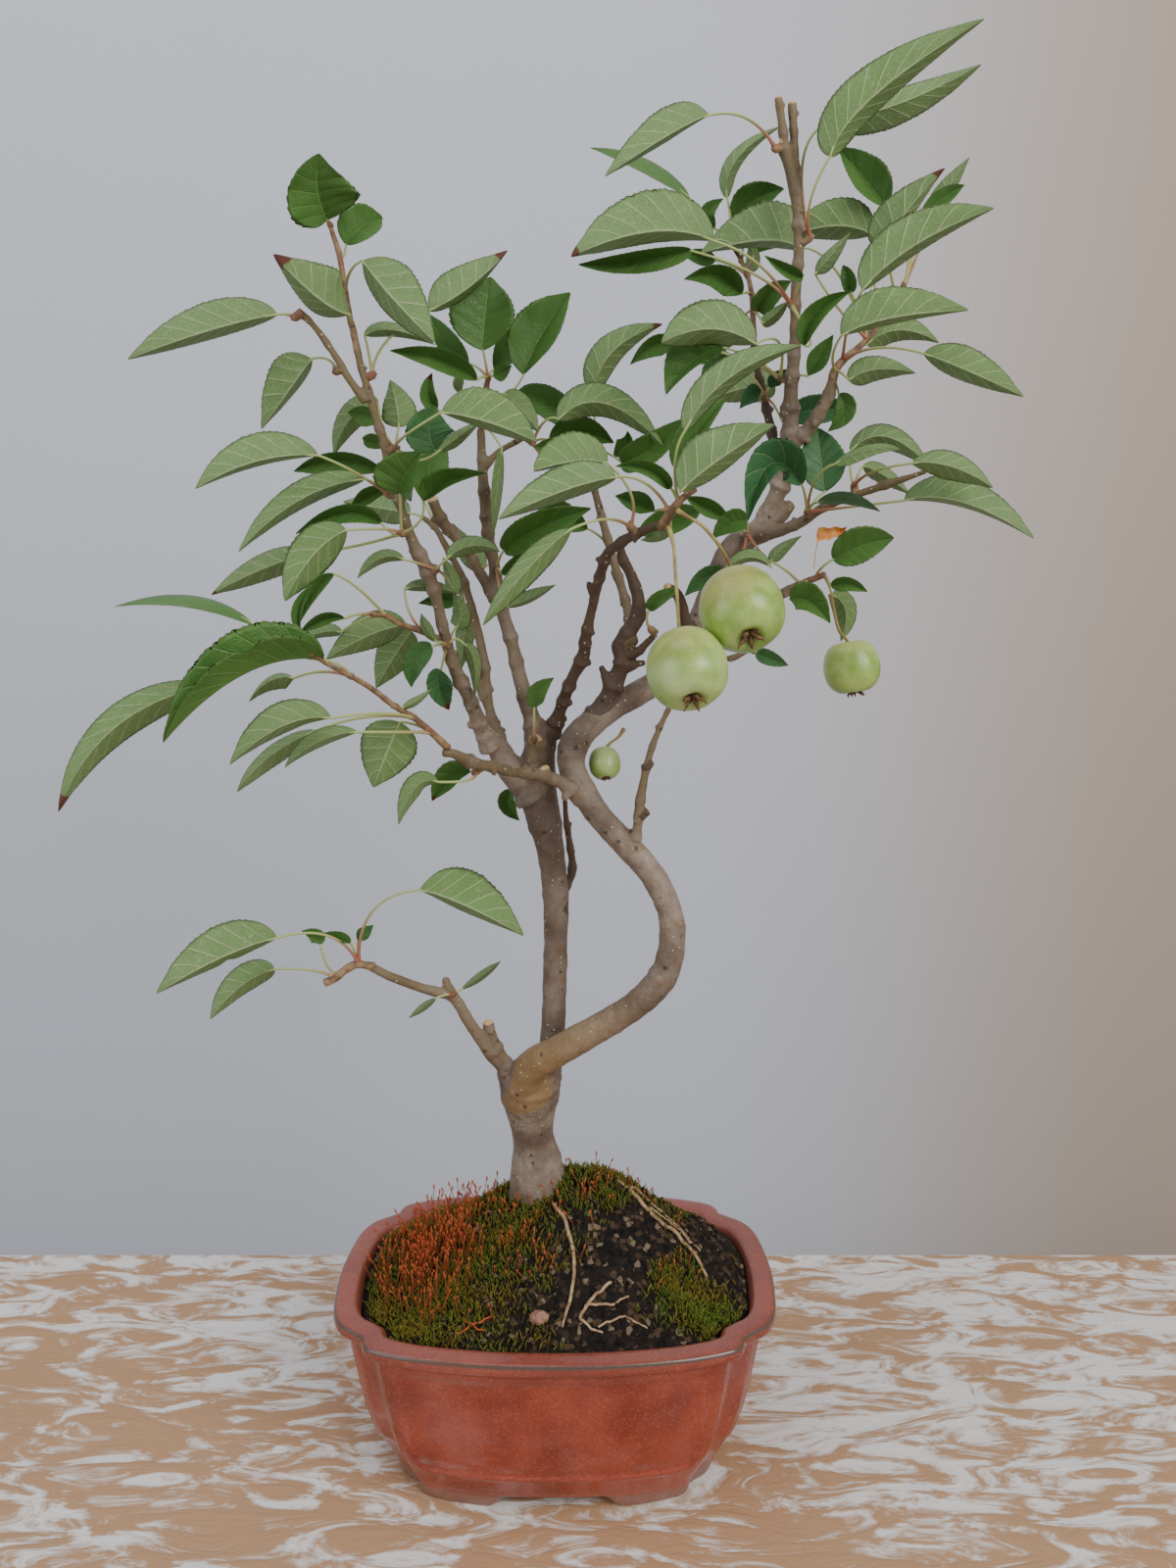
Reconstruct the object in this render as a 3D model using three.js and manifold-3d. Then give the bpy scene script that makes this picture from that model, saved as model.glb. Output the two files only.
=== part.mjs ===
// Small-fruited apple trained as a bonsai, standing in a glazed ceramic pot.
// Units are millimetres, +Z is up, and +X runs along the long side of the pot.
// The tables further down are given from the centre of the pot at table level;
// the last step moves the whole group so that the origin is the middle of the
// underside of its bounding box.
import * as THREE from 'three';
import { mergeVertices } from 'three/addons/utils/BufferGeometryUtils.js';
import Module from 'manifold-3d';

// ---- driving dimensions ---------------------------------------------------
const GAP = 0.35; // clearance between pieces that touch

const POT_LENGTH = 210; // over the rim, along X
const POT_DEPTH = 143.6; // over the rim, along Y
const POT_HEIGHT = 87; // table to the top of the rim
const RIM_BAND = 6.5; // height of the rim's outer band
const FOOT_HEIGHT = 6; // clearance under the body between the feet
const FOOT_TOP = 9.5; // where the foot ring meets the body
const FLOOR_TOP = 14; // inside floor of the pot
const ARCH_FRONT = 56; // opening between the feet, long sides
const ARCH_SIDE = 34; // opening between the feet, short sides
const DRAIN_HOLE_D = 17;
const DRAIN_HOLE_X = 38; // hole centres left and right of the middle
const WALL = 7;

const SCREEN_SIZE = 26; // drain screens
const SCREEN_THICKNESS = 1.2;
const SCREEN_SLOT = 3;

const SOIL_BOTTOM = FLOOR_TOP + SCREEN_THICKNESS + 2 * GAP;
const SOIL_EDGE = 80.5; // soil level at the wall of the pot
const MOUND_PEAK = 129; // top of the mound
const MOUND_X = 14;
const MOUND_Y = 19;
const MOSS_THICKNESS = 2.6;

const BUD_SIDES = 5;
const TWIG_SIDES = 5;
const PETIOLE_R = 0.75; // half width of a leaf stalk
const BLADE_HALF = 0.45; // half thickness of a leaf along its midrib

// Plan of the rim: one quarter of a rectangle with bowed sides and a notch
// across each corner, as fractions of the half length and half depth.
const QUARTER = [
  [0, 1], [0.25, 0.988], [0.5, 0.945], [0.66, 0.896], [0.77, 0.838],
  [0.803, 0.775], [0.812, 0.722], [0.862, 0.663], [0.926, 0.59],
  [0.968, 0.46], [0.99, 0.25], [1, 0],
];

// ---- materials --------------------------------------------------------------
const mat = (color, roughness, metalness = 0) =>
  new THREE.MeshStandardMaterial({ color, roughness, metalness });
const GLAZE = mat(0x9c4532, 0.22);
const SOIL = mat(0x241b16, 0.95);
const MOSS = mat(0x4d5a22, 0.95);
const BARK = mat(0x6f5d4c, 0.75);
const LEAF = mat(0x5f8a45, 0.55);
const FRUIT = mat(0xa9bf68, 0.35);
const STALK = mat(0x8a8a4c, 0.6);
const MESH = mat(0x2b2b2b, 0.6);
const STONE = mat(0xa8796a, 0.8);
const ROOT = mat(0xa98d6c, 0.8);
const DRY = mat(0xc9803f, 0.7);

// ---- solids -----------------------------------------------------------------
const wasm = await Module();
wasm.setup();

// A closed surface as a solid.
function toSolid(geometry) {
  const g = geometry.clone();
  g.deleteAttribute('normal');
  g.deleteAttribute('uv');
  const m = mergeVertices(g, 1e-4);
  return new wasm.Manifold(
    new wasm.Mesh({
      numProp: 3,
      vertProperties: new Float32Array(m.attributes.position.array),
      triVerts: new Uint32Array(m.index.array),
    }),
  );
}

// A solid as a surface.
function toGeometry(solid) {
  const m = solid.getMesh();
  const n = m.numProp;
  const v = new Float32Array(m.numVert * 3);
  for (let i = 0; i < m.numVert; i++) {
    for (let k = 0; k < 3; k++) v[3 * i + k] = m.vertProperties[n * i + k];
  }
  const g = new THREE.BufferGeometry();
  g.setAttribute('position', new THREE.BufferAttribute(v, 3));
  g.setIndex(new THREE.BufferAttribute(new Uint32Array(m.triVerts), 1));
  const flat = g.toNonIndexed();
  flat.computeVertexNormals();
  return flat;
}

// The body of a solid with the largest volume: drops loose chips after a cut.
function biggest(solid) {
  const parts = solid.decompose();
  return parts.reduce((a, b) => (b.volume() > a.volume() ? b : a));
}

// Closed loft through rings of equal vertex count. A ring of one point closes
// to a tip; other end rings get a flat fan.
function loft(rings) {
  const v = [];
  const start = [];
  for (const ring of rings) {
    start.push(v.length / 3);
    for (const p of ring) v.push(p.x, p.y, p.z);
  }
  const idx = [];
  for (let r = 0; r + 1 < rings.length; r++) {
    const a = start[r];
    const b = start[r + 1];
    const na = rings[r].length;
    const nb = rings[r + 1].length;
    const n = Math.max(na, nb);
    for (let i = 0; i < n; i++) {
      const j = (i + 1) % n;
      if (na > 1 && nb > 1) idx.push(a + i, a + j, b + i, a + j, b + j, b + i);
      else if (nb === 1) idx.push(a + i, a + j, b);
      else idx.push(a, b + j, b + i);
    }
  }
  const cap = (s, n, flip) => {
    for (let i = 1; i + 1 < n; i++) {
      if (flip) idx.push(s, s + i + 1, s + i);
      else idx.push(s, s + i, s + i + 1);
    }
  };
  if (rings[0].length > 1) cap(start[0], rings[0].length, true);
  const last = rings.length - 1;
  if (rings[last].length > 1) cap(start[last], rings[last].length, false);
  const g = new THREE.BufferGeometry();
  g.setAttribute('position', new THREE.Float32BufferAttribute(v, 3));
  g.setIndex(idx);
  return g;
}

// Tapered round tube through points [x, y, z, radius], closed at both ends.
function taper(points, sides, perSpan = 1, grow = 0) {
  const path = new THREE.CatmullRomCurve3(
    points.map((p) => new THREE.Vector3(p[0], p[1], p[2])), false, 'catmullrom', 0.5);
  const spans = points.length - 1;
  const steps = spans * perSpan;
  const at = [];
  const radius = [];
  for (let i = 0; i <= steps; i++) {
    const t = i / steps;
    at.push(path.getPoint(t));
    const s = Math.min(Math.floor(t * spans), spans - 1);
    const f = t * spans - s;
    radius.push(points[s][3] * (1 - f) + points[s + 1][3] * f + grow);
  }
  const rings = [];
  let normal = null;
  for (let i = 0; i <= steps; i++) {
    const tangent = at[Math.min(i + 1, steps)].clone().sub(at[Math.max(i - 1, 0)]).normalize();
    if (!normal) {
      normal = Math.abs(tangent.y) < 0.9 ? new THREE.Vector3(0, 1, 0) : new THREE.Vector3(1, 0, 0);
    }
    normal = normal.clone().sub(tangent.clone().multiplyScalar(normal.dot(tangent))).normalize();
    const side = tangent.clone().cross(normal);
    const centre = at[i].clone();
    if (grow && i === 0) centre.addScaledVector(tangent, -grow);
    if (grow && i === steps) centre.addScaledVector(tangent, grow);
    const ring = [];
    for (let k = 0; k < sides; k++) {
      const a = (2 * Math.PI * k) / sides;
      ring.push(centre.clone()
        .addScaledVector(normal, Math.cos(a) * radius[i])
        .addScaledVector(side, Math.sin(a) * radius[i]));
    }
    rings.push(ring);
  }
  return loft(rings);
}

// Branch points with those left out that lie within a tolerance of the line
// between their neighbours, so that straight runs stay light.
function thin(points, tolerance = 0.55) {
  const keep = (i, j) => {
    let worst = 0;
    let at = -1;
    for (let k = i + 1; k < j; k++) {
      const t = (k - i) / (j - i);
      const q = [0, 1, 2, 3].map((c) => points[i][c] * (1 - t) + points[j][c] * t);
      const line = new THREE.Line3(new THREE.Vector3(...points[i]), new THREE.Vector3(...points[j]));
      const p = new THREE.Vector3(...points[k]);
      const away = line.closestPointToPoint(p, true, new THREE.Vector3()).distanceTo(p);
      const off = Math.max(away, Math.abs(points[k][3] - q[3]) * 1.2);
      if (off > worst) {
        worst = off;
        at = k;
      }
    }
    return worst > tolerance ? [...keep(i, at), ...keep(at, j).slice(1)] : [i, j];
  };
  return keep(0, points.length - 1).map((i) => points[i]);
}

const union = (solids) => solids.reduce((a, b) => a.add(b));

// ---- the tree as tapered branches: [x, y, z, radius] --------------------
const BRANCHES = {
  trunk_base: [[-9,18,114.2,15.61], [-9.4,18,123.2,14.11], [-10.3,18,136.4,12.11], [-11.6,18,146.8,10.14], [-12.4,16,159.2,11.5], [-12.7,14,173.4,14.74], [-12.5,12,184,12.75]],
  straight: [[-7.6,17,172,9.56], [-3.7,19,184.9,6.69], [-2.3,20,194.6,6.2], [-1.3,21,206.8,5.95], [-0.7,22,226.4,5.83], [-0.1,22,246.2,5.79], [0,22,268.2,6.17], [-2.2,21,290,6.49], [-4.9,20,304.5,7.83], [-7.5,20,316.2,9.18], [-9.3,20,325.6,10.06], [-7.4,20,337.1,7.75], [-5,20,350,6.35]],
  curved: [[-16.1,9,178.3,10.36], [-10.2,4,190.5,8.37], [1.6,1,199.2,7.15], [15.4,-2,208.8,6.77], [29,-5,218.2,6.57], [40.2,-7,227.5,6.66], [48.9,-9,238.6,6.7], [52.7,-10,249.7,6.22], [53.4,-10,263.6,5.97], [49.8,-9,277,5.73], [41.8,-7,290.1,5.95], [30.8,-4,301.6,5.96], [20.7,-2,312.5,5.74], [12.8,0,324.2,6.18], [8.3,2,333.3,6.18], [7.9,4,340.6,6.63], [11,6,347.4,6.64], [17.6,9,353.7,6.22], [26.5,12,360.1,6.02], [37.8,16,365.9,5.82], [46.9,20,371.3,5.63], [60.6,25,386.7,5.2], [70.4,27,409,4.96], [80,25,430.2,5.35], [90.8,24,437.6,5.32], [101.3,22,446.1,4.41], [106.6,20,450.8,2.19]],
  right_stem: [[93,24,439.7,3.99], [99,22,452.6,3.96], [103.5,20,466,3.92], [104.4,18,481.8,3.89], [103.8,15,497.9,3.2], [104.4,12,517.7,2.53], [103.8,10,537.2,2.29], [104.1,8,556.3,2.27], [101.9,6,574.9,2.45], [97.6,5,589.7,2.43], [95.4,5,595.3,2.22]],
  right_stub1: [[97.2,5,590.4,1.82], [94.6,4,604.3,1.69], [93.2,4,612,1.68]],
  right_stub2: [[101.8,6,578.7,1.83], [100.6,7,597.8,1.82], [99.3,7,610.9,1.82]],
  right_fork: [[104.6,18,475.5,3.03], [112,15,482.3,3.01], [116.8,12,490.2,2.77], [119.5,12,495.5,2.55], [121,12,501.6,2.12]],
  right_back: [[103.2,21,465.3,2.19], [99.9,26,473.3,2.2], [97.5,30,485.2,1.99], [94,33,500.4,1.77], [90.1,33,515.2,1.58], [89.4,33,525.6,1.4]],
  right_twig: [[92.8,22,437.5,3.54], [102.4,14,439.4,2.61], [110.8,8,443.5,2.23], [117.4,3,448.2,1.95], [126.8,-2,452.1,1.76], [138.2,-6,455.9,1.67], [142.5,-7,457.5,1.87], [149.7,-9,459.8,1.32], [157.3,-11,462.4,1.07]],
  centre: [[-1.4,20,346.3,3.63], [4.2,15,362.9,2.91], [8.8,8,374.7,2.64], [13.2,3,383.8,2.87], [14.5,-3,392.8,2.57], [16.7,-10,403.7,2.32], [18.7,-15,412.1,2.08], [20.7,-22,420.4,2.25], [23.4,-30,428.3,2.21], [29.2,-36,432.9,1.98], [36.8,-42,437,1.95], [44.2,-48,439.5,1.92]],
  centre_k1: [[18.3,-14,410.9,1.67], [16.6,-16,414.2,1.33], [15.4,-17,416.7,1.07]],
  gnarly: [[17.2,10,353.1,4.9], [23.4,10,363.4,4.43], [28.6,8,374.7,3.96], [30.7,6,381.4,3.5], [29.3,5,388,3.05], [33.2,3,394.6,3.46], [37.3,1,402,3.44], [36.8,0,411.8,3], [33.7,-2,420.2,2.55], [30.2,-4,426.5,2.32], [29.3,-6,431.4,1.89]],
  gn_b1: [[26,8,370.3,2.2], [22.9,8,375.6,1.76], [21.1,8,379.1,1.41]],
  gn_b2: [[31.2,6,378.4,2.19], [36.3,4,380.3,1.74], [40.6,3,381.2,1.31]],
  gn_b3: [[32,5,384.6,2.18], [37.1,2,385.7,1.82], [41.3,0,390.1,1.64], [45.1,-1,394,1.29]],
  fruit_stub: [[63.2,24,389,2.93], [58.7,15,401.4,2.65], [55.5,10,410.3,2.4], [49.9,5,414.7,1.99]],
  fruit_lower_twig: [[62.4,24,385.9,1.81], [69.2,20,383.5,1.35], [79.5,12,382.3,1.33], [89.3,10,387.3,1.14]],
  spur_right: [[70.4,26,403.7,2.25], [90.3,14,405,1.98], [101,5,411.3,2.38], [106,0,414.3,1.92]],
  thin_shoot: [[35.3,-5,297.4,3.09], [37.3,-8,308.4,2.19], [38.4,-9,319.8,2.17], [40.1,-9,330.8,1.82], [42.6,-8,341.6,1.56], [46.5,-6,352.2,1.38], [51.7,-4,362.8,1.12]],
  ts_k1: [[38.9,-9,314.4,1.74], [41.9,-9,316.7,1.48]],
  ts_k2: [[40.9,-9,335.6,1.56], [43.5,-9,338.7,1.3]],
  back_twig: [[1.8,23,263,2.35], [4.5,32,270.2,2.09], [7.8,34,278,2], [6.8,35,289,1.71], [5,36,301.9,1.52], [4.1,36,314.5,1.23]],
  front_left: [[12.8,-2,321,3.96], [4.5,-8,328.4,3.04], [-1.8,-13,332.4,2.58], [-8,-18,334.6,2.55], [-16.1,-24,336.5,2.18], [-23.7,-33,340.2,2.27], [-29.2,-40,342.6,2.43], [-34.6,-46,345.6,2.6], [-38.9,-50,348.7,1.98], [-43,-52,349.4,1.82]],
  fl_k: [[-2.6,-14,332.6,1.93], [-3.4,-15,337.5,1.71]],
  fork_stub: [[-8.9,12,329.3,3.6], [-10,8,341.3,1.78], [-10.4,8,345.4,1.51]],
  left_limb: [[-9.3,20,320.4,9.16], [-12,19,323.4,8.68], [-20,17,330.7,6.81], [-26.1,15,340.2,4.96], [-29.5,13,346.4,4.31]],
  left_stem: [[-29.1,13,341,4.31], [-33.6,10,352.2,3.56], [-37.4,6,363.9,3.08], [-41.2,2,373.1,3.05], [-44.9,-2,384.2,2.8], [-47.5,-6,397.3,2.55], [-49.8,-9,409.9,2.53], [-52.7,-11,420.3,2.92], [-55.3,-12,426.5,2.91], [-58.3,-13,432.5,2.49], [-61.6,-14,442.6,2.14], [-64.5,-15,452.6,1.97], [-67,-15,462.5,1.88], [-68.7,-15,472.4,1.83], [-71.7,-15,482.1,1.78], [-74.2,-15,491.8,1.65], [-77.3,-14,501.6,1.57], [-79.5,-13,511.4,1.53]],
  left_side: [[-76.3,-15,489.9,1.53], [-82.8,-17,499.3,1.6], [-86.3,-18,505.6,1.44], [-91.8,-19,514.1,1.39], [-96.1,-20,519.6,1.23], [-101.1,-21,524.6,1.1]],
  left_back: [[-22.7,18,337.5,3.18], [-27.4,22,348.3,2.73], [-30.4,26,357,2.38], [-32.3,29,368.2,2.43], [-33.2,31,379.4,2.43], [-35.9,33,393,2.11], [-39.5,35,406.5,1.92], [-43.1,37,417.8,1.78], [-47.6,38,426.7,1.64], [-52.1,39,434.8,1.64], [-56.2,40,441.5,1.46], [-61.7,41,445.6,1.23]],
  brown_cut: [[-27,28,408.1,2.71], [-35,24,422.3,2.45], [-39.8,20,431,2.43], [-45,17,437.4,2.63], [-49.8,14,443.7,2.61], [-53.1,11,452.4,2.58]],
  green_upright: [[-7.8,20,345.4,5], [-13.2,22,362.1,3.63], [-16.3,24,373.2,3.4], [-19.9,26,388.9,3.17], [-24,28,402.3,3.17], [-26.6,29,413.4,3.16], [-27.9,31,424.5,2.71], [-30.1,32,433.4,2.71], [-31,33,444.4,2.7], [-32.2,34,457.6,2.69], [-32.9,34,470.6,2.23], [-33,33,483.4,1.78]],
  gu_side: [[-32.5,34,467.1,1.79], [-25.6,33,474,1.51], [-17.8,30,478,1.33], [-10.6,28,481.2,1.14]],
  stub_a: [[-36.7,7,362.4,1.94], [-42,2,377.4,1.74], [-43.8,0,386.7,1.51]],
  stub_b: [[-30.9,27,358.3,1.83], [-35.2,26,368.5,1.82], [-37.3,26,377.6,1.55]],
  low_left: [[-21.4,11,181.9,5.19], [-24.9,9,188.8,4.22], [-29.7,5,195,3.49], [-34.3,1,204.1,3.04], [-39.4,-2,213.6,2.74], [-46.4,-6,228.1,2.62], [-54.2,-8,231.7,2.42], [-60.5,-10,234.3,2.23], [-73.1,-14,240.9,2.04], [-82.1,-17,247,1.93]],
  low_stub: [[-22.3,10,183.4,4.24], [-27.3,5,197.5,3.07], [-30.6,2,208.6,2.49], [-31.4,1,213.8,2.29]],
  low_spur: [[-46.8,-6,228.1,2.25], [-49.3,-7,235.1,2.07], [-49.6,-7,237.9,1.79]],
  mid_back1: [[34.5,3,390.3,2.6], [33.3,22,404.7,2.24], [28.2,36,422.3,2.1], [22.8,46,442.6,1.94], [17.3,52,463.2,1.76], [14.9,54,475.9,1.57]],
};

// ---- leafy sprays. Each leaf row holds the foot of the stalk, the middle of the
// stalk, the base, the middle and the tip of the midrib, the half width, the two
// fold angles in degrees, the facing direction and a shape flag. ---------------------
const SPRAYS = {
  low_left_end: {
    stem: [[-82.6,-17.4,247.4,1.84], [-87.8,-19,248.7,1.84], [-92.7,-21,246.6,1.83], [-96.7,-23,243.7,1.83], [-101.1,-25,242.1,1.82]],
    leaves: [
      [-86.9,-18.7,248.6,-98.3,-26,264.1,-119.4,-30.4,264.7,-140.6,-42.8,259.6,-165,-52.4,247.4, 14.1,78,14, 0.3,-0.9,0.31, 2],
      [-96.7,-23,243.7,-106.4,-25.5,248.2,-122.4,-27,249.2,-137.4,-28.6,241.7,-149.3,-34,228.8, 10.3,65,38, 0.28,-0.9,0.34, 0],
      [-86.9,-18.7,248.6,-78.9,-24.5,274.8,-57.6,-28,285.5,-37.5,-34.5,280.4,-12.2,-38,268, 16.8,22,81, 0.1,-0.95,0.29, 0],
      [-95.4,-22.3,244.6,-99.7,-24.2,250,-102,-25.4,259.9,-104.3,-24.3,263.6,-109.4,-27.4,266.8, 3.9,-27,-27, 0.23,-0.93,0.3, 0],
      [-86.9,-18.7,248.6,-88.3,-19.4,254.6,-89.8,-20.2,259.1,-95.1,-21.2,261.7,-101.3,-22.2,264.2, 3.9,-71,-39, 0.21,-0.93,0.3, 0],
      [-86.9,-18.7,248.6,-86.8,-19.4,255.1,-86.7,-20,259.9,-84.1,-17.4,262.3,-80.3,-16,265.9, 3.9,-27,-48, 0.18,-0.94,0.3, 0],
    ],
  },
  low_left_mid: {
    bud: [-46.31,-10.75,231.48,1.9],
    leaves: [
      [-46.3,-10.8,231.5,-44.6,-9.9,232.5,-42.8,-9,233,-34.7,-13.2,239.7,-23.4,-20,250.4, 6.2,69,73, 0.09,-0.94,0.34, 0],
      [-46.3,-10.8,231.5,-49.6,-12.4,231.8,-53,-14,231.1,-58.3,-17.9,228.4,-64.8,-22,224.5, 5.3,71,71, 0.14,-0.92,0.36, 0],
    ],
  },
  front_left_shoot: {
    stem: [[-42.4,-53,353,1.65], [-46.8,-58,358.6,1.4], [-52.6,-65,365.4,1.26], [-58.9,-72,370.8,1.2], [-65.7,-79,377.9,1.11], [-72.2,-86,383.4,0.98], [-79.2,-91,388.1,0.86], [-84.2,-95,392.3,0.78]],
    leaves: [
      [-84.2,-95,392.3,-104.5,-89.5,389,-124.8,-84,379.5,-158,-92,365.2,-178.7,-98,334.9, 10.8,55,48, 0.36,-0.92,0.14, 0],
      [-72.2,-86,383.4,-75.9,-89.7,388,-80.7,-92,389.6,-105.5,-105.6,385.9,-132,-116,363, 15.9,-124,-17, 0.28,-0.95,0.11, 2],
      [-72.2,-86,383.4,-84.7,-78,384.3,-97.2,-70,381.1,-106.6,-70.1,380,-116.1,-66,371.6, 7.5,49,78, 0.26,-0.96,0.1, 0],
      [-84.2,-95,392.3,-94.4,-95.5,399.2,-104.6,-96,402.9,-124.2,-101.8,411.4,-148,-110,409.6, 9,-72,77, 0.32,-0.95,0.04, 0],
      [-84.2,-95,392.3,-86.6,-92.5,396.8,-89,-90,399.8,-90,-87.3,407.8,-85.7,-84,416.5, 3.9,-50,-69, 0.23,-0.97,0.03, 0],
      [-52.6,-65,365.4,-64.3,-78,368.5,-80,-86,367.7,-95.3,-97.7,366.3,-112.4,-106,353.7, 10.6,75,34, 0.25,-0.96,0.14, 0],
      [-52.6,-65,365.4,-70.7,-69.5,366,-88.9,-74,361.3,-106.4,-76.1,351.7,-117.7,-82,339.1, 8.2,57,66, 0.26,-0.95,0.16, 0],
      [-46.8,-58,358.6,-60,-71.6,360.5,-71.6,-80,361.7,-84.9,-87.1,359,-96.5,-92,350.2, 6.6,71,48, 0.22,-0.96,0.15, 0],
      [-46.8,-58,358.6,-52.6,-60,361.8,-58.4,-62,363.1,-63.8,-62.4,351.1,-69.7,-62,337.2, 12.4,29,20, 0.17,-0.97,0.16, 0],
      [-58.9,-72,370.8,-57.6,-71,370.6,-56.2,-70,369.8,-51,-69,372,-44.9,-66,376.6, 2.6,44,55, 0.14,-0.98,0.11, 0],
    ],
  },
  left_twig: {
    stem: [[-51,-8,393.1,1.44], [-55,-14,395.6,1.34], [-61.4,-18,398.3,1.33], [-65.2,-20,400,1.24], [-69.7,-22,403,1.23], [-73.9,-24,403.5,1.06]],
    leaves: [
      [-69.7,-22,403,-78.7,-33.2,414.5,-86.6,-40,420.1,-95.7,-41.4,412.4,-101.6,-44,398.8, 6.3,-64,-60, 0.22,-0.97,0.03, 0],
      [-73.9,-24,403.5,-79.9,-25,403.5,-85.8,-26,401.9,-95.6,-22.6,401.4,-106.3,-20,395.5, 5.3,-57,-63, 0.22,-0.97,0.05, 0],
      [-69.7,-22,403,-80,-18,400.9,-90.2,-14,395.6,-100,-11.5,395,-109,-10,390.3, 5.5,63,52, 0.22,-0.97,0.06, 0],
      [-61.4,-18,398.3,-62.3,-12,399,-63.2,-6,398.1,-78.4,-10.2,394.1,-97.4,-12,383.7, 11,55,32, 0.18,-0.98,0.06, 0],
      [-55,-14,395.6,-58.9,-4.5,396.7,-62.8,5,395,-71.1,5.9,383.6,-80,9,369.3, 10.9,41,33, 0.16,-0.98,0.08, 0],
      [-55,-14,395.6,-61.1,-10.7,403.7,-63.3,-8.6,413.7,-52.2,-5.9,414.4,-39.8,-0.6,411, 5.9,55,69, 0.13,-0.99,0.02, 0],
    ],
  },
  left_top: {
    stem: [[-79.6,-13,511.9,1.53], [-81,-12.5,519.1,1.41], [-82.1,-12,523,1.36], [-83.6,-11,532.7,1.24], [-85,-10,542.4,1.2], [-86.3,-10,549.9,1.2], [-87.9,-11,555.2,1.03], [-88.7,-12,558.7,0.87]],
    leaves: [
      [-88.7,-12,558.7,-89.1,-13,559.5,-89.4,-14,560,-91,-22.9,569.5,-88.2,-30,579.7, 17,-43,-17, 0.2,-0.94,-0.28, 0],
      [-86.3,-10,549.9,-84.7,-8.8,547.5,-83.4,-8,552.2,-77.2,-5.8,559.6,-69.6,0,564.9, 9.6,-17,-57, 0.17,-0.95,-0.25, 0],
      [-81,-12.5,519.1,-80.7,-16.2,521.6,-80.5,-20,522.9,-90.6,-30.7,526.7,-105.7,-38,541.2, 14.6,68,19, 0.21,-0.95,-0.21, 0],
      [-83.6,-11,532.7,-80.1,-19.1,539.1,-74,-24,542.4,-62.7,-28.7,528.2,-44.6,-38,509.2, 13.2,14,64, 0.15,-0.97,-0.2, 0],
    ],
  },
  left_side_end: {
    bud: [-101.95,-22.65,521.39,1.9],
    leaves: [
      [-101.9,-22.7,521.4,-105.1,-24.3,522.1,-108.2,-26,521.8,-133.9,-33.7,514,-161.3,-46,501.4, 11.5,73,26, 0.29,-0.94,-0.17, 0],
    ],
  },
  left_upper: {
    bud: [-73.56,-12.16,500.76,1.9],
    leaves: [
      [-73.6,-12.2,500.8,-68.8,-1.8,516.1,-51.6,4.5,529.4,-35.4,10,539.6,-19.1,18.5,556.5, 11.7,27,78, 0.09,-0.97,-0.22, 0],
      [-73.6,-12.2,500.8,-75.3,-9.9,510.3,-77.1,-7.7,517.3,-65.4,-4.1,519.9,-49.5,4.3,515.6, 6.5,60,64, 0.15,-0.97,-0.17, 0],
    ],
  },
  left_side_mid: {
    bud: [-87.8,-15.45,501.75,1.9],
    leaves: [
      [-87.8,-15.5,501.7,-91.3,-13.3,506.7,-98.4,-12,507.3,-107.8,-10.5,496,-122,-6,480, 12.2,77,21, 0.24,-0.96,-0.13, 0],
    ],
  },
  left_mid_a: {
    bud: [-64.31,-15.45,471.23,1.9],
    leaves: [
      [-64.3,-15.5,471.2,-70.1,-8.1,479,-73,-3.6,490.6,-86.6,3.4,485.1,-94.9,8.4,470.5, 8.4,46,46, 0.19,-0.98,-0.11, 0],
      [-64.3,-15.5,471.2,-68.1,-10.8,475.5,-71.7,-8,482.9,-78.8,-4.6,485.7,-85.9,-4,487, 5,-24,-41, 0.18,-0.98,-0.12, 0],
      [-64.3,-15.5,471.2,-64.1,-11.9,476.7,-63.9,-8.4,480.5,-65.2,-5.7,490.3,-68.6,1.6,500.9, 9,39,25, 0.15,-0.98,-0.13, 0],
      [-64.3,-15.5,471.2,-57,-21.3,468.3,-46.4,-24.9,469.5,-49.1,-24.5,477.2,-46.4,-24.9,487.1, 11.1,-31,-22, 0.12,-0.99,-0.11, 0],
      [-64.3,-15.5,471.2,-54.6,-27,465.4,-44.5,-34,468.2,-36.1,-34.5,473.9,-27,-30,481.1, 5.5,60,60, 0.1,-0.99,-0.1, 0],
      [-64.3,-15.5,471.2,-58.3,-32.6,474.1,-41.9,-43.1,482.2,-23.4,-50.1,477.7,-4.3,-57.1,469.7, 12.8,14,76, 0.08,-0.99,-0.11, 0],
    ],
  },
  left_mid_b: {
    bud: [-62.67,-17.25,436.8,1.9],
    leaves: [
      [-62.7,-17.2,436.8,-61.9,-22.6,445.8,-61.2,-28,452.2,-57.8,-33.3,459.6,-50.3,-40,467.7, 12.6,-20,-60, 0.14,-0.99,-0.07, 0],
      [-62.7,-17.2,436.8,-54.2,-22.7,441.5,-52,-26,449.2,-42.9,-26.6,456.6,-25.6,-32,460, 8.8,-47,-74, 0.11,-0.99,-0.06, 0],
      [-62.7,-17.2,436.8,-65.5,-19,436.4,-70.5,-20,440.8,-85,-22.2,444.7,-105.7,-22,436.4, 7.3,-56,-60, 0.2,-0.98,-0.03, 0],
      [-62.7,-17.2,436.8,-68.3,-26.4,438.2,-82.5,-32,437.7,-94.9,-38.5,427.8,-104.8,-48,409.8, 11,44,27, 0.22,-0.98,0, 0],
      [-62.7,-17.2,436.8,-80.5,-14,432.1,-104.3,-12,428.1,-125.2,-8.1,421.5,-146.5,-8,411.2, 10.1,57,51, 0.27,-0.96,0.01, 0],
    ],
  },
  left_mid_c: {
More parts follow.
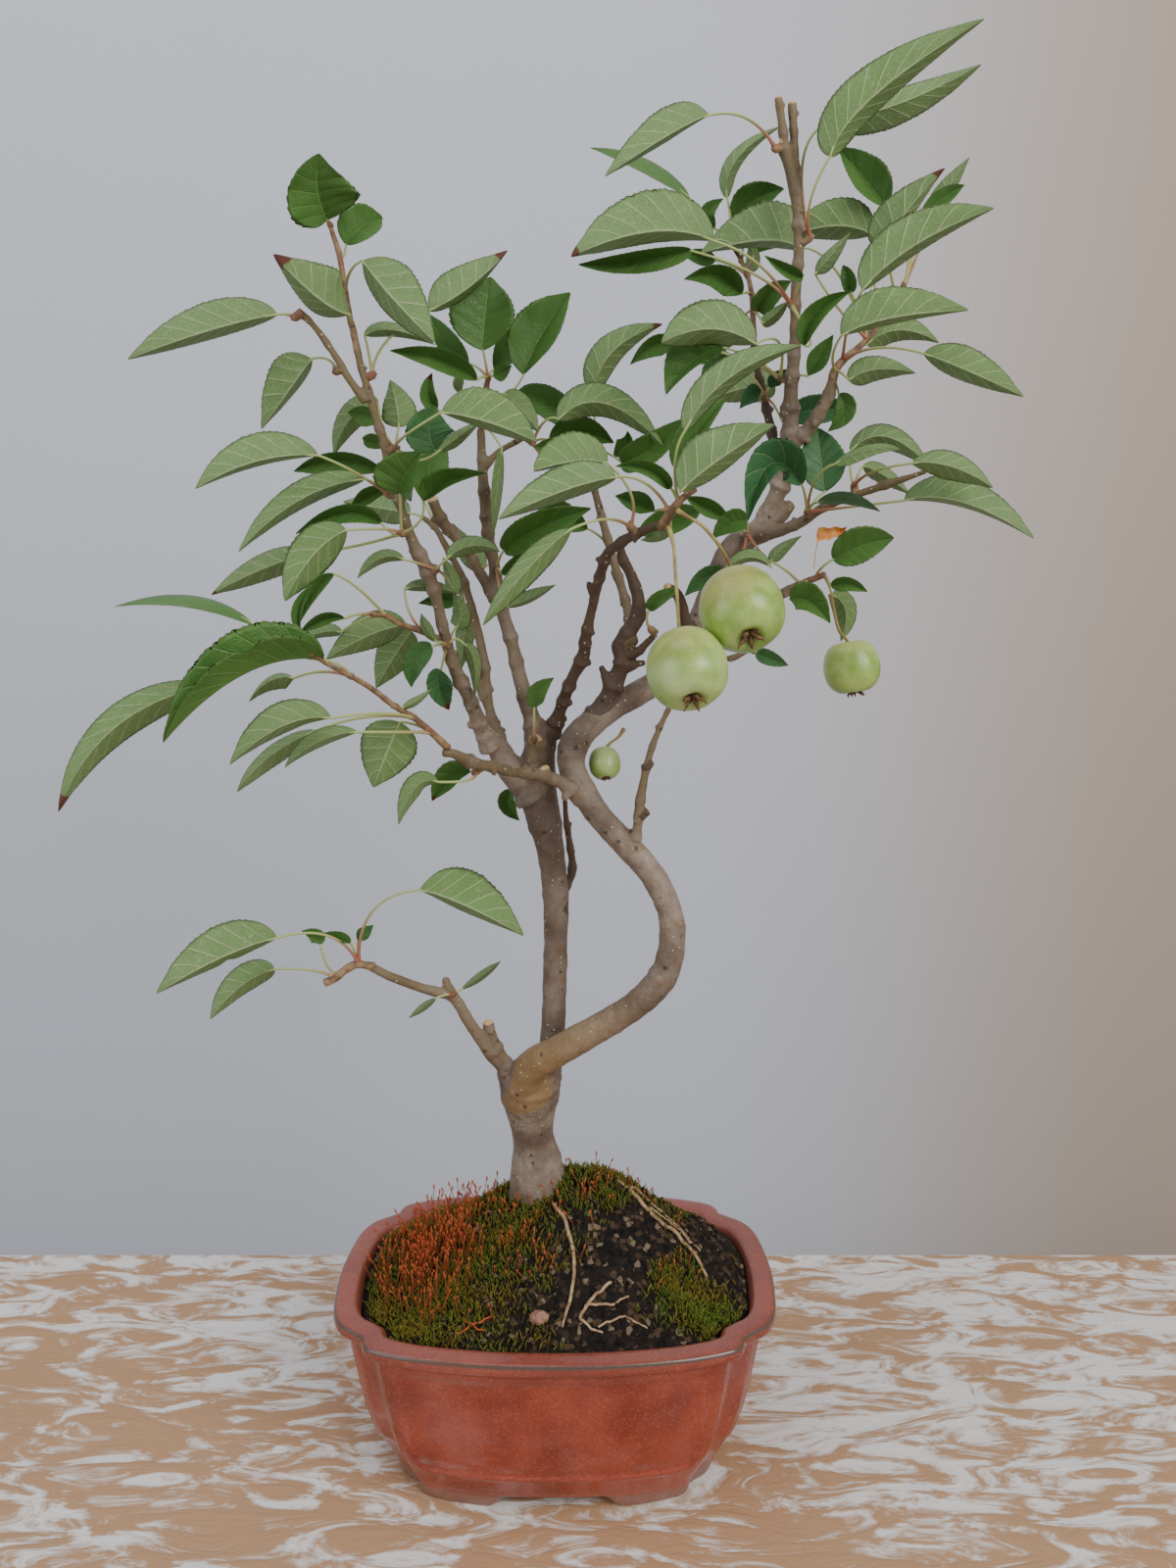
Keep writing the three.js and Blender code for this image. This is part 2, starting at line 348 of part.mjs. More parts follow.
    bud: [-68.24,-12.81,452.67,1.9],
    leaves: [
      [-68.2,-12.8,452.7,-72,-19.4,456.5,-75.7,-26,458.2,-101.7,-30.9,449.4,-124.4,-40,429, 9.5,68,41, 0.23,-0.97,-0.04, 0],
      [-68.2,-12.8,452.7,-78.9,-29.7,460.6,-91,-40,466.2,-111.8,-53.5,462.8,-133.1,-62,452, 12,81,29, 0.26,-0.96,-0.07, 0],
      [-68.2,-12.8,452.7,-70.4,-7.4,459.2,-72.5,-2,463.5,-91.9,1.8,467.9,-112.1,6,463.7, 8.4,-41,-66, 0.2,-0.98,-0.07, 0],
      [-68.2,-12.8,452.7,-69.1,-5.4,455.2,-70,2,455.6,-80.4,7.4,453.5,-88.9,8,447.2, 6,-55,-55, 0.18,-0.98,-0.05, 0],
      [-68.2,-12.8,452.7,-70.6,-5.4,464.5,-72.9,2,472.8,-76.6,4.5,475.5,-82.2,8,477.9, 4.6,-43,-43, 0.17,-0.98,-0.1, 0],
    ],
  },
  left_low_a: {
    bud: [-48.87,-14.31,421.87,1.9],
    leaves: [
      [-48.9,-14.3,421.9,-57.2,-16.6,424.8,-61.9,-18,426,-71.3,-20.4,426.4,-79.9,-26,418.4, 5.7,65,55, 0.17,-0.99,0, 0],
      [-48.9,-14.3,421.9,-47,-19.1,423.2,-43.3,-22,426.4,-32.7,-20.8,431.6,-21.4,-20,429.2, 6.5,47,60, 0.1,-1,-0.01, 0],
      [-48.9,-14.3,421.9,-46.6,-2.6,419,-44.2,9.1,412.5,-45.9,13.5,418.9,-49.4,15.1,427, 6.1,55,50, 0.12,-0.99,0.01, 0],
    ],
  },
  left_low_b: {
    bud: [-45.2,-8.67,389.14,1.9],
    leaves: [
      [-45.2,-8.7,389.1,-44.3,0.7,394.2,-43.4,10,396.4,-41.8,12.9,402.8,-45.5,16,411.9, 7,51,47, 0.11,-0.99,0.04, 0],
      [-45.2,-8.7,389.1,-48.2,-12.3,390,-51.1,-16,389.5,-57.9,-19.4,383.9,-60.1,-18,372.5, 6.2,-37,-37, 0.14,-0.99,0.08, 0],
      [-45.2,-8.7,389.1,-47.3,-5.2,384.6,-49.3,-1.8,378.2,-50.4,-1.9,371.3,-46.7,2.2,360.3, 7.8,-39,-48, 0.12,-0.99,0.1, 0],
      [-45.2,-8.7,389.1,-42.4,-7,392.2,-38.7,-6,390.1,-34.3,-4.9,381.9,-35,0,366.3, 6,55,55, 0.1,-0.99,0.09, 0],
      [-45.2,-8.7,389.1,-47.1,-12.4,390.9,-49,-16,391.5,-52.6,-19.3,397.1,-54.8,-20,403.7, 3.7,48,48, 0.13,-0.99,0.05, 0],
    ],
  },
  left_low_back: {
    bud: [-44.97,40.08,415.63,1.9],
    leaves: [
      [-45,40.1,415.6,-44.8,40,411.8,-44.6,40,406.8,-53.7,39.3,407.7,-63.6,34,406.1, 6.5,-50,-55, 0.12,-0.99,0.03, 0],
      [-45,40.1,415.6,-43.9,44,409.1,-42.8,48,400.1,-44.2,50.7,389.7,-46.5,52,373.5, 7.6,47,51, 0.1,-0.99,0.06, 0],
    ],
  },
  left_back_end: {
    bud: [-56.6,43.84,441.65,1.9],
    leaves: [
      [-56.6,43.8,441.7,-59.6,47.9,449,-62.6,52,454.2,-64.3,60.6,468.3,-57.1,66,487, 11.3,-34,-41, 0.13,-0.99,-0.08, 0],
      [-56.6,43.8,441.7,-63.2,49.9,446.2,-69.8,56,448,-83,63.3,455.7,-104.3,70,454.2, 10.4,50,43, 0.17,-0.98,-0.05, 0],
    ],
  },
  upright_top: {
    stem: [[-33,33,484,1.73], [-31.8,31,492.6,1.59], [-30.2,29,500.7,1.4], [-29.1,28,505.6,1.22]],
    leaves: [
      [-29.1,28,505.6,-30,26.5,512,-30.9,25.1,516.7,-30,27.8,532.8,-27.3,29.1,548.2, 16.4,-19,-38, 0.08,-0.98,-0.19, 0],
      [-31.8,31,492.6,-20.8,32.9,498.7,-13.7,34,507.8,-5.9,40.6,525.7,7.4,44,544.9, 15.1,-20,-64, 0.03,-0.98,-0.18, 0],
      [-31.8,31,492.6,-26.9,27.5,496.4,-22,24,498.4,-15.1,24.1,492.5,-6.7,20,482, 7,29,41, 0.05,-0.99,-0.12, 0],
      [-29.1,28,505.6,-27.8,25,506,-26.5,22,505.5,-22.6,22.1,507.2,-18,18,509.4, 3.9,-27,-27, 0.07,-0.99,-0.15, 0],
      [-29.1,28,505.6,-31,22,505.2,-32.9,16.1,503,-48.3,14.7,510.9,-69.6,10.1,514.2, 8.5,-57,-53, 0.12,-0.98,-0.16, 0],
      [-29.1,28,505.6,-34.2,36,511.2,-39.3,44,514,-48.2,45,522.7,-56.6,50,536.4, 7.2,-47,-41, 0.11,-0.98,-0.18, 0],
      [-31.8,31,492.6,-41,21.7,488.9,-50.7,16,490.7,-54,13.3,496.9,-52,12,505.2, 5.1,-41,-48, 0.12,-0.98,-0.14, 0],
      [-30.2,29,500.7,-35.2,26.5,500.3,-40.2,24,498.4,-41.5,20.7,502.9,-38.1,22,508, 3.4,41,41, 0.1,-0.98,-0.14, 0],
      [-32.6,32.3,486.9,-27.4,23.4,481.5,-22.7,18,474.3,-24.9,15.2,456.4,-26.7,12,436, 8.7,73,-73, 0.07,-1,-0.06, 0],
      [-29.1,28,505.6,-28.5,40,510.4,-27.9,52,511.8,-21.5,62.5,525.8,-12.6,70,539, 9.2,-46,-41, 0.06,-0.98,-0.17, 0],
    ],
  },
  upright_mid: {
    bud: [-26.29,25.64,422.52,1.9],
    leaves: [
      [-26.3,25.6,422.5,-24.1,18.8,427.4,-22,12,430,-5.2,5.8,440,16.7,4,447.9, 11.6,-51,-56, 0.03,-1,-0.03, 0],
      [-26.3,25.6,422.5,-24.9,21.8,421.7,-23.5,18,419.7,-10.9,15.4,428.3,4.9,16,436.1, 6.1,-60,-55, 0.05,-1,-0.01, 0],
      [-26.3,25.6,422.5,-24.3,15.9,412.8,-21.8,10,405.1,-10.7,8.3,409,1.1,8,415.1, 6.1,50,73, 0.05,-1,0.03, 0],
      [-26.3,25.6,422.5,-30.2,37.8,424.2,-34.1,50,422.2,-42.7,53.7,431.4,-49.8,60,443.6, 8.4,48,44, 0.1,-0.99,-0.02, 0],
    ],
  },
  upright_side: {
    bud: [-9.53,29.07,477.97,1.9],
    leaves: [
      [-9.5,29.1,478,-3.8,23.4,486.6,2.4,20,487,23.2,24.5,494.2,48.8,26,476.3, 11.8,42,59, -0.02,-0.99,-0.11, 0],
      [-9.5,29.1,478,0.7,16,467.4,12,8,470.5,2.7,6.3,473.2,-7.9,6,474, 7.6,-39,-48, 0.03,-1,-0.09, 0],
      [-9.5,29.1,478,-6.1,36.3,480.2,-2.7,43.6,480.2,10.8,51.3,485.4,27.5,57.6,480.7, 10.1,-47,-50, 0.01,-1,-0.1, 0],
    ],
  },
  fork_leaf: {
    bud: [-8.77,4.76,346.66,1.9],
    leaves: [
      [-8.8,4.8,346.7,-8.8,4.4,354.8,-8.7,4,361,-6.9,3,368.2,0.2,2,374.4, 5.2,-34,-34, 0.04,-0.99,0.11, 0],
    ],
  },
  centre_a: {
    bud: [32.1,-42.41,438.66,1.9],
    leaves: [
      [32.1,-42.4,438.7,22.2,-54.6,441.1,9.1,-62,437.2,-6.4,-69.6,423.2,-23.7,-78,401.6, 9.6,57,55, 0.05,-1,0.01, 0],
      [32.1,-42.4,438.7,32.5,-41.8,451,23.1,-41.5,463.1,10.8,-45.3,463.5,-5.3,-53.5,459.2, 12.3,85,20, 0.01,-1,-0.08, 1],
    ],
  },
  centre_spur: {
    stem: [[44.9,-49,439.8,1.84], [47.4,-52,443.4,1.9], [50.2,-54,447.4,1.59], [53.5,-55,450.3,1.28], [56.8,-56,452.4,1.05]],
    leaves: [
      [47.4,-52,443.4,38,-54.8,454.3,26.3,-56.5,456.8,6,-58.3,451.5,-18.3,-64.5,440.7, 12,72,36, 0.02,-1,-0.05, 0],
      [50.2,-54,447.4,48.5,-57,450.6,46.7,-60,452.5,38.2,-64.9,459,25.7,-66,460, 5.5,-58,-58, -0.05,-1,-0.07, 0],
      [50.2,-54,447.4,48.5,-59,462.7,51.8,-62,473.1,67.7,-64.3,491.8,93.2,-70,502.2, 10.2,41,71, -0.12,-0.98,-0.14, 0],
      [53.5,-55,450.3,51.6,-62.5,451.5,49.7,-70,450.5,63.2,-74.8,461.4,82.8,-78,473.5, 13.7,27,70, -0.11,-0.99,-0.09, 0],
      [53.5,-55,450.3,54.3,-51.5,456.8,55,-48,461.4,60.2,-48,469.2,69.7,-44,476.6, 5.3,-55,-60, -0.1,-0.99,-0.09, 0],
      [53.5,-55,450.3,53.3,-46.5,456.1,53.2,-38,459.2,57,-32.6,472.5,71.5,-26,490, 10.2,-43,-70, -0.1,-0.99,-0.1, 0],
      [47.4,-52,443.4,44.8,-44,445.3,42.2,-36,444.9,36,-32.9,448.1,26.5,-30,451.3, 6.7,-54,-45, -0.04,-1,-0.05, 0],
      [47.4,-52,443.4,47.6,-49.4,441.1,47.8,-46.9,437.6,43.4,-43.6,434.7,36.4,-44.9,433.5, 3.1,51,41, -0.06,-1,-0.03, 0],
    ],
  },
  centre_back: {
    bud: [18.69,54.33,476.85,1.9],
    leaves: [
      [18.7,54.3,476.8,18.4,59.4,492.9,18.2,64.4,504.8,27.5,67.8,524,51,72.4,536.9, 11.7,41,59, -0.03,-0.99,-0.16, 0],
      [18.7,54.3,476.8,24.7,47.2,474.9,30.8,40,470.2,43.9,32.6,475.7,62.1,30,489.9, 9.8,-43,-50, -0.06,-0.99,-0.1, 0],
      [18.7,54.3,476.8,23,53.2,476,27.4,52,473.9,32.9,52.8,480.2,33.7,50,485.3, 6.5,-50,-50, -0.03,-0.99,-0.1, 0],
      [18.7,54.3,476.8,14.7,60.2,483.1,10.7,66,487,-3.5,71.1,500.3,-19.1,80,507, 10.4,-47,-43, 0.03,-0.99,-0.12, 0],
    ],
  },
  centre_back_low: {
    bud: [26.42,45.77,431.55,1.9],
    leaves: [
      [26.4,45.8,431.6,20.9,48.9,437.1,15.4,52,440.6,6,57.9,449.9,-10.2,64,453.9, 9.4,-46,-46, 0.02,-1,-0.04, 0],
      [26.4,45.8,431.6,32.7,52.9,436.4,39,60,438.5,49.9,68.8,446.7,71.4,74,450.7, 10.1,-44,-52, -0.07,-1,-0.04, 0],
    ],
  },
  dark_limb: {
    bud: [86.6,16.78,436.74,1.9],
    leaves: [
      [86.6,16.8,436.7,81.5,10.1,422.3,76.3,6,418.1,66.9,3.1,418.5,57.8,0,410.5, 7.7,-39,-56, -0.1,-1,0.02, 0],
      [86.6,16.8,436.7,85.9,13.4,440.6,85.3,10,443.1,77.3,7.7,441.3,69.9,6,435, 7.3,-50,-40, -0.12,-0.99,-0.03, 0],
      [86.6,16.8,436.7,82.6,18.4,441.1,78.7,20,443.9,69.4,24.5,449.3,59.2,26,454.1, 6.6,-53,-53, -0.1,-0.99,-0.05, 0],
      [86.6,16.8,436.7,91.7,4,428.2,94.5,-3.9,422.8,83.8,-10.3,426.9,72.5,-11.9,421.1, 5.8,65,50, -0.13,-0.99,0, 0],
    ],
  },
  right_twig_base: {
    bud: [110.47,2.78,446.4,1.9],
    leaves: [
      [110.5,2.8,446.4,106.5,-11.6,453.3,102.6,-26,455.8,89,-29.6,463.7,79.9,-34,441.1, 12.3,-59,-45, -0.15,-0.99,-0.05, 0],
      [110.5,2.8,446.4,115.2,8.1,452.1,120,13.3,455.5,118.5,16.9,469.2,117.5,21.3,483.4, 11.3,-32,-23, -0.19,-0.98,-0.08, 0],
      [110.5,2.8,446.4,110.6,-12.6,458.7,116.3,-22,464.3,127.4,-30.6,468.9,137.3,-44,468.1, 7.1,71,-60, -0.22,-0.97,-0.08, 0],
      [110.5,2.8,446.4,111.2,-4.6,449,111.9,-12,449.5,123.8,-17.5,451.2,135.1,-26,445.3, 5.7,-65,60, -0.21,-0.98,-0.05, 0],
      [110.5,2.8,446.4,130.5,-10.1,448.4,146.6,-18,450,168.3,-28.2,448.7,195.9,-34,434.1, 12.4,36,81, -0.3,-0.95,-0.04, 0],
    ],
  },
  right_twig_mid: {
    bud: [129.38,-1.81,456.93,1.9],
    leaves: [
      [129.4,-1.8,456.9,132.8,-19.3,461.4,145.9,-30,464,159.5,-37.5,462.3,175.3,-42,453.7, 10.5,56,59, -0.29,-0.96,-0.07, 0],
      [129.4,-1.8,456.9,131.8,2.1,462.2,134.3,6,465.8,142.4,3.8,462.3,154.7,2,453.6, 6.4,53,53, -0.24,-0.97,-0.07, 0],
      [129.4,-1.8,456.9,129,4.4,463.2,129.4,8.2,472.5,144.2,5.2,478,162,0.2,464.5, 11,60,60, -0.24,-0.97,-0.08, 0],
    ],
  },
  right_lower_spur: {
    stem: [[106.5,-0.6,414.7,1.79], [110.4,-4,416.9,1.53], [113.3,-6,418.2,1.44], [116.3,-8,419.5,1.26]],
    leaves: [
      [113.3,-6,418.2,114.7,-11,422.4,119,-14,426,130.5,-18.8,432,142.2,-22,434.8, 10.2,-37,-47, -0.22,-0.97,-0.01, 0],
      [107.8,-1.8,415.5,101.4,0,421.5,94.9,1.9,425.3,99.7,3.2,430.7,108.9,5.9,436.3, 5.1,60,48, -0.16,-0.99,-0.01, 0],
      [110.4,-4,416.9,105.5,-11,414.4,100.6,-18,409.4,108.4,-20.9,408.6,115.9,-28,400, 9,-35,-54, -0.18,-0.98,0.04, 0],
      [116.3,-8,419.5,119.3,-3,416.2,122.4,2,410.9,129.6,6.3,403.5,127.9,6,390.6, 6.5,37,43, -0.2,-0.98,0.04, 0],
      [116.3,-8,419.5,117.2,-12,417.9,118.2,-16,415,124.8,-19.5,415.9,132.2,-22,412.7, 4.5,-50,-43, -0.21,-0.98,0.02, 0],
    ],
  },
  right_top: {
    bud: [92.47,2.68,591.98,1.9],
    leaves: [
      [92.5,2.7,592,79.4,-5.2,600.7,63.9,-10,600.2,47.8,-19,590.3,22.2,-32,571, 11.2,80,30, -0.05,-0.95,-0.31, 0],
    ],
  },
  right_upper_a: {
    bud: [101.3,6.67,532.18,1.9],
    leaves: [
      [101.3,6.7,532.2,84.6,-12.3,543.7,65,-24,549.7,39.6,-35.8,549.9,9.1,-46,538.5, 16.2,74,22, -0.04,-0.97,-0.24, 0],
      [101.3,6.7,532.2,85.6,6.3,544.2,58.6,6,553.4,34.9,-0.1,548.1,11.3,-2,546.1, 9,-54,-66, -0.04,-0.97,-0.23, 0],
      [101.3,6.7,532.2,102.9,2.3,537.4,104.5,-2,540.8,97.2,-3.9,543.4,87.8,-6,548.6, 4.5,-57,-50, -0.15,-0.96,-0.23, 0],
      [101.3,6.7,532.2,107.8,-3.7,516.9,104.8,-10,512.7,108,-12.2,524.1,122.1,-16,532.8, 8,-57,-60, -0.19,-0.96,-0.19, 0],
    ],
  },
  right_upper_b: {
    bud: [108.31,6.21,558.56,1.9],
    leaves: [
      [108.3,6.2,558.6,106.4,-3.8,570.2,112.6,-10,584.9,128.2,-15,605.5,167.1,-24,629.2, 13.9,31,67, -0.23,-0.92,-0.33, 0],
      [108.3,6.2,558.6,105.5,11,591.6,117.9,14,606.2,148.3,19.3,615.6,180.3,20,630.2, 12.4,60,48, -0.23,-0.92,-0.33, 0],
    ],
  },
  right_mid: {
    bud: [98.93,15.91,503.7,1.9],
    leaves: [
      [98.9,15.9,503.7,95.8,-0.2,515.6,84.5,-10,513.4,65.1,-17.6,517.8,44.7,-28,510.6, 13.1,59,29, -0.1,-0.98,-0.17, 0],
      [98.9,15.9,503.7,85.8,10,511.2,72.8,4,514.3,60.3,3.3,509.1,48.6,0,494.7, 14.1,-75,-20, -0.09,-0.98,-0.15, 0],
      [98.9,15.9,503.7,79,13.6,512.4,54.2,12.2,517,44.2,14.3,517.3,33.7,14.2,509.2, 6.4,-37,-53, -0.05,-0.98,-0.17, 0],
      [98.9,15.9,503.7,105.2,17.1,505.2,111.5,18.4,505,116.1,21.4,512,122.8,22.4,522.8, 6.9,-47,-51, -0.18,-0.97,-0.16, 0],
      [98.9,15.9,503.7,101.7,42.2,510.1,104.6,68.5,509,91.7,77.9,508.5,74.3,84.5,503.9, 11.4,48,48, -0.12,-0.98,-0.14, 0],
    ],
  },
  right_spur: {
    stem: [[121.1,12,502.2,2.08], [122.1,12,506.4,1.95], [125.5,13,510.6,1.69], [130.7,14,514.8,1.48], [136.2,15,519.9,1.27], [142,14,526.9,1.14], [147,12,535.3,1.05], [149.8,11,540.6,0.92]],
    leaves: [
      [125.5,13,510.6,123.7,-5,522.5,126.4,-16,533.1,145.6,-22.6,548.6,171.8,-34,558.8, 14,27,77, -0.25,-0.94,-0.23, 0],
      [122.1,12,506.4,116.8,-9.1,509.4,117.2,-22,514.3,135.2,-30.6,519.4,163,-38,520.8, 13.1,20,80, -0.24,-0.95,-0.18, 0],
      [130.7,14,514.8,134.1,18,517.5,137.5,22,518.7,152,22.9,525,170.9,28,520.5, 10.3,48,57, -0.24,-0.96,-0.17, 0],
      [125.5,13,510.6,137.4,1.2,513.8,155,-6,510.3,172.2,-12.3,502.3,194.2,-16,491.7, 10.9,35,66, -0.29,-0.94,-0.14, 0],
      [122.1,12,506.4,124.3,8,504.6,126.5,4,501.2,138.6,4.6,505.7,155.8,8,504.6, 9.2,50,54, -0.23,-0.96,-0.15, 0],
      [121.3,12,503.6,123.1,13.6,500.9,124.8,15.2,497.1,127.7,15.5,489.8,121.1,17.2,481.7, 5.6,-32,-32, -0.19,-0.97,-0.12, 0],
      [149.8,11,540.6,152.7,20.3,558.5,144.8,26,575.5,136.7,31.6,588.6,124.2,34,602.8, 10.7,-61,-28, -0.2,-0.94,-0.28, 0],
      [147,12,535.3,143.5,8,544.3,140.1,4,550.6,143.6,-2.2,562.8,160.6,-4,582.4, 13.3,35,71, -0.24,-0.94,-0.26, 0],
      [149.8,11,540.6,160.3,25.3,560.6,166.2,34,576.5,174.4,37.7,588,184.1,42,601, 6.5,48,53, -0.26,-0.92,-0.27, 0],
      [149.8,11,540.6,155.4,19.1,555.9,158.5,24,570.6,168.1,26.6,579.6,177.8,26,585, 5.5,-46,-46, -0.26,-0.93,-0.26, 0],
      [136.2,15,519.9,121.5,16.7,548.6,106.2,17.7,557.5,89.8,21.5,561.2,64.7,27.7,557.6, 16.5,80,18, -0.12,-0.96,-0.24, 0],
      [142,14,526.9,140.5,25.2,545.3,140.3,32,566.3,123.8,31.8,569.9,102.2,36,566.1, 12,62,15, -0.18,-0.95,-0.24, 0],
      [136.2,15,519.9,122.9,8.2,529.7,110.8,4,543.7,115.9,1.7,549.7,124.5,2,559.7, 5.3,57,46, -0.19,-0.95,-0.23, 0],
      [136.2,15,519.9,131.9,13.5,530.6,127.6,12,538.4,126.1,9.9,543.1,123.8,12,549, 4.2,-37,-46, -0.2,-0.96,-0.22, 0],
    ],
  },
  right_back_top: {
    stem: [[89.3,33,526.2,1.4], [88.6,32.5,534.6,1.22], [87.9,32,541.9,1.13], [86,32,549.3,1.04], [83.1,34,556.3,0.95], [79.7,36,562.5,0.87]],
    leaves: [
      [79.7,36,562.5,70.2,42.7,574,60.3,46.8,586.2,39.8,54.3,602,16.3,58.8,610.4, 8.9,-70,70, -0.04,-0.96,-0.29, 0],
      [79.7,36,562.5,78.6,39.4,575.2,77.4,42.8,584.6,81.5,43.1,600.9,101.2,46.8,615.4, 7.4,58,62, -0.12,-0.95,-0.3, 0],
      [79.7,36,562.5,75.7,37.4,567.5,71.6,38.8,570.9,68.1,35.2,576,74.8,34.8,581.9, 4.3,-26,-37, -0.1,-0.96,-0.26, 0],
      [83.1,34,556.3,84.1,40.2,565.2,80.4,44,574.3,89,44.6,583.9,102.5,42,588.1, 10.1,-42,-49, -0.13,-0.96,-0.27, 0],
      [87.9,32,541.9,85.4,29,541.8,82.9,26,540.6,71.6,22.6,547.1,56.7,16,544.4, 8.9,-44,-55, -0.1,-0.97,-0.21, 0],
      [86,32,549.3,79.2,36,554.7,72.4,40,557.7,65.3,39.4,559.2,56.9,38,560.5, 4.8,-43,-43, -0.09,-0.97,-0.23, 0],
      [86,32,549.3,87.4,39.3,553.3,88.7,46.7,555.1,90.3,49.8,561.7,88.7,48.7,567.7, 4.5,46,37, -0.12,-0.96,-0.23, 0],
      [88.6,32.5,534.6,89.9,32.3,534.7,91.2,32,534.5,94.6,26.8,540,104.2,26,545.9, 7.3,-50,-45, -0.14,-0.97,-0.21, 0],
      [88.6,32.5,534.6,89.9,25.2,531.9,91.1,18,526.9,96.3,19.3,530.4,101.6,16,535.3, 4.3,46,46, -0.15,-0.97,-0.19, 0],
      [86,32,549.3,90,47.7,560.6,93.9,63.3,566.7,107.5,70.7,578,127.1,77.3,583.2, 11.1,-48,-48, -0.15,-0.96,-0.25, 0],
      [88.6,32.5,534.6,87.6,45.2,536.4,86.7,58,534.5,78,61,529,69.4,66,517.5, 9.2,-46,-46, -0.11,-0.98,-0.17, 0],
    ],
  },
  right_back_low: {
    bud: [94.17,28.52,497.58,1.9],
    leaves: [
      [94.2,28.5,497.6,93.2,26.3,498.7,92.3,24,499.2,87.6,24.6,498,82.6,22,491.8, 6.5,-37,-53, -0.13,-0.98,-0.13, 0],
      [94.2,28.5,497.6,94.8,23.9,499.6,95.4,19.3,500.2,97.6,20.1,504,102.1,19.3,508, 3.9,-39,-27, -0.15,-0.98,-0.15, 0],
      [94.2,28.5,497.6,90.7,29.4,504.1,81.9,30,512.6,72.4,31.4,511.1,66.1,28,501, 7.5,-40,-45, -0.1,-0.98,-0.15, 0],
      [94.2,28.5,497.6,100.4,41.3,495.9,106.5,54,490.1,121.8,58,495.9,140.2,66,496, 10.2,-50,-47, -0.18,-0.98,-0.12, 0],
    ],
  },
  front_left_low: {
    bud: [-31.48,-37.36,339.05,1.9],
    leaves: [
      [-31.5,-37.4,339.1,-33,-51.4,338.1,-44.3,-60,338.9,-52.5,-65.6,337.5,-58.4,-72,324.3, 6.2,60,36, 0.14,-0.97,0.2, 0],
      [-31.5,-37.4,339.1,-32.7,-35.7,339,-34,-34,338.3,-42.4,-32.1,335.8,-50.8,-30,325.3, 7.9,-58,-38, 0.12,-0.98,0.18, 0],
    ],
  },
  trunk_leaf: {
    bud: [-19.96,26.76,323.48,1.9],
    leaves: [
      [-20,26.8,323.5,-20.2,31.4,321.2,-20.5,36,317.4,-23.4,36.8,310.5,-17.8,36,302.4, 5.7,-41,-34, 0.06,-0.98,0.2, 0],
    ],
  },
  fruit_twig_leaf: {
    bud: [89.54,6.75,386.14,1.9],
    leaves: [
      [89.5,6.8,386.1,89.9,5.4,386,90.3,4,385.5,95.9,0.7,383.2,103.7,0,380.2, 4.3,-37,-37, -0.15,-0.99,0.08, 0],
    ],
  },
  gnarly_leaf: {
    bud: [42.87,-2.87,396.18,1.9],
    leaves: [
      [42.9,-2.9,396.2,40.9,-6.1,399.8,41.6,-8,404.9,46.1,-9.3,409.5,54.3,-6,413.6, 5,-48,-54, -0.06,-1,0.03, 0],
    ],
  },
};
// ---- pot --------------------------------------------------------------------
// Full outline of the rim, anticlockwise seen from above, as unit vectors.
const OUTLINE = (() => {
  const q = QUARTER;
  const n = q.length;
  const out = [];
  for (let i = n - 1; i > 0; i--) out.push([q[i][0], q[i][1]]); // +X to +Y
  for (let i = 0; i < n - 1; i++) out.push([-q[i][0], q[i][1]]); // +Y to -X
  for (let i = n - 1; i > 0; i--) out.push([-q[i][0], -q[i][1]]); // -X to -Y
  for (let i = 0; i < n - 1; i++) out.push([q[i][0], -q[i][1]]); // -Y to +X
  return out;
})();

const ring = (halfX, halfY, z) =>
  OUTLINE.map(([x, y]) => new THREE.Vector3(x * halfX, y * halfY, z));

// Outside of the body: height and share of the rim's half length.
const BODY = [
  [FOOT_HEIGHT, 0.748], [12, 0.772], [18, 0.803], [27, 0.846], [40, 0.881],
  [58, 0.913], [POT_HEIGHT - RIM_BAND - 1.5, 0.944],
];
const HX = POT_LENGTH / 2;
const HY = POT_DEPTH / 2;

function bodyShare(z) {
  for (let i = 0; i + 1 < BODY.length; i++) {
    const [z0, s0] = BODY[i];
    const [z1, s1] = BODY[i + 1];
    if (z <= z1) return s0 + ((s1 - s0) * (z - z0)) / (z1 - z0);
  }
  return BODY[BODY.length - 1][1];
}

// Half sizes of the inside wall at a height.
function inside(z) {
  const s = bodyShare(z);
  return [HX * s - WALL, HY * s - WALL];
}

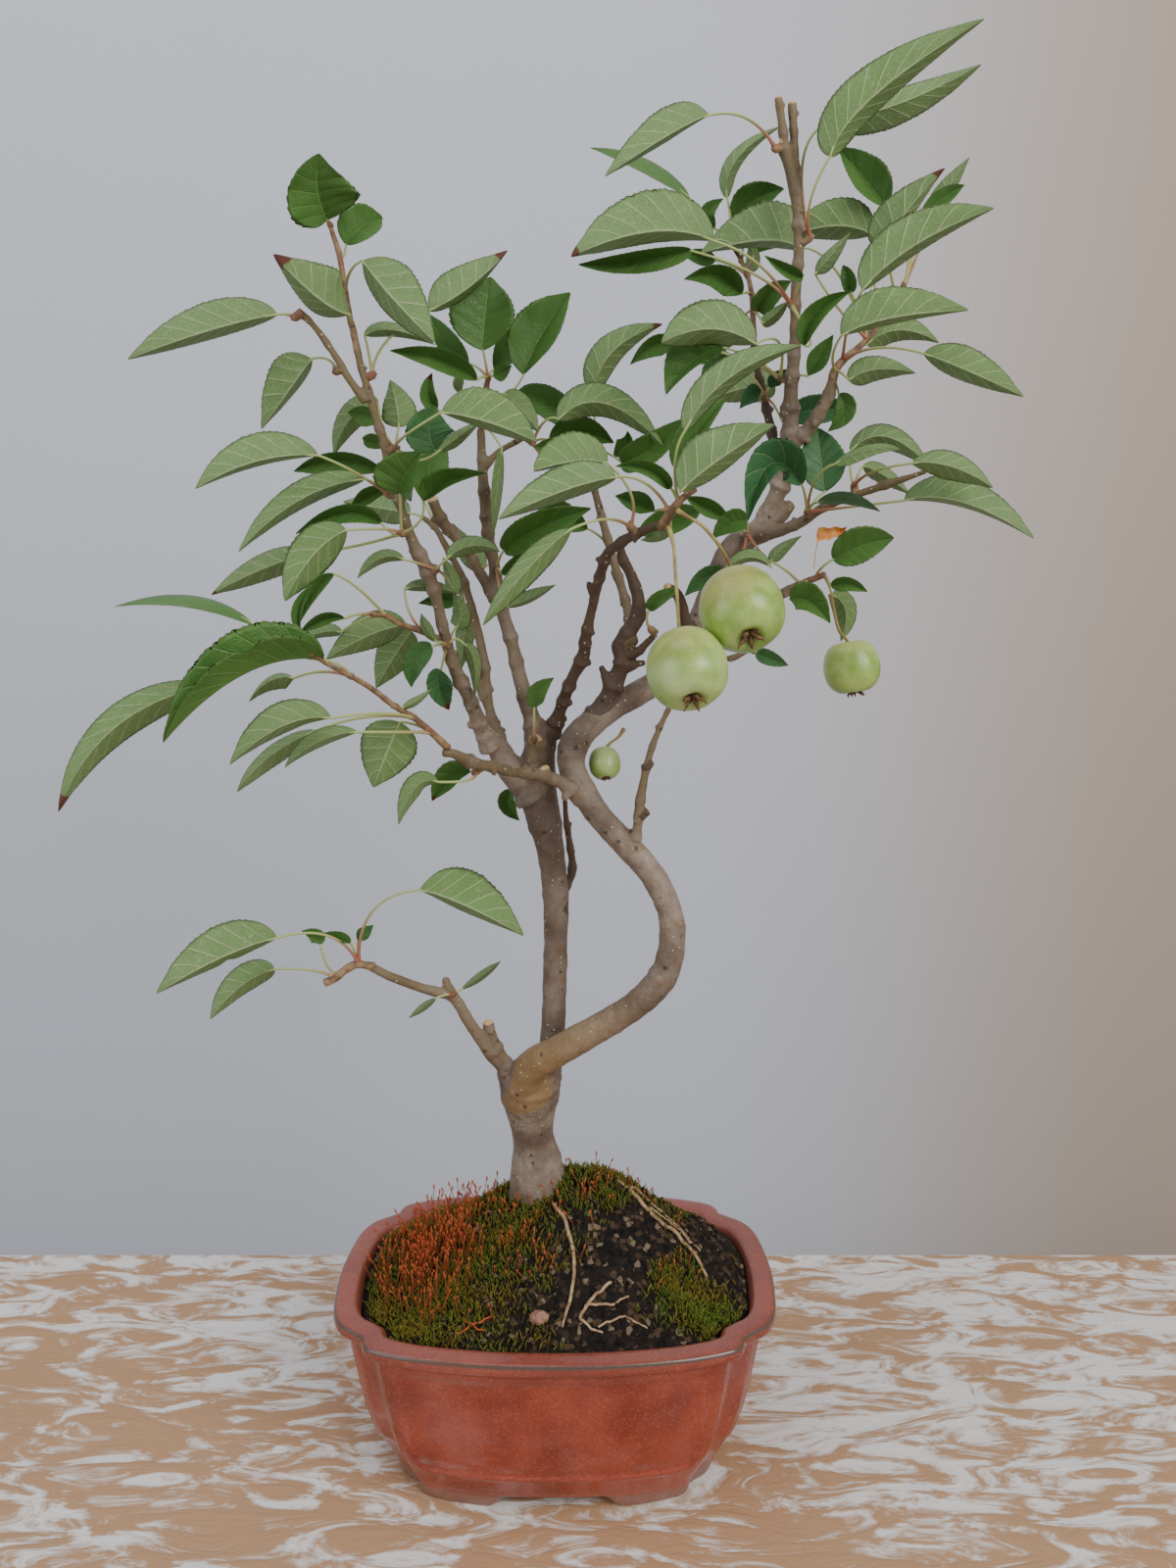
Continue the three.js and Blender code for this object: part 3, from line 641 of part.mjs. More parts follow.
function makePot() {
  const outer = BODY.map(([z, s]) => ring(HX * s, HY * s, z));
  outer.push(ring(HX * 0.975, HY * 0.97, POT_HEIGHT - RIM_BAND));
  outer.push(ring(HX, HY, POT_HEIGHT - RIM_BAND + 1.5));
  outer.push(ring(HX, HY, POT_HEIGHT - 1.6));
  outer.push(ring(HX - 1.6, HY - 1.6, POT_HEIGHT));
  let pot = toSolid(loft(outer));
  const hollow = [FLOOR_TOP, 20, 30, 58].map((z) => ring(...inside(z), z));
  hollow.push(ring(HX - 12.5, HY - 12.5, 79));
  hollow.push(ring(HX - 11.5, HY - 11.5, POT_HEIGHT - 1.5));
  hollow.push(ring(HX - 10.5, HY - 10.5, POT_HEIGHT + 0.5));
  pot = pot.subtract(toSolid(loft(hollow)));
  // foot ring, cut into four bracket feet
  let feet = toSolid(loft([
    ring(HX * 0.728, HY * 0.735, 0), ring(HX * 0.735, HY * 0.742, 1.5),
    ring(HX * 0.757, HY * 0.76, FOOT_TOP),
  ]));
  feet = feet.subtract(toSolid(loft([
    ring(HX * 0.728 - 13, HY * 0.735 - 13, -1), ring(HX * 0.757 - 13, HY * 0.76 - 13, FOOT_HEIGHT + 0.6),
  ])));
  for (const [open, turn] of [[ARCH_FRONT, 0], [ARCH_SIDE, Math.PI / 2]]) {
    const arch = new THREE.Shape();
    arch.moveTo(-open / 2, -1);
    arch.lineTo(open / 2, -1);
    arch.lineTo(open / 2, 1.5);
    arch.quadraticCurveTo(open / 2 - 3, FOOT_HEIGHT, open / 2 - 9, FOOT_HEIGHT + 0.3);
    arch.lineTo(-open / 2 + 9, FOOT_HEIGHT + 0.3);
    arch.quadraticCurveTo(-open / 2 + 3, FOOT_HEIGHT, -open / 2, 1.5);
    arch.closePath();
    const cut = new THREE.ExtrudeGeometry(arch, { depth: 260, bevelEnabled: false, curveSegments: 3 });
    cut.translate(0, 0, -130);
    cut.rotateX(Math.PI / 2);
    cut.rotateZ(turn);
    feet = feet.subtract(toSolid(cut));
  }
  pot = pot.add(feet);
  for (const x of [-DRAIN_HOLE_X, DRAIN_HOLE_X]) {
    const hole = new THREE.CylinderGeometry(DRAIN_HOLE_D / 2, DRAIN_HOLE_D / 2, 30, 20);
    hole.rotateX(Math.PI / 2);
    hole.translate(x, 0, 10);
    pot = pot.subtract(toSolid(hole));
  }
  return pot;
}

// Square plastic screen over a drain hole, with square openings.
function makeScreen(x) {
  const box = (w, d, h) => toSolid(new THREE.BoxGeometry(w, d, h));
  let plate = box(SCREEN_SIZE, SCREEN_SIZE, SCREEN_THICKNESS);
  for (let i = -1; i <= 1; i++) {
    for (let j = -1; j <= 1; j++) {
      plate = plate.subtract(box(SCREEN_SLOT, SCREEN_SLOT, 4).translate(i * 7, j * 7, 0));
    }
  }
  return plate.translate(x, 0, FLOOR_TOP + GAP + SCREEN_THICKNESS / 2);
}

// ---- soil and moss ------------------------------------------------------------
// Height of the soil at a plan point: a mound that leans to the back right.
function soilHeight(x, y) {
  const dx = x - MOUND_X;
  const dy = y - MOUND_Y;
  const rx = dx < 0 ? 118 : 88;
  const ry = dy < 0 ? 88 : 54;
  const d = Math.sqrt((dx / rx) ** 2 + (dy / ry) ** 2);
  const bump = Math.max(0, 1 - d);
  const dome = bump * bump * (3 - 2 * bump);
  const ripple = 0.9 * Math.sin(x * 0.11 + 1.3) * Math.cos(y * 0.13 + 0.4);
  return SOIL_EDGE + (MOUND_PEAK - SOIL_EDGE) * (0.62 * dome + 0.38 * bump) + ripple;
}

function makeSoil() {
  const rings = [];
  for (const z of [SOIL_BOTTOM, 30, 58]) {
    const [a, b] = inside(z);
    rings.push(ring(a - GAP, b - GAP, z));
  }
  // the surface: rings that shrink from the wall to the top of the mound
  const a = HX - 12.5 - GAP;
  const b = HY - 12.5 - GAP;
  for (const f of [1, 0.8, 0.6, 0.42, 0.25, 0.1]) {
    rings.push(OUTLINE.map(([ux, uy]) => {
      const x = MOUND_X * (1 - f) + ux * a * f;
      const y = MOUND_Y * (1 - f) + uy * b * f;
      return new THREE.Vector3(x, y, f === 1 ? SOIL_EDGE - 2 : soilHeight(x, y));
    }));
  }
  rings.push([new THREE.Vector3(MOUND_X, MOUND_Y, soilHeight(MOUND_X, MOUND_Y))]);
  return toSolid(loft(rings));
}

// A mat of moss over part of the soil: plan angles a0..a1 in degrees about the
// top of the mound, and shares f0..f1 of the way out to the wall.
function makeMoss(a0, a1, f0, f1, steps, rows) {
  const top = [];
  const bottom = [];
  for (let r = 0; r <= rows; r++) {
    const t = [];
    const u = [];
    for (let s = 0; s <= steps; s++) {
      const a = THREE.MathUtils.degToRad(a0 + ((a1 - a0) * s) / steps);
      const f = f0 + ((f1 - f0) * r) / rows;
      // distance to the wall along this direction, from the middle of the pot
      const cx = Math.cos(a);
      const cy = Math.sin(a);
      const reach = 1 / Math.sqrt((cx / (HX - 17)) ** 2 + (cy / (HY - 17)) ** 2);
      const x = MOUND_X * (1 - f) + cx * reach * f;
      const y = MOUND_Y * (1 - f) + cy * reach * f;
      const rim = r === 0 || r === rows || s === 0 || s === steps ? 0.45 : 1;
      t.push(new THREE.Vector3(x, y, soilTop(x, y) + GAP + 0.15 + MOSS_THICKNESS * rim));
      u.push(new THREE.Vector3(x, y, soilTop(x, y) - 2.5));
    }
    top.push(t);
    bottom.push(u);
  }
  const v = [];
  const idx = [];
  const id = (k, r, s) => (k * (rows + 1) + r) * (steps + 1) + s;
  for (const sheet of [top, bottom]) for (const row of sheet) for (const p of row) v.push(p.x, p.y, p.z);
  const quad = (p, q, r, s) => idx.push(p, q, r, p, r, s);
  for (let r = 0; r < rows; r++) {
    for (let s = 0; s < steps; s++) {
      quad(id(0, r, s), id(0, r + 1, s), id(0, r + 1, s + 1), id(0, r, s + 1));
      quad(id(1, r, s), id(1, r, s + 1), id(1, r + 1, s + 1), id(1, r + 1, s));
    }
  }
  for (let s = 0; s < steps; s++) {
    quad(id(0, 0, s), id(0, 0, s + 1), id(1, 0, s + 1), id(1, 0, s));
    quad(id(0, rows, s + 1), id(0, rows, s), id(1, rows, s), id(1, rows, s + 1));
  }
  for (let r = 0; r < rows; r++) {
    quad(id(0, r + 1, 0), id(0, r, 0), id(1, r, 0), id(1, r + 1, 0));
    quad(id(0, r, steps), id(0, r + 1, steps), id(1, r + 1, steps), id(1, r, steps));
  }
  const g = new THREE.BufferGeometry();
  g.setAttribute('position', new THREE.Float32BufferAttribute(v, 3));
  g.setIndex(idx);
  return toSolid(g);
}

// ---- wood ---------------------------------------------------------------------
// Buried roots, from the base of the trunk: [x, y, z, radius].
const ROOTS = [
  [[-8, 17, 112, 7], [-28, 8, 92, 5], [-52, 2, 70, 3.6], [-66, -4, 46, 2]],
  [[-5, 16, 112, 7], [10, -2, 90, 5], [32, -16, 66, 3.4], [50, -22, 42, 2]],
  [[-6, 20, 112, 7], [12, 30, 92, 5], [36, 34, 70, 3.4], [58, 30, 50, 2]],
  [[-9, 16, 110, 7], [-14, -4, 86, 5], [-22, -22, 60, 3.2], [-30, -26, 36, 2]],
];

// grow > 0 gives the same wood fattened all over, for clearing room round it.
function woodTubes(grow) {
  const out = [];
  for (const [name, points] of Object.entries(BRANCHES)) {
    const r = Math.max(...points.map((p) => p[3]));
    const trunk = name === 'trunk_base' || name === 'straight' || name === 'curved';
    const sides = trunk ? 8 : r > 4 ? 6 : TWIG_SIDES;
    out.push(taper(thin(points, 0.7), sides, 1, grow));
  }
  const base = BRANCHES.trunk_base[0];
  out.push(taper([
    [base[0], base[1] - 1, 98, 13], [base[0], base[1], base[2] - 3, 15], BRANCHES.trunk_base[1], BRANCHES.trunk_base[2],
  ], 10, 1, grow));
  for (const root of ROOTS) out.push(taper(root, TWIG_SIDES, 1, grow));
  return out.map(toSolid);
}

// ---- leaves -------------------------------------------------------------------
const bezier = (a, m, b, t) => {
  const c = m.clone().multiplyScalar(2).addScaledVector(a, -0.5).addScaledVector(b, -0.5);
  return a.clone().multiplyScalar((1 - t) ** 2).addScaledVector(c, 2 * t * (1 - t)).addScaledVector(b, t * t);
};
const bezierDir = (a, m, b, t) => {
  const c = m.clone().multiplyScalar(2).addScaledVector(a, -0.5).addScaledVector(b, -0.5);
  return c.clone().sub(a).multiplyScalar(1 - t).addScaledVector(b.clone().sub(c), t).normalize();
};
// Half width of an ovate blade as a share of its widest, at t along the midrib.
const ovate = (t, broad) => Math.max(Math.sin(Math.PI * t ** (broad ? 0.95 : 0.78)), 0) ** (broad ? 0.6 : 0.74);

// One leaf as a closed loft: stalk, then a blade folded along its midrib by the
// angles foldL and foldR, with normal n facing its flat side.
function leaf(row) {
  const p = [0, 1, 2, 3, 4].map((i) => new THREE.Vector3(row[3 * i], row[3 * i + 1], row[3 * i + 2]));
  const [p0, pm, b, m, tip] = p;
  const width = row[15];
  const foldL = THREE.MathUtils.degToRad(row[16]);
  const foldR = THREE.MathUtils.degToRad(row[17]);
  const n0 = new THREE.Vector3(row[18], row[19], row[20]);
  const broad = (row[21] & 1) === 1;
  const rings = [];
  const across = n0.clone().cross(bezierDir(b, m, tip, 0)).normalize();
  const section = (c, dir, wL, wR, half, stalk = false) => {
    const s = (stalk
      ? across.clone().addScaledVector(dir, -across.dot(dir))
      : n0.clone().cross(dir)).normalize();
    const n = dir.clone().cross(s).normalize();
    const eL = s.clone().multiplyScalar(Math.cos(foldL)).addScaledVector(n, -Math.sin(foldL));
    const eR = s.clone().multiplyScalar(-Math.cos(foldR)).addScaledVector(n, -Math.sin(foldR));
    const nL = dir.clone().cross(eL);
    const nR = eR.clone().cross(dir);
    const up = nL.add(nR).normalize();
    rings.push([
      c.clone().addScaledVector(eL, wL), c.clone().addScaledVector(up, half),
      c.clone().addScaledVector(eR, wR), c.clone().addScaledVector(up, -half),
    ]);
  };
  const bow = p0.clone().add(b).multiplyScalar(0.5).distanceTo(pm);
  for (const t of bow > 1.2 ? [0, 0.5] : [0]) {
    const d = bezierDir(p0, pm, b, t);
    section(bezier(p0, pm, b, t), d, PETIOLE_R, PETIOLE_R, PETIOLE_R, true);
  }
  section(b, bezierDir(b, m, tip, 0), PETIOLE_R, PETIOLE_R, PETIOLE_R * 0.9);
  for (const t of [0.14, 0.42, 0.76]) {
    const w = Math.max(width * ovate(t, broad), 1);
    section(bezier(b, m, tip, t), bezierDir(b, m, tip, t), w, w, BLADE_HALF);
  }
  rings.push([tip]);
  return loft(rings);
}

function makeSpray(spray) {
  const solids = [];
  if (spray.stem) solids.push(toSolid(taper(thin(spray.stem, 0.4), TWIG_SIDES)));
  if (spray.bud) {
    const [x, y, z, r] = spray.bud;
    const bud = new THREE.SphereGeometry(r, BUD_SIDES, 4);
    bud.translate(x, y, z);
    solids.push(toSolid(bud));
  }
  for (const row of spray.leaves) solids.push(toSolid(leaf(row)));
  return union(solids);
}

// ---- fruit --------------------------------------------------------------------
// Profile of an apple about its core, as shares of half width and half height,
// from the hollow at the stalk down to the hollow at the dried calyx.
const APPLE_PROFILE = [
  [0, 0.76], [0.1, 0.79], [0.24, 0.93], [0.45, 1], [0.7, 0.88], [0.9, 0.56], [1, 0.12],
  [0.98, -0.3], [0.84, -0.68], [0.6, -0.93], [0.36, -1], [0.2, -0.93], [0.08, -0.84], [0, -0.82],
];
// centre, half width, half height, direction of the calyx, stalk points
const APPLES = {
  upper: { at: [75.6, -55, 406.6], r: [16.3, 15.2], calyx: [0.14, -0.74, -0.66], stalk: [[50.3, -57.4, 443.9], [54.2, -58.4, 441.6], [59.4, -58.6, 438.4], [66.2, -54, 431.4], [71.6, -47.5, 423.6], [73.9, -46, 418.6]] },
  lower: { at: [53.6, -66, 384.2], r: [15.5, 14.3], calyx: [0.13, -0.64, -0.76], stalk: [[47, -53.6, 437.5], [48.6, -55.5, 430.5], [49.3, -56.5, 421], [50.3, -56.3, 409], [51.3, -55.6, 397.4], [52.1, -58.5, 393.1]] },
  right: { at: [129.6, -10, 380.2], r: [11.9, 10.9], calyx: [0.15, -0.16, -0.97], stalk: [[119.7, -9.6, 410.4], [121, -11.5, 403.4], [123.4, -11, 396], [127.4, -9.4, 391.6], [128.2, -8.8, 389.2]] },
  small: { at: [23, 10, 334.6], r: [7.4, 7], calyx: [0.1, -0.45, -0.89], stalk: [[31.6, 14.2, 349.2], [29.4, 13.4, 346.4], [25.4, 13, 343.4], [22.6, 12.9, 340.6]] },
};

function makeApple({ at, r, calyx }) {
  const g = new THREE.LatheGeometry(APPLE_PROFILE.map(([x, y]) => new THREE.Vector2(Math.max(x, 0) * r[0], y * r[1])).reverse(), 12);
  const axis = new THREE.Vector3(...calyx).normalize().negate();
  g.applyQuaternion(new THREE.Quaternion().setFromUnitVectors(new THREE.Vector3(0, 1, 0), axis));
  g.translate(...at);
  return toSolid(g);
}

// ---- loose things on the soil ---------------------------------------------------
// Dry roots that lie on the surface, as plan points and radius.
const DRY_ROOTS = {
  dry_root_long: [[-1, 0, 1], [6, -12, 1], [9, -25, 0.9], [7, -38, 0.8], [4, -49, 0.6]],
  dry_root_right: [[36, 13, 1.1], [48, 6, 1], [62, -1, 0.9], [72, -12, 0.8]],
  dry_root_front: [[26, -32, 0.9], [17, -38, 1], [12, -46, 0.9], [22, -51, 0.7]],
};

// ---- assembly --------------------------------------------------------------------
const tree = new THREE.Group();
function place(name, solid, material) {
  const mesh = new THREE.Mesh(toGeometry(solid), material);
  mesh.name = name;
  tree.add(mesh);
}

place('pot', makePot().simplify(0.03), GLAZE);
place('drain_screen_left', makeScreen(-DRAIN_HOLE_X), MESH);
place('drain_screen_right', makeScreen(DRAIN_HOLE_X), MESH);

const wood = union(woodTubes(0)).simplify(0.2);
const woodRoom = union(woodTubes(GAP));
const soil = biggest(makeSoil().subtract(woodRoom));

// Height of the faceted soil itself, so that what lies on it clears its facets.
const soilMesh = new THREE.Mesh(toGeometry(makeSoil()), new THREE.MeshBasicMaterial({ side: THREE.DoubleSide }));
soilMesh.geometry.computeBoundingSphere();
const ray = new THREE.Raycaster();
function soilTop(x, y) {
  ray.set(new THREE.Vector3(x, y, 300), new THREE.Vector3(0, 0, -1));
  const hit = ray.intersectObject(soilMesh);
  return hit.length ? hit[0].point.z : SOIL_EDGE;
}

place('soil', soil.simplify(0.05), SOIL);
const mossRoom = (solid) => biggest(solid.subtract(woodRoom));
const soilRoom = makeSoil().translate(0, 0, GAP + 0.1);
const rootRoom = union(Object.values(DRY_ROOTS).map((path) =>
  toSolid(taper(path.map(([x, y, r]) => [x, y, soilTop(x, y) + r + GAP + 0.5, r]), 5, 1, GAP + 0.3))));
const mossOn = (solid) => biggest(solid.subtract(woodRoom).subtract(soilRoom).subtract(rootRoom)).simplify(0.05);
place('moss_left', mossOn(makeMoss(100, 246, 0.14, 0.985, 10, 3)), MOSS);
place('moss_right', mossOn(makeMoss(-62, -33, 0.6, 0.985, 4, 2)), MOSS);
place('tree_wood', wood, BARK);

for (const [name, path] of Object.entries(DRY_ROOTS)) {
  const points = path.map(([x, y, r]) => [x, y, soilTop(x, y) + r + GAP + 0.5, r]);
  place(name, toSolid(taper(points, 5)), ROOT);
}
{
  const pebble = new THREE.IcosahedronGeometry(3.4, 1);
  pebble.scale(1.1, 0.9, 0.75);
  pebble.translate(-6.5, -46, soilTop(-6.5, -46) + 3.9);
  place('pebble', toSolid(pebble), STONE);
}

// Sprays that lean against wood, or against another spray, are cut clear of it.
const ON_WOOD = ['left_low_b', 'right_back_low', 'upright_mid', 'right_mid', 'right_spur'];
const ON_SPRAY = { right_back_low: 'right_mid', upright_side: 'centre_back' };
const sprays = new Map();
// The midribs of these two sprays at the back run straight.
for (const name of ['centre_back_low', 'left_back_end']) {
  for (const row of SPRAYS[name].leaves) {
    for (let k = 0; k < 3; k++) row[9 + k] = (row[6 + k] + row[12 + k]) / 2;
  }
}
for (const [name, spray] of Object.entries(SPRAYS)) sprays.set(name, makeSpray(spray));
for (const name of ON_WOOD) sprays.set(name, biggest(sprays.get(name).subtract(woodRoom)));
for (const [name, other] of Object.entries(ON_SPRAY)) {
  let solid = sprays.get(name);
  for (const d of [-GAP, 0, GAP]) solid = solid.subtract(sprays.get(other).translate(0, d, d));
  sprays.set(name, biggest(solid));
}
for (const [name, solid] of sprays) place('leaves_' + name, biggest(solid.simplify(0.14)), LEAF);
for (const [name, fruit] of Object.entries(APPLES)) {
  place('apple_' + name, makeApple(fruit), FRUIT);
  place('apple_stalk_' + name, toSolid(taper(fruit.stalk.map((p, i) => [...p, i === 0 ? 1 : i === fruit.stalk.length - 1 ? 0.95 : 0.7]), TWIG_SIDES)), STALK);
}

// Move everything so that the origin is the middle of the underside.
const box = new THREE.Box3().setFromObject(tree);
const shift = new THREE.Vector3(
  -(box.min.x + box.max.x) / 2, -(box.min.y + box.max.y) / 2, -box.min.z);
tree.children.forEach((mesh) => mesh.geometry.translate(shift.x, shift.y, shift.z));

export default tree;
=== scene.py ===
"""Looks of the potted apple bonsai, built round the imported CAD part.

Metres, +Z up. The tables are in millimetres from the middle of the pot at
table level, and P() turns them into the part's own frame.
"""
import math
import bpy
import numpy as np
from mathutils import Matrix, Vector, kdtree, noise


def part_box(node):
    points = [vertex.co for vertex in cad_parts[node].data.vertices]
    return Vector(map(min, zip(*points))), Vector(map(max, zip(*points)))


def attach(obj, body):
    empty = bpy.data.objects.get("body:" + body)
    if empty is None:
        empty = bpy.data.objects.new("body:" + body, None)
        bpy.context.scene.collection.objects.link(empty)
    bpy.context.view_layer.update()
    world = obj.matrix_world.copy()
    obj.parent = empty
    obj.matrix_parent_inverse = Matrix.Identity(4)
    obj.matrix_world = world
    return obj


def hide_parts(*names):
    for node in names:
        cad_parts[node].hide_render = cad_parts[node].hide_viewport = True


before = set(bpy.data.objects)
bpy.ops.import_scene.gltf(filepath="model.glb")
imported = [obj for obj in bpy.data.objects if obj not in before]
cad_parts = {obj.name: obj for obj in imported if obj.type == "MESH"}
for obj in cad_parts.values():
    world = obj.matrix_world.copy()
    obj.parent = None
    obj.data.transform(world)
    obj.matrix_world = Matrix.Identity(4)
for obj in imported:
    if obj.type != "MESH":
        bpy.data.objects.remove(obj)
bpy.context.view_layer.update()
_lo, _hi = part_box("pot")
SX, SY = (_lo.x + _hi.x) / 2, (_lo.y + _hi.y) / 2
SHIFT = np.array([SX, SY, 0.0])


def P(v):
    return np.asarray(v, float) / 1000.0 + SHIFT


# ---------------------------------------------------------------- mesh helper
class Geo:
    """Vertices, quads and triangles with a colour-like and a vector attribute."""

    def __init__(self):
        self.v, self.q, self.t, self.qm, self.tm, self.a, self.b = [], [], [], [], [], [], []
        self.n = 0

    def add(self, v, q=None, t=None, m=0, a=(0, 0, 0, 0), b=(0, 0, 0)):
        v = np.asarray(v, float).reshape(-1, 3)
        k = len(v)
        self.v.append(v)
        self.a.append(np.broadcast_to(np.asarray(a, float), (k, 4)))
        self.b.append(np.broadcast_to(np.asarray(b, float), (k, 3)))
        if q is not None and len(q):
            self.q.append(np.asarray(q, int) + self.n)
            self.qm.append(np.full(len(q), m))
        if t is not None and len(t):
            self.t.append(np.asarray(t, int) + self.n)
            self.tm.append(np.full(len(t), m))
        self.n += k

    def make(self, name, mats, smooth=True, raw=False):
        V = np.concatenate(self.v)
        if not raw:
            V = P(V)
        Q = np.concatenate(self.q) if self.q else np.zeros((0, 4), int)
        T = np.concatenate(self.t) if self.t else np.zeros((0, 3), int)
        M = np.concatenate([*self.qm, *self.tm]) if (self.qm or self.tm) else []
        me = bpy.data.meshes.new(name)
        me.vertices.add(len(V))
        me.vertices.foreach_set("co", V.astype(np.float32).ravel())
        me.loops.add(len(Q) * 4 + len(T) * 3)
        me.loops.foreach_set("vertex_index", np.concatenate([Q.ravel(), T.ravel()]).astype(np.int32))
        me.polygons.add(len(Q) + len(T))
        st = np.concatenate([np.arange(len(Q)) * 4, len(Q) * 4 + np.arange(len(T)) * 3])
        me.polygons.foreach_set("loop_start", st.astype(np.int32))
        me.polygons.foreach_set("material_index", np.asarray(M, np.int32))
        me.polygons.foreach_set("use_smooth", np.full(len(st), smooth))
        me.update(calc_edges=True)
        me.validate()
        if len(me.vertices) == len(V):
            A = np.concatenate(self.a)
            B = np.concatenate(self.b)
            me.attributes.new("inf", "FLOAT_COLOR", "POINT").data.foreach_set("color", A.astype(np.float32).ravel())
            me.attributes.new("lc", "FLOAT_VECTOR", "POINT").data.foreach_set("vector", B.astype(np.float32).ravel())
        for mt in mats:
            me.materials.append(mt)
        ob = bpy.data.objects.new(name, me)
        bpy.context.scene.collection.objects.link(ob)
        return ob


def grid_quads(rows, cols, wrap=True):
    """Quads of a grid of rows rings with cols points each."""
    i = np.arange(rows - 1)[:, None] * cols
    j = np.arange(cols if wrap else cols - 1)[None, :]
    k = (j + 1) % cols
    return np.stack([i + j, i + k, i + cols + k, i + cols + j], -1).reshape(-1, 4)


def crom(pts, step):
    """Catmull-Rom through rows of numbers (x, y, z, r...), sampled about every step mm."""
    p = np.asarray(pts, float)
    if len(p) == 2:
        n = max(int(np.linalg.norm(p[1, :3] - p[0, :3]) / step), 2)
        t = np.linspace(0, 1, n + 1)[:, None]
        return p[0] * (1 - t) + p[1] * t
    ext = np.vstack([2 * p[0] - p[1], p, 2 * p[-1] - p[-2]])
    out = []
    for i in range(len(p) - 1):
        a, b, c, d = ext[i:i + 4]
        n = max(int(np.linalg.norm(c[:3] - b[:3]) / step), 1)
        t = (np.arange(n) / n)[:, None]
        out.append(0.5 * (2 * b + (c - a) * t + (2 * a - 5 * b + 4 * c - d) * t ** 2 + (3 * b - a - 3 * c + d) * t ** 3))
    out.append(p[-1:])
    return np.vstack(out)


def tube(path, sides, cap=True, squash=None):
    """Vertices and faces of a round tube along rows (x, y, z, r) in mm."""
    c = path[:, :3]
    r = path[:, 3]
    tan = np.gradient(c, axis=0)
    tan /= np.linalg.norm(tan, axis=1)[:, None] + 1e-12
    n = np.array([0, 1, 0]) if abs(tan[0, 1]) < 0.9 else np.array([1.0, 0, 0])
    ang = np.arange(sides) * 2 * np.pi / sides
    V = []
    for i in range(len(c)):
        n = n - tan[i] * (n @ tan[i])
        n = n / np.linalg.norm(n)
        s = np.cross(tan[i], n)
        V.append(c[i] + r[i] * (np.cos(ang)[:, None] * n + np.sin(ang)[:, None] * s))
    V = np.vstack(V)
    Q = grid_quads(len(c), sides)
    T = []
    if cap:
        k = len(V)
        V = np.vstack([V, c[0] - tan[0] * r[0] * 0.3, c[-1] + tan[-1] * r[-1] * 0.3])
        j = np.arange(sides)
        jn = (j + 1) % sides
        b = (len(c) - 1) * sides
        T = np.vstack([np.stack([jn, j, np.full(sides, k)], 1), np.stack([b + j, b + jn, np.full(sides, k + 1)], 1)])
    return V, Q, T


# ------------------------------------------------------------------ materials
def srgb(r, g, b):
    f = lambda c: (c / 255 / 12.92) if c <= 10 else ((c / 255 + 0.055) / 1.055) ** 2.4
    return (f(r), f(g), f(b), 1)


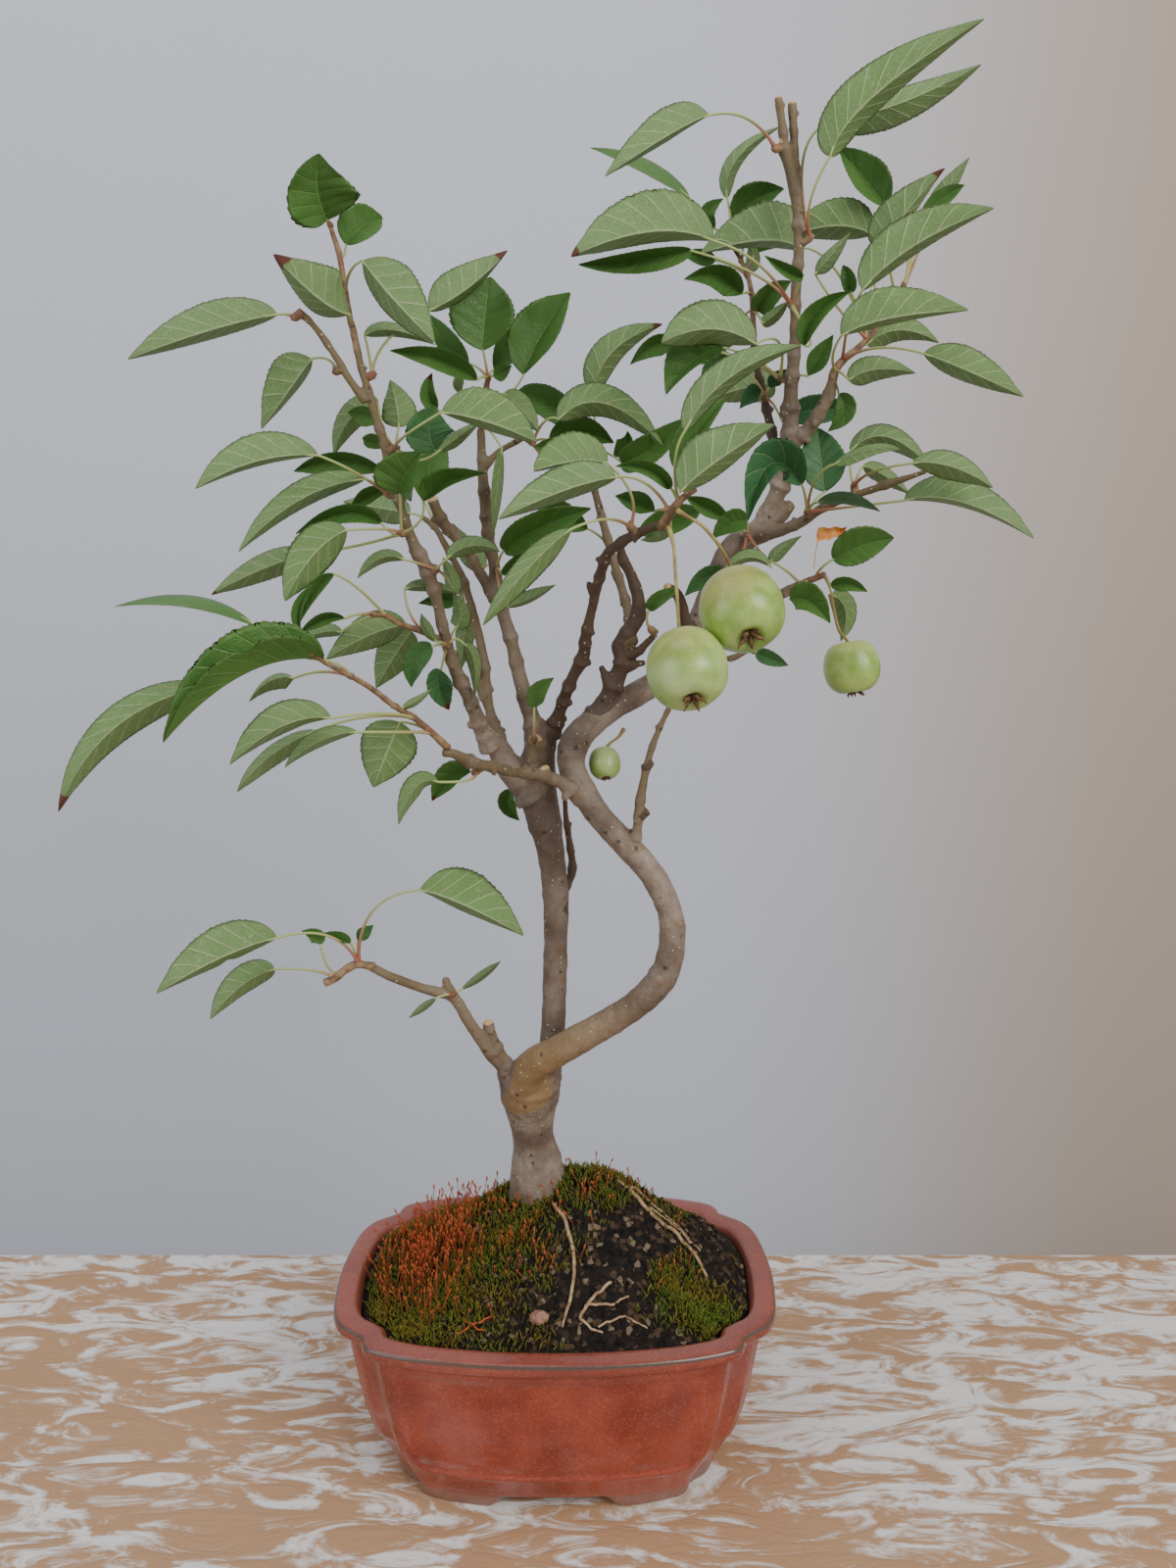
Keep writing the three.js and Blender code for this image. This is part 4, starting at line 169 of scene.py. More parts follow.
class Mat:
    def __init__(self, name):
        self.m = bpy.data.materials.new(name)
        self.m.use_nodes = True
        self.nt = self.m.node_tree
        self.bsdf = next(n for n in self.nt.nodes if n.type == "BSDF_PRINCIPLED")

    def n(self, kind, **props):
        node = self.nt.nodes.new(kind)
        for k, v in props.items():
            setattr(node, k, v)
        return node

    def link(self, a, b):
        self.nt.links.new(a, b)

    def val(self, sock, v):
        if hasattr(v, "is_linked") or hasattr(v, "links"):
            self.link(v, sock)
        else:
            sock.default_value = v

    def math(self, op, a, b=0.0, c=0.0, clamp=False):
        n = self.n("ShaderNodeMath", operation=op, use_clamp=clamp)
        self.val(n.inputs[0], a)
        self.val(n.inputs[1], b)
        self.val(n.inputs[2], c)
        return n.outputs[0]

    def mix(self, f, a, b, mode="MIX"):
        n = self.n("ShaderNodeMix", data_type="RGBA", blend_type=mode)
        self.val(n.inputs[0], f)
        self.val(n.inputs[6], a)
        self.val(n.inputs[7], b)
        return n.outputs[2]

    def step(self, x, lo, hi, a=0.0, b=1.0):
        n = self.n("ShaderNodeMapRange", interpolation_type="SMOOTHSTEP")
        self.val(n.inputs[0], x)
        for i, v in zip((1, 2, 3, 4), (lo, hi, a, b)):
            n.inputs[i].default_value = v
        return n.outputs[0]

    def noise(self, scale, detail=3.0, rough=0.55, vec=None, dist=0.0):
        n = self.n("ShaderNodeTexNoise")
        n.inputs["Scale"].default_value = scale
        n.inputs["Detail"].default_value = detail
        n.inputs["Roughness"].default_value = rough
        n.inputs["Distortion"].default_value = dist
        self.link(vec if vec is not None else self.pos(), n.inputs["Vector"])
        return n.outputs[0]

    def voro(self, scale, feature="F1", vec=None, rand=1.0):
        n = self.n("ShaderNodeTexVoronoi", feature=feature)
        n.inputs["Scale"].default_value = scale
        n.inputs["Randomness"].default_value = rand
        self.link(vec if vec is not None else self.pos(), n.inputs["Vector"])
        return n

    def pos(self):
        if not hasattr(self, "_pos"):
            self._pos = self.n("ShaderNodeTexCoord").outputs["Object"]
        return self._pos

    def attr(self, name):
        key = "_a" + name
        if not hasattr(self, key):
            setattr(self, key, self.n("ShaderNodeAttribute", attribute_name=name, attribute_type="GEOMETRY"))
        return getattr(self, key)

    def sep(self, sock):
        n = self.n("ShaderNodeSeparateXYZ")
        self.link(sock, n.inputs[0])
        return n.outputs

    def bump(self, h, strength, dist):
        n = self.n("ShaderNodeBump")
        n.inputs["Strength"].default_value = strength
        n.inputs["Distance"].default_value = dist
        self.link(h, n.inputs["Height"])
        self.link(n.outputs[0], self.bsdf.inputs["Normal"])
        return n

    def out(self, color=None, rough=None, spec=None, sub=None, coat=None, coat_rough=None):
        b = self.bsdf.inputs
        if color is not None:
            self.val(b["Base Color"], color)
        if rough is not None:
            self.val(b["Roughness"], rough)
        if spec is not None:
            self.val(b["Specular IOR Level"], spec)
        if coat is not None:
            self.val(b["Coat Weight"], coat)
        if coat_rough is not None:
            self.val(b["Coat Roughness"], coat_rough)
        return self.m


def leaf_material():
    m = Mat("leaf_blade")
    lc = m.sep(m.attr("lc").outputs["Vector"])
    u, v, c = lc[0], lc[1], lc[2]
    inf = m.sep(m.attr("inf").outputs["Vector"])
    rnd, top, brown = inf[0], inf[1], inf[2]
    # painted shade: the fourth leaf channel says how far a leaf sits in shade
    painted_shade = m.attr("inf").outputs["Alpha"]
    av = m.math("ABSOLUTE", v)
    # side veins: lines of equal c, thin, fading to the margin
    fr = m.math("FRACT", c)
    d = m.math("ABSOLUTE", m.math("SUBTRACT", fr, 0.5))
    lat = m.step(d, 0.0, 0.085, 1.0, 0.0)
    lat = m.math("MULTIPLY", lat, m.step(av, 0.75, 1.0, 1.0, 0.15))
    mid = m.step(av, 0.0, 0.075, 1.0, 0.0)
    vein = m.math("MAXIMUM", lat, mid)
    comb = m.n("ShaderNodeCombineXYZ")
    m.link(m.math("MULTIPLY", u, 2.6), comb.inputs[0])
    m.link(v, comb.inputs[1])
    m.link(m.math("MULTIPLY", rnd, 17.0), comb.inputs[2])
    net = m.voro(9.0, "DISTANCE_TO_EDGE", comb.outputs[0]).outputs["Distance"]
    netm = m.step(net, 0.0, 0.11, 1.0, 0.0)
    cloud = m.noise(55.0, 3.0)
    fine = m.noise(900.0, 2.0)
    under = m.mix(cloud, srgb(96, 128, 68), srgb(140, 166, 108))
    under = m.mix(m.math("MULTIPLY", rnd, 0.5), under, srgb(108, 142, 70))
    under = m.mix(m.math("MULTIPLY", netm, 0.38), under, srgb(172, 192, 140))
    under = m.mix(m.math("MULTIPLY", vein, 0.85), under, srgb(188, 202, 148))
    over = m.mix(cloud, srgb(60, 102, 42), srgb(106, 148, 68))
    over = m.mix(m.math("MULTIPLY", rnd, 0.55), over, srgb(80, 124, 52))
    # painted shade: shaded leaves get a darker blue-green upper face
    over = m.mix(m.math("MULTIPLY", painted_shade, 0.8), over, srgb(44, 104, 78))
    over = m.mix(m.math("MULTIPLY", netm, 0.12), over, srgb(40, 72, 32))
    over = m.mix(m.math("MULTIPLY", vein, 0.5), over, srgb(124, 156, 88))
    col = m.mix(top, under, over)
    edge = m.step(av, 0.93, 1.0)
    col = m.mix(m.math("MULTIPLY", edge, 0.35), col, srgb(120, 128, 70))
    bn = m.math("ADD", brown, m.math("MULTIPLY", m.math("SUBTRACT", m.noise(260.0, 3.0), 0.5), 0.8))
    col = m.mix(m.math("MULTIPLY", m.step(bn, 0.42, 0.6), m.step(brown, 0.0, 0.1)), col, srgb(112, 58, 42))
    spots = m.voro(260.0)
    sp = m.math("MULTIPLY", m.step(spots.outputs["Distance"], 0.05, 0.16, 1.0, 0.0), m.step(m.noise(40.0), 0.62, 0.7))
    col = m.mix(m.math("MULTIPLY", sp, 0.6), col, srgb(96, 74, 40))
    h = m.math("ADD", m.math("MULTIPLY", vein, 1.0), m.math("MULTIPLY", netm, 0.35))
    sign = m.math("SUBTRACT", 1.0, m.math("MULTIPLY", top, 1.7))
    h = m.math("ADD", m.math("MULTIPLY", h, sign), m.math("MULTIPLY", fine, 0.12))
    m.bump(h, 0.75, 0.0005)
    rough = m.step(top, 0.0, 1.0, 0.62, 0.42)
    m.out(col, rough, 0.4)
    # light through the blade
    tr = m.n("ShaderNodeBsdfTranslucent")
    m.link(m.mix(0.5, col, srgb(120, 170, 50)), tr.inputs["Color"])
    ms = m.n("ShaderNodeMixShader")
    ms.inputs[0].default_value = 0.22
    out = next(n for n in m.nt.nodes if n.type == "OUTPUT_MATERIAL")
    m.link(m.bsdf.outputs[0], ms.inputs[1])
    m.link(tr.outputs[0], ms.inputs[2])
    m.link(ms.outputs[0], out.inputs["Surface"])
    return m.m


def petiole_material():
    m = Mat("leaf_stalk")
    t = m.sep(m.attr("lc").outputs["Vector"])[0]
    rnd = m.sep(m.attr("inf").outputs["Vector"])[0]
    red = m.math("MULTIPLY", m.step(t, 0.05, 0.75, 1.0, 0.0), m.step(rnd, 0.25, 0.75, 0.25, 0.95))
    col = m.mix(red, srgb(168, 184, 112), srgb(168, 82, 78))
    col = m.mix(m.math("MULTIPLY", m.noise(300.0), 0.3), col, srgb(140, 140, 80))
    m.bump(m.noise(1500.0), 0.3, 0.0002)
    return m.out(col, 0.5, 0.4)


def twig_material():
    m = Mat("young_twig")
    n1 = m.noise(260.0, 4.0)
    col = m.mix(m.step(n1, 0.35, 0.65), srgb(104, 78, 58), srgb(150, 122, 88))
    col = m.mix(m.math("MULTIPLY", m.step(m.noise(90.0), 0.5, 0.7), 0.6), col, srgb(140, 76, 60))
    m.bump(m.noise(1400.0, 4.0), 0.6, 0.0004)
    return m.out(col, 0.62, 0.35)


def bark_material():
    m = Mat("bark")
    inf = m.sep(m.attr("inf").outputs["Vector"])
    young, dark, cut = inf[0], inf[1], inf[2]
    olive = m.attr("inf").outputs["Alpha"]
    lc = m.sep(m.attr("lc").outputs["Vector"])
    big = m.noise(42.0, 4.0, 0.6)
    mid = m.noise(190.0, 4.0, 0.6)
    fine = m.noise(1100.0, 3.0, 0.6)
    col = m.mix(m.step(big, 0.32, 0.68), srgb(94, 78, 66), srgb(146, 130, 114))
    col = m.mix(m.math("MULTIPLY", m.step(mid, 0.45, 0.7), 0.55), col, srgb(112, 84, 62))
    col = m.mix(m.math("MULTIPLY", m.step(fine, 0.5, 0.75), 0.25), col, srgb(164, 150, 130))
    yc = m.mix(mid, srgb(78, 64, 38), srgb(132, 112, 68))
    col = m.mix(m.math("MULTIPLY", young, 0.75), col, yc)
    col = m.mix(m.math("MULTIPLY", olive, 0.85), col, m.mix(big, srgb(108, 84, 46), srgb(156, 124, 84)))
    col = m.mix(m.math("MULTIPLY", dark, 0.8), col, m.mix(mid, srgb(40, 30, 24), srgb(92, 68, 54)))
    # lenticels: short pale dashes across the stem
    vo = m.voro(330.0)
    dots = m.math("MULTIPLY", m.step(vo.outputs["Distance"], 0.1, 0.2, 1.0, 0.0), m.step(m.sep(vo.outputs["Color"])[0], 0.55, 0.6))
    col = m.mix(m.math("MULTIPLY", dots, 0.8), col, srgb(205, 188, 158))
    pit = m.math("MULTIPLY", m.step(m.voro(120.0).outputs["Distance"], 0.06, 0.16, 1.0, 0.0), 0.7)
    col = m.mix(pit, col, srgb(58, 42, 32))
    col = m.mix(cut, col, m.mix(mid, srgb(186, 142, 92), srgb(214, 180, 130)))
    h = m.math("ADD", m.math("MULTIPLY", mid, 0.8), m.math("ADD", m.math("MULTIPLY", fine, 0.45), m.math("MULTIPLY", dots, 0.5)))
    h = m.math("SUBTRACT", h, pit)
    m.bump(h, 0.8, 0.0009)
    return m.out(col, m.step(mid, 0.3, 0.7, 0.5, 0.72), 0.35)


def glaze_material():
    m = Mat("glaze")
    inf = m.sep(m.attr("inf").outputs["Vector"])
    line, foot, rim = inf[0], inf[1], inf[2]
    inner = m.attr("inf").outputs["Alpha"]
    big = m.noise(30.0, 3.0)
    mid = m.noise(260.0, 3.0, 0.6)
    col = m.mix(m.step(big, 0.35, 0.65), srgb(126, 46, 33), srgb(154, 66, 47))
    sp = m.voro(900.0)
    spk = m.math("MULTIPLY", m.step(sp.outputs["Distance"], 0.18, 0.4, 1.0, 0.0), m.step(m.sep(sp.outputs["Color"])[0], 0.45, 0.55))
    col = m.mix(m.math("MULTIPLY", spk, 0.55), col, srgb(196, 120, 94))
    sp2 = m.voro(620.0)
    dk = m.math("MULTIPLY", m.step(sp2.outputs["Distance"], 0.15, 0.35, 1.0, 0.0), m.step(m.sep(sp2.outputs["Color"])[1], 0.6, 0.7))
    col = m.mix(m.math("MULTIPLY", dk, 0.6), col, srgb(92, 32, 24))
    col = m.mix(m.math("MULTIPLY", rim, 0.6), col, m.mix(mid, srgb(112, 58, 44), srgb(150, 90, 74)))
    col = m.mix(m.math("MULTIPLY", line, 0.85), col, srgb(70, 66, 56))
    col = m.mix(foot, col, m.mix(mid, srgb(116, 82, 70), srgb(150, 112, 96)))
    col = m.mix(inner, col, srgb(96, 58, 44))
    h = m.math("ADD", m.math("MULTIPLY", m.noise(420.0, 2.0), 0.5), m.math("MULTIPLY", mid, 0.3))
    m.bump(h, 0.18, 0.0006)
    rough = m.math("ADD", m.step(mid, 0.3, 0.7, 0.2, 0.34), m.math("MULTIPLY", m.math("MAXIMUM", foot, inner), 0.4))
    return m.out(col, rough, 0.5, coat=0.35, coat_rough=0.12)


def soil_material():
    m = Mat("soil")
    n1 = m.noise(240.0, 5.0, 0.7)
    vo = m.voro(420.0)
    cid = m.sep(vo.outputs["Color"])
    col = m.mix(m.step(n1, 0.35, 0.7), srgb(14, 11, 9), srgb(46, 36, 28))
    col = m.mix(m.math("MULTIPLY", m.step(cid[0], 0.78, 0.9), 0.6), col, srgb(96, 74, 54))
    col = m.mix(m.math("MULTIPLY", m.step(cid[1], 0.93, 0.97), 0.7), col, srgb(140, 122, 98))
    h = m.math("ADD", n1, m.math("MULTIPLY", vo.outputs["Distance"], -0.8))
    m.bump(h, 1.0, 0.002)
    return m.out(col, 0.9, 0.25)


def moss_material():
    m = Mat("moss")
    lc = m.sep(m.attr("lc").outputs["Vector"])
    inf = m.sep(m.attr("inf").outputs["Vector"])
    t, kind = lc[0], inf[1]
    col = m.mix(t, srgb(30, 36, 10), srgb(112, 132, 34))
    col = m.mix(m.math("MULTIPLY", inf[0], 0.75), col, m.mix(t, srgb(52, 38, 14), srgb(150, 118, 34)))
    red = m.mix(t, srgb(96, 34, 22), srgb(176, 84, 44))
    col = m.mix(kind, col, red)
    return m.out(col, 0.75, 0.3)


def moss_base_material():
    m = Mat("moss_base")
    n1 = m.noise(300.0, 5.0, 0.7)
    col = m.mix(m.step(n1, 0.35, 0.65), srgb(22, 24, 10), srgb(74, 84, 26))
    col = m.mix(m.math("MULTIPLY", m.step(m.noise(70.0), 0.5, 0.65), 0.6), col, srgb(70, 48, 22))
    m.bump(n1, 1.0, 0.003)
    return m.out(col, 0.9, 0.2)


def apple_material(name, blush):
    m = Mat(name)
    lc = m.sep(m.attr("lc").outputs["Vector"])
    z, side = lc[0], lc[1]
    big = m.noise(70.0, 3.0)
    col = m.mix(m.step(big, 0.3, 0.7), srgb(120, 152, 54), srgb(172, 196, 104))
    col = m.mix(m.math("MULTIPLY", m.step(z, 0.2, 1.0), 0.5), col, srgb(188, 202, 128))
    pale = m.step(m.noise(26.0, 2.0), 0.5, 0.7)
    col = m.mix(m.math("MULTIPLY", pale, 0.5), col, srgb(204, 216, 160))
    bl = m.math("MULTIPLY", m.step(m.math("ADD", side, m.math("MULTIPLY", big, 0.5)), 0.55, 1.2), blush)
    col = m.mix(bl, col, srgb(170, 112, 84))
    vo = m.voro(620.0)
    dots = m.math("MULTIPLY", m.step(vo.outputs["Distance"], 0.08, 0.18, 1.0, 0.0), 0.5)
    col = m.mix(dots, col, srgb(226, 232, 190))
    calyx = m.sep(m.attr("inf").outputs["Vector"])[0]
    col = m.mix(calyx, col, srgb(64, 44, 26))
    m.bump(m.noise(600.0), 0.12, 0.0004)
    m.bsdf.inputs["Subsurface Weight"].default_value = 0.12
    m.bsdf.inputs["Subsurface Radius"].default_value = (0.004, 0.005, 0.002)
    return m.out(col, 0.34, 0.5, coat=0.15, coat_rough=0.2)


def plain(name, a, b, scale=300.0, rough=0.7, bump=0.4):
    m = Mat(name)
    n = m.noise(scale, 4.0)
    m.bump(n, bump, 0.0006)
    return m.out(m.mix(m.step(n, 0.3, 0.7), a, b), rough, 0.35)


LEAF = leaf_material()
PET = petiole_material()
TWIG = twig_material()
BARK = bark_material()
GLAZE = glaze_material()
SOIL = soil_material()
MOSS = moss_material()
MOSSB = moss_base_material()
CALYX = plain("calyx", srgb(60, 40, 24), srgb(128, 98, 62), 700.0)
STALK = plain("fruit_stalk", srgb(126, 96, 66), srgb(172, 160, 92), 120.0, 0.5, 0.2)
ROOT = plain("dry_root", srgb(120, 92, 66), srgb(186, 156, 118), 260.0)
PEBBLE = plain("pebble", srgb(120, 78, 64), srgb(176, 130, 112), 380.0)
SCREEN = plain("drain_screen", srgb(18, 18, 18), srgb(34, 34, 34), 500.0)
DRY = plain("dry_leaf", srgb(196, 112, 48), srgb(226, 166, 96), 260.0)
RED = plain("red_needle", srgb(150, 58, 30), srgb(206, 96, 48), 300.0)


# ---------------------------------------------------------------- branch and leaf tables
BRANCHES = {
  'trunk_base': [(-9,18,114.2,15.61),(-9.4,18,123.2,14.11),(-10.3,18,136.4,12.11),(-11.6,18,146.8,10.14),(-12.4,16,159.2,11.5),(-12.7,14,173.4,14.74),(-12.5,12,184,12.75)],
  'straight': [(-7.6,17,172,9.56),(-3.7,19,184.9,6.69),(-2.3,20,194.6,6.2),(-1.3,21,206.8,5.95),(-0.7,22,226.4,5.83),(-0.1,22,246.2,5.79),(0,22,268.2,6.17),(-2.2,21,290,6.49),(-4.9,20,304.5,7.83),(-7.5,20,316.2,9.18),(-9.3,20,325.6,10.06),(-7.4,20,337.1,7.75),(-5,20,350,6.35)],
  'curved': [(-16.1,9,178.3,10.36),(-10.2,4,190.5,8.37),(1.6,1,199.2,7.15),(15.4,-2,208.8,6.77),(29,-5,218.2,6.57),(40.2,-7,227.5,6.66),(48.9,-9,238.6,6.7),(52.7,-10,249.7,6.22),(53.4,-10,263.6,5.97),(49.8,-9,277,5.73),(41.8,-7,290.1,5.95),(30.8,-4,301.6,5.96),(20.7,-2,312.5,5.74),(12.8,0,324.2,6.18),(8.3,2,333.3,6.18),(7.9,4,340.6,6.63),(11,6,347.4,6.64),(17.6,9,353.7,6.22),(26.5,12,360.1,6.02),(37.8,16,365.9,5.82),(46.9,20,371.3,5.63),(60.6,25,386.7,5.2),(70.4,27,409,4.96),(80,25,430.2,5.35),(90.8,24,437.6,5.32),(101.3,22,446.1,4.41),(106.6,20,450.8,2.19)],
  'right_stem': [(93,24,439.7,3.99),(99,22,452.6,3.96),(103.5,20,466,3.92),(104.4,18,481.8,3.89),(103.8,15,497.9,3.2),(104.4,12,517.7,2.53),(103.8,10,537.2,2.29),(104.1,8,556.3,2.27),(101.9,6,574.9,2.45),(97.6,5,589.7,2.43),(95.4,5,595.3,2.22)],
  'right_stub1': [(97.2,5,590.4,1.82),(94.6,4,604.3,1.69),(93.2,4,612,1.68)],
  'right_stub2': [(101.8,6,578.7,1.83),(100.6,7,597.8,1.82),(99.3,7,610.9,1.82)],
  'right_fork': [(104.6,18,475.5,3.03),(112,15,482.3,3.01),(116.8,12,490.2,2.77),(119.5,12,495.5,2.55),(121,12,501.6,2.12)],
  'right_back': [(103.2,21,465.3,2.19),(99.9,26,473.3,2.2),(97.5,30,485.2,1.99),(94,33,500.4,1.77),(90.1,33,515.2,1.58),(89.4,33,525.6,1.4)],
  'right_twig': [(92.8,22,437.5,3.54),(102.4,14,439.4,2.61),(110.8,8,443.5,2.23),(117.4,3,448.2,1.95),(126.8,-2,452.1,1.76),(138.2,-6,455.9,1.67),(142.5,-7,457.5,1.87),(149.7,-9,459.8,1.32),(157.3,-11,462.4,1.07)],
  'centre': [(-1.4,20,346.3,3.63),(4.2,15,362.9,2.91),(8.8,8,374.7,2.64),(13.2,3,383.8,2.87),(14.5,-3,392.8,2.57),(16.7,-10,403.7,2.32),(18.7,-15,412.1,2.08),(20.7,-22,420.4,2.25),(23.4,-30,428.3,2.21),(29.2,-36,432.9,1.98),(36.8,-42,437,1.95),(44.2,-48,439.5,1.92)],
  'centre_k1': [(18.3,-14,410.9,1.67),(16.6,-16,414.2,1.33),(15.4,-17,416.7,1.07)],
  'gnarly': [(17.2,10,353.1,4.9),(23.4,10,363.4,4.43),(28.6,8,374.7,3.96),(30.7,6,381.4,3.5),(29.3,5,388,3.05),(33.2,3,394.6,3.46),(37.3,1,402,3.44),(36.8,0,411.8,3),(33.7,-2,420.2,2.55),(30.2,-4,426.5,2.32),(29.3,-6,431.4,1.89)],
  'gn_b1': [(26,8,370.3,2.2),(22.9,8,375.6,1.76),(21.1,8,379.1,1.41)],
  'gn_b2': [(31.2,6,378.4,2.19),(36.3,4,380.3,1.74),(40.6,3,381.2,1.31)],
  'gn_b3': [(32,5,384.6,2.18),(37.1,2,385.7,1.82),(41.3,0,390.1,1.64),(45.1,-1,394,1.29)],
  'fruit_stub': [(63.2,24,389,2.93),(58.7,15,401.4,2.65),(55.5,10,410.3,2.4),(49.9,5,414.7,1.99)],
  'fruit_lower_twig': [(62.4,24,385.9,1.81),(69.2,20,383.5,1.35),(79.5,12,382.3,1.33),(89.3,10,387.3,1.14)],
  'spur_right': [(70.4,26,403.7,2.25),(90.3,14,405,1.98),(101,5,411.3,2.38),(106,0,414.3,1.92)],
  'thin_shoot': [(35.3,-5,297.4,3.09),(37.3,-8,308.4,2.19),(38.4,-9,319.8,2.17),(40.1,-9,330.8,1.82),(42.6,-8,341.6,1.56),(46.5,-6,352.2,1.38),(51.7,-4,362.8,1.12)],
  'ts_k1': [(38.9,-9,314.4,1.74),(41.9,-9,316.7,1.48)],
  'ts_k2': [(40.9,-9,335.6,1.56),(43.5,-9,338.7,1.3)],
  'back_twig': [(1.8,23,263,2.35),(4.5,32,270.2,2.09),(7.8,34,278,2),(6.8,35,289,1.71),(5,36,301.9,1.52),(4.1,36,314.5,1.23)],
  'front_left': [(12.8,-2,321,3.96),(4.5,-8,328.4,3.04),(-1.8,-13,332.4,2.58),(-8,-18,334.6,2.55),(-16.1,-24,336.5,2.18),(-23.7,-33,340.2,2.27),(-29.2,-40,342.6,2.43),(-34.6,-46,345.6,2.6),(-38.9,-50,348.7,1.98),(-43,-52,349.4,1.82)],
  'fl_k': [(-2.6,-14,332.6,1.93),(-3.4,-15,337.5,1.71)],
  'fork_stub': [(-8.9,12,329.3,3.6),(-10,8,341.3,1.78),(-10.4,8,345.4,1.51)],
  'left_limb': [(-9.3,20,320.4,9.16),(-12,19,323.4,8.68),(-20,17,330.7,6.81),(-26.1,15,340.2,4.96),(-29.5,13,346.4,4.31)],
  'left_stem': [(-29.1,13,341,4.31),(-33.6,10,352.2,3.56),(-37.4,6,363.9,3.08),(-41.2,2,373.1,3.05),(-44.9,-2,384.2,2.8),(-47.5,-6,397.3,2.55),(-49.8,-9,409.9,2.53),(-52.7,-11,420.3,2.92),(-55.3,-12,426.5,2.91),(-58.3,-13,432.5,2.49),(-61.6,-14,442.6,2.14),(-64.5,-15,452.6,1.97),(-67,-15,462.5,1.88),(-68.7,-15,472.4,1.83),(-71.7,-15,482.1,1.78),(-74.2,-15,491.8,1.65),(-77.3,-14,501.6,1.57),(-79.5,-13,511.4,1.53)],
  'left_side': [(-76.3,-15,489.9,1.53),(-82.8,-17,499.3,1.6),(-86.3,-18,505.6,1.44),(-91.8,-19,514.1,1.39),(-96.1,-20,519.6,1.23),(-101.1,-21,524.6,1.1)],
  'left_back': [(-22.7,18,337.5,3.18),(-27.4,22,348.3,2.73),(-30.4,26,357,2.38),(-32.3,29,368.2,2.43),(-33.2,31,379.4,2.43),(-35.9,33,393,2.11),(-39.5,35,406.5,1.92),(-43.1,37,417.8,1.78),(-47.6,38,426.7,1.64),(-52.1,39,434.8,1.64),(-56.2,40,441.5,1.46),(-61.7,41,445.6,1.23)],
  'brown_cut': [(-27,28,408.1,2.71),(-35,24,422.3,2.45),(-39.8,20,431,2.43),(-45,17,437.4,2.63),(-49.8,14,443.7,2.61),(-53.1,11,452.4,2.58)],
  'green_upright': [(-7.8,20,345.4,5),(-13.2,22,362.1,3.63),(-16.3,24,373.2,3.4),(-19.9,26,388.9,3.17),(-24,28,402.3,3.17),(-26.6,29,413.4,3.16),(-27.9,31,424.5,2.71),(-30.1,32,433.4,2.71),(-31,33,444.4,2.7),(-32.2,34,457.6,2.69),(-32.9,34,470.6,2.23),(-33,33,483.4,1.78)],
  'gu_side': [(-32.5,34,467.1,1.79),(-25.6,33,474,1.51),(-17.8,30,478,1.33),(-10.6,28,481.2,1.14)],
  'stub_a': [(-36.7,7,362.4,1.94),(-42,2,377.4,1.74),(-43.8,0,386.7,1.51)],
  'stub_b': [(-30.9,27,358.3,1.83),(-35.2,26,368.5,1.82),(-37.3,26,377.6,1.55)],
  'low_left': [(-21.4,11,181.9,5.19),(-24.9,9,188.8,4.22),(-29.7,5,195,3.49),(-34.3,1,204.1,3.04),(-39.4,-2,213.6,2.74),(-46.4,-6,228.1,2.62),(-54.2,-8,231.7,2.42),(-60.5,-10,234.3,2.23),(-73.1,-14,240.9,2.04),(-82.1,-17,247,1.93)],
  'low_stub': [(-22.3,10,183.4,4.24),(-27.3,5,197.5,3.07),(-30.6,2,208.6,2.49),(-31.4,1,213.8,2.29)],
  'low_spur': [(-46.8,-6,228.1,2.25),(-49.3,-7,235.1,2.07),(-49.6,-7,237.9,1.79)],
  'mid_back1': [(34.5,3,390.3,2.6),(33.3,22,404.7,2.24),(28.2,36,422.3,2.1),(22.8,46,442.6,1.94),(17.3,52,463.2,1.76),(14.9,54,475.9,1.57)],
}
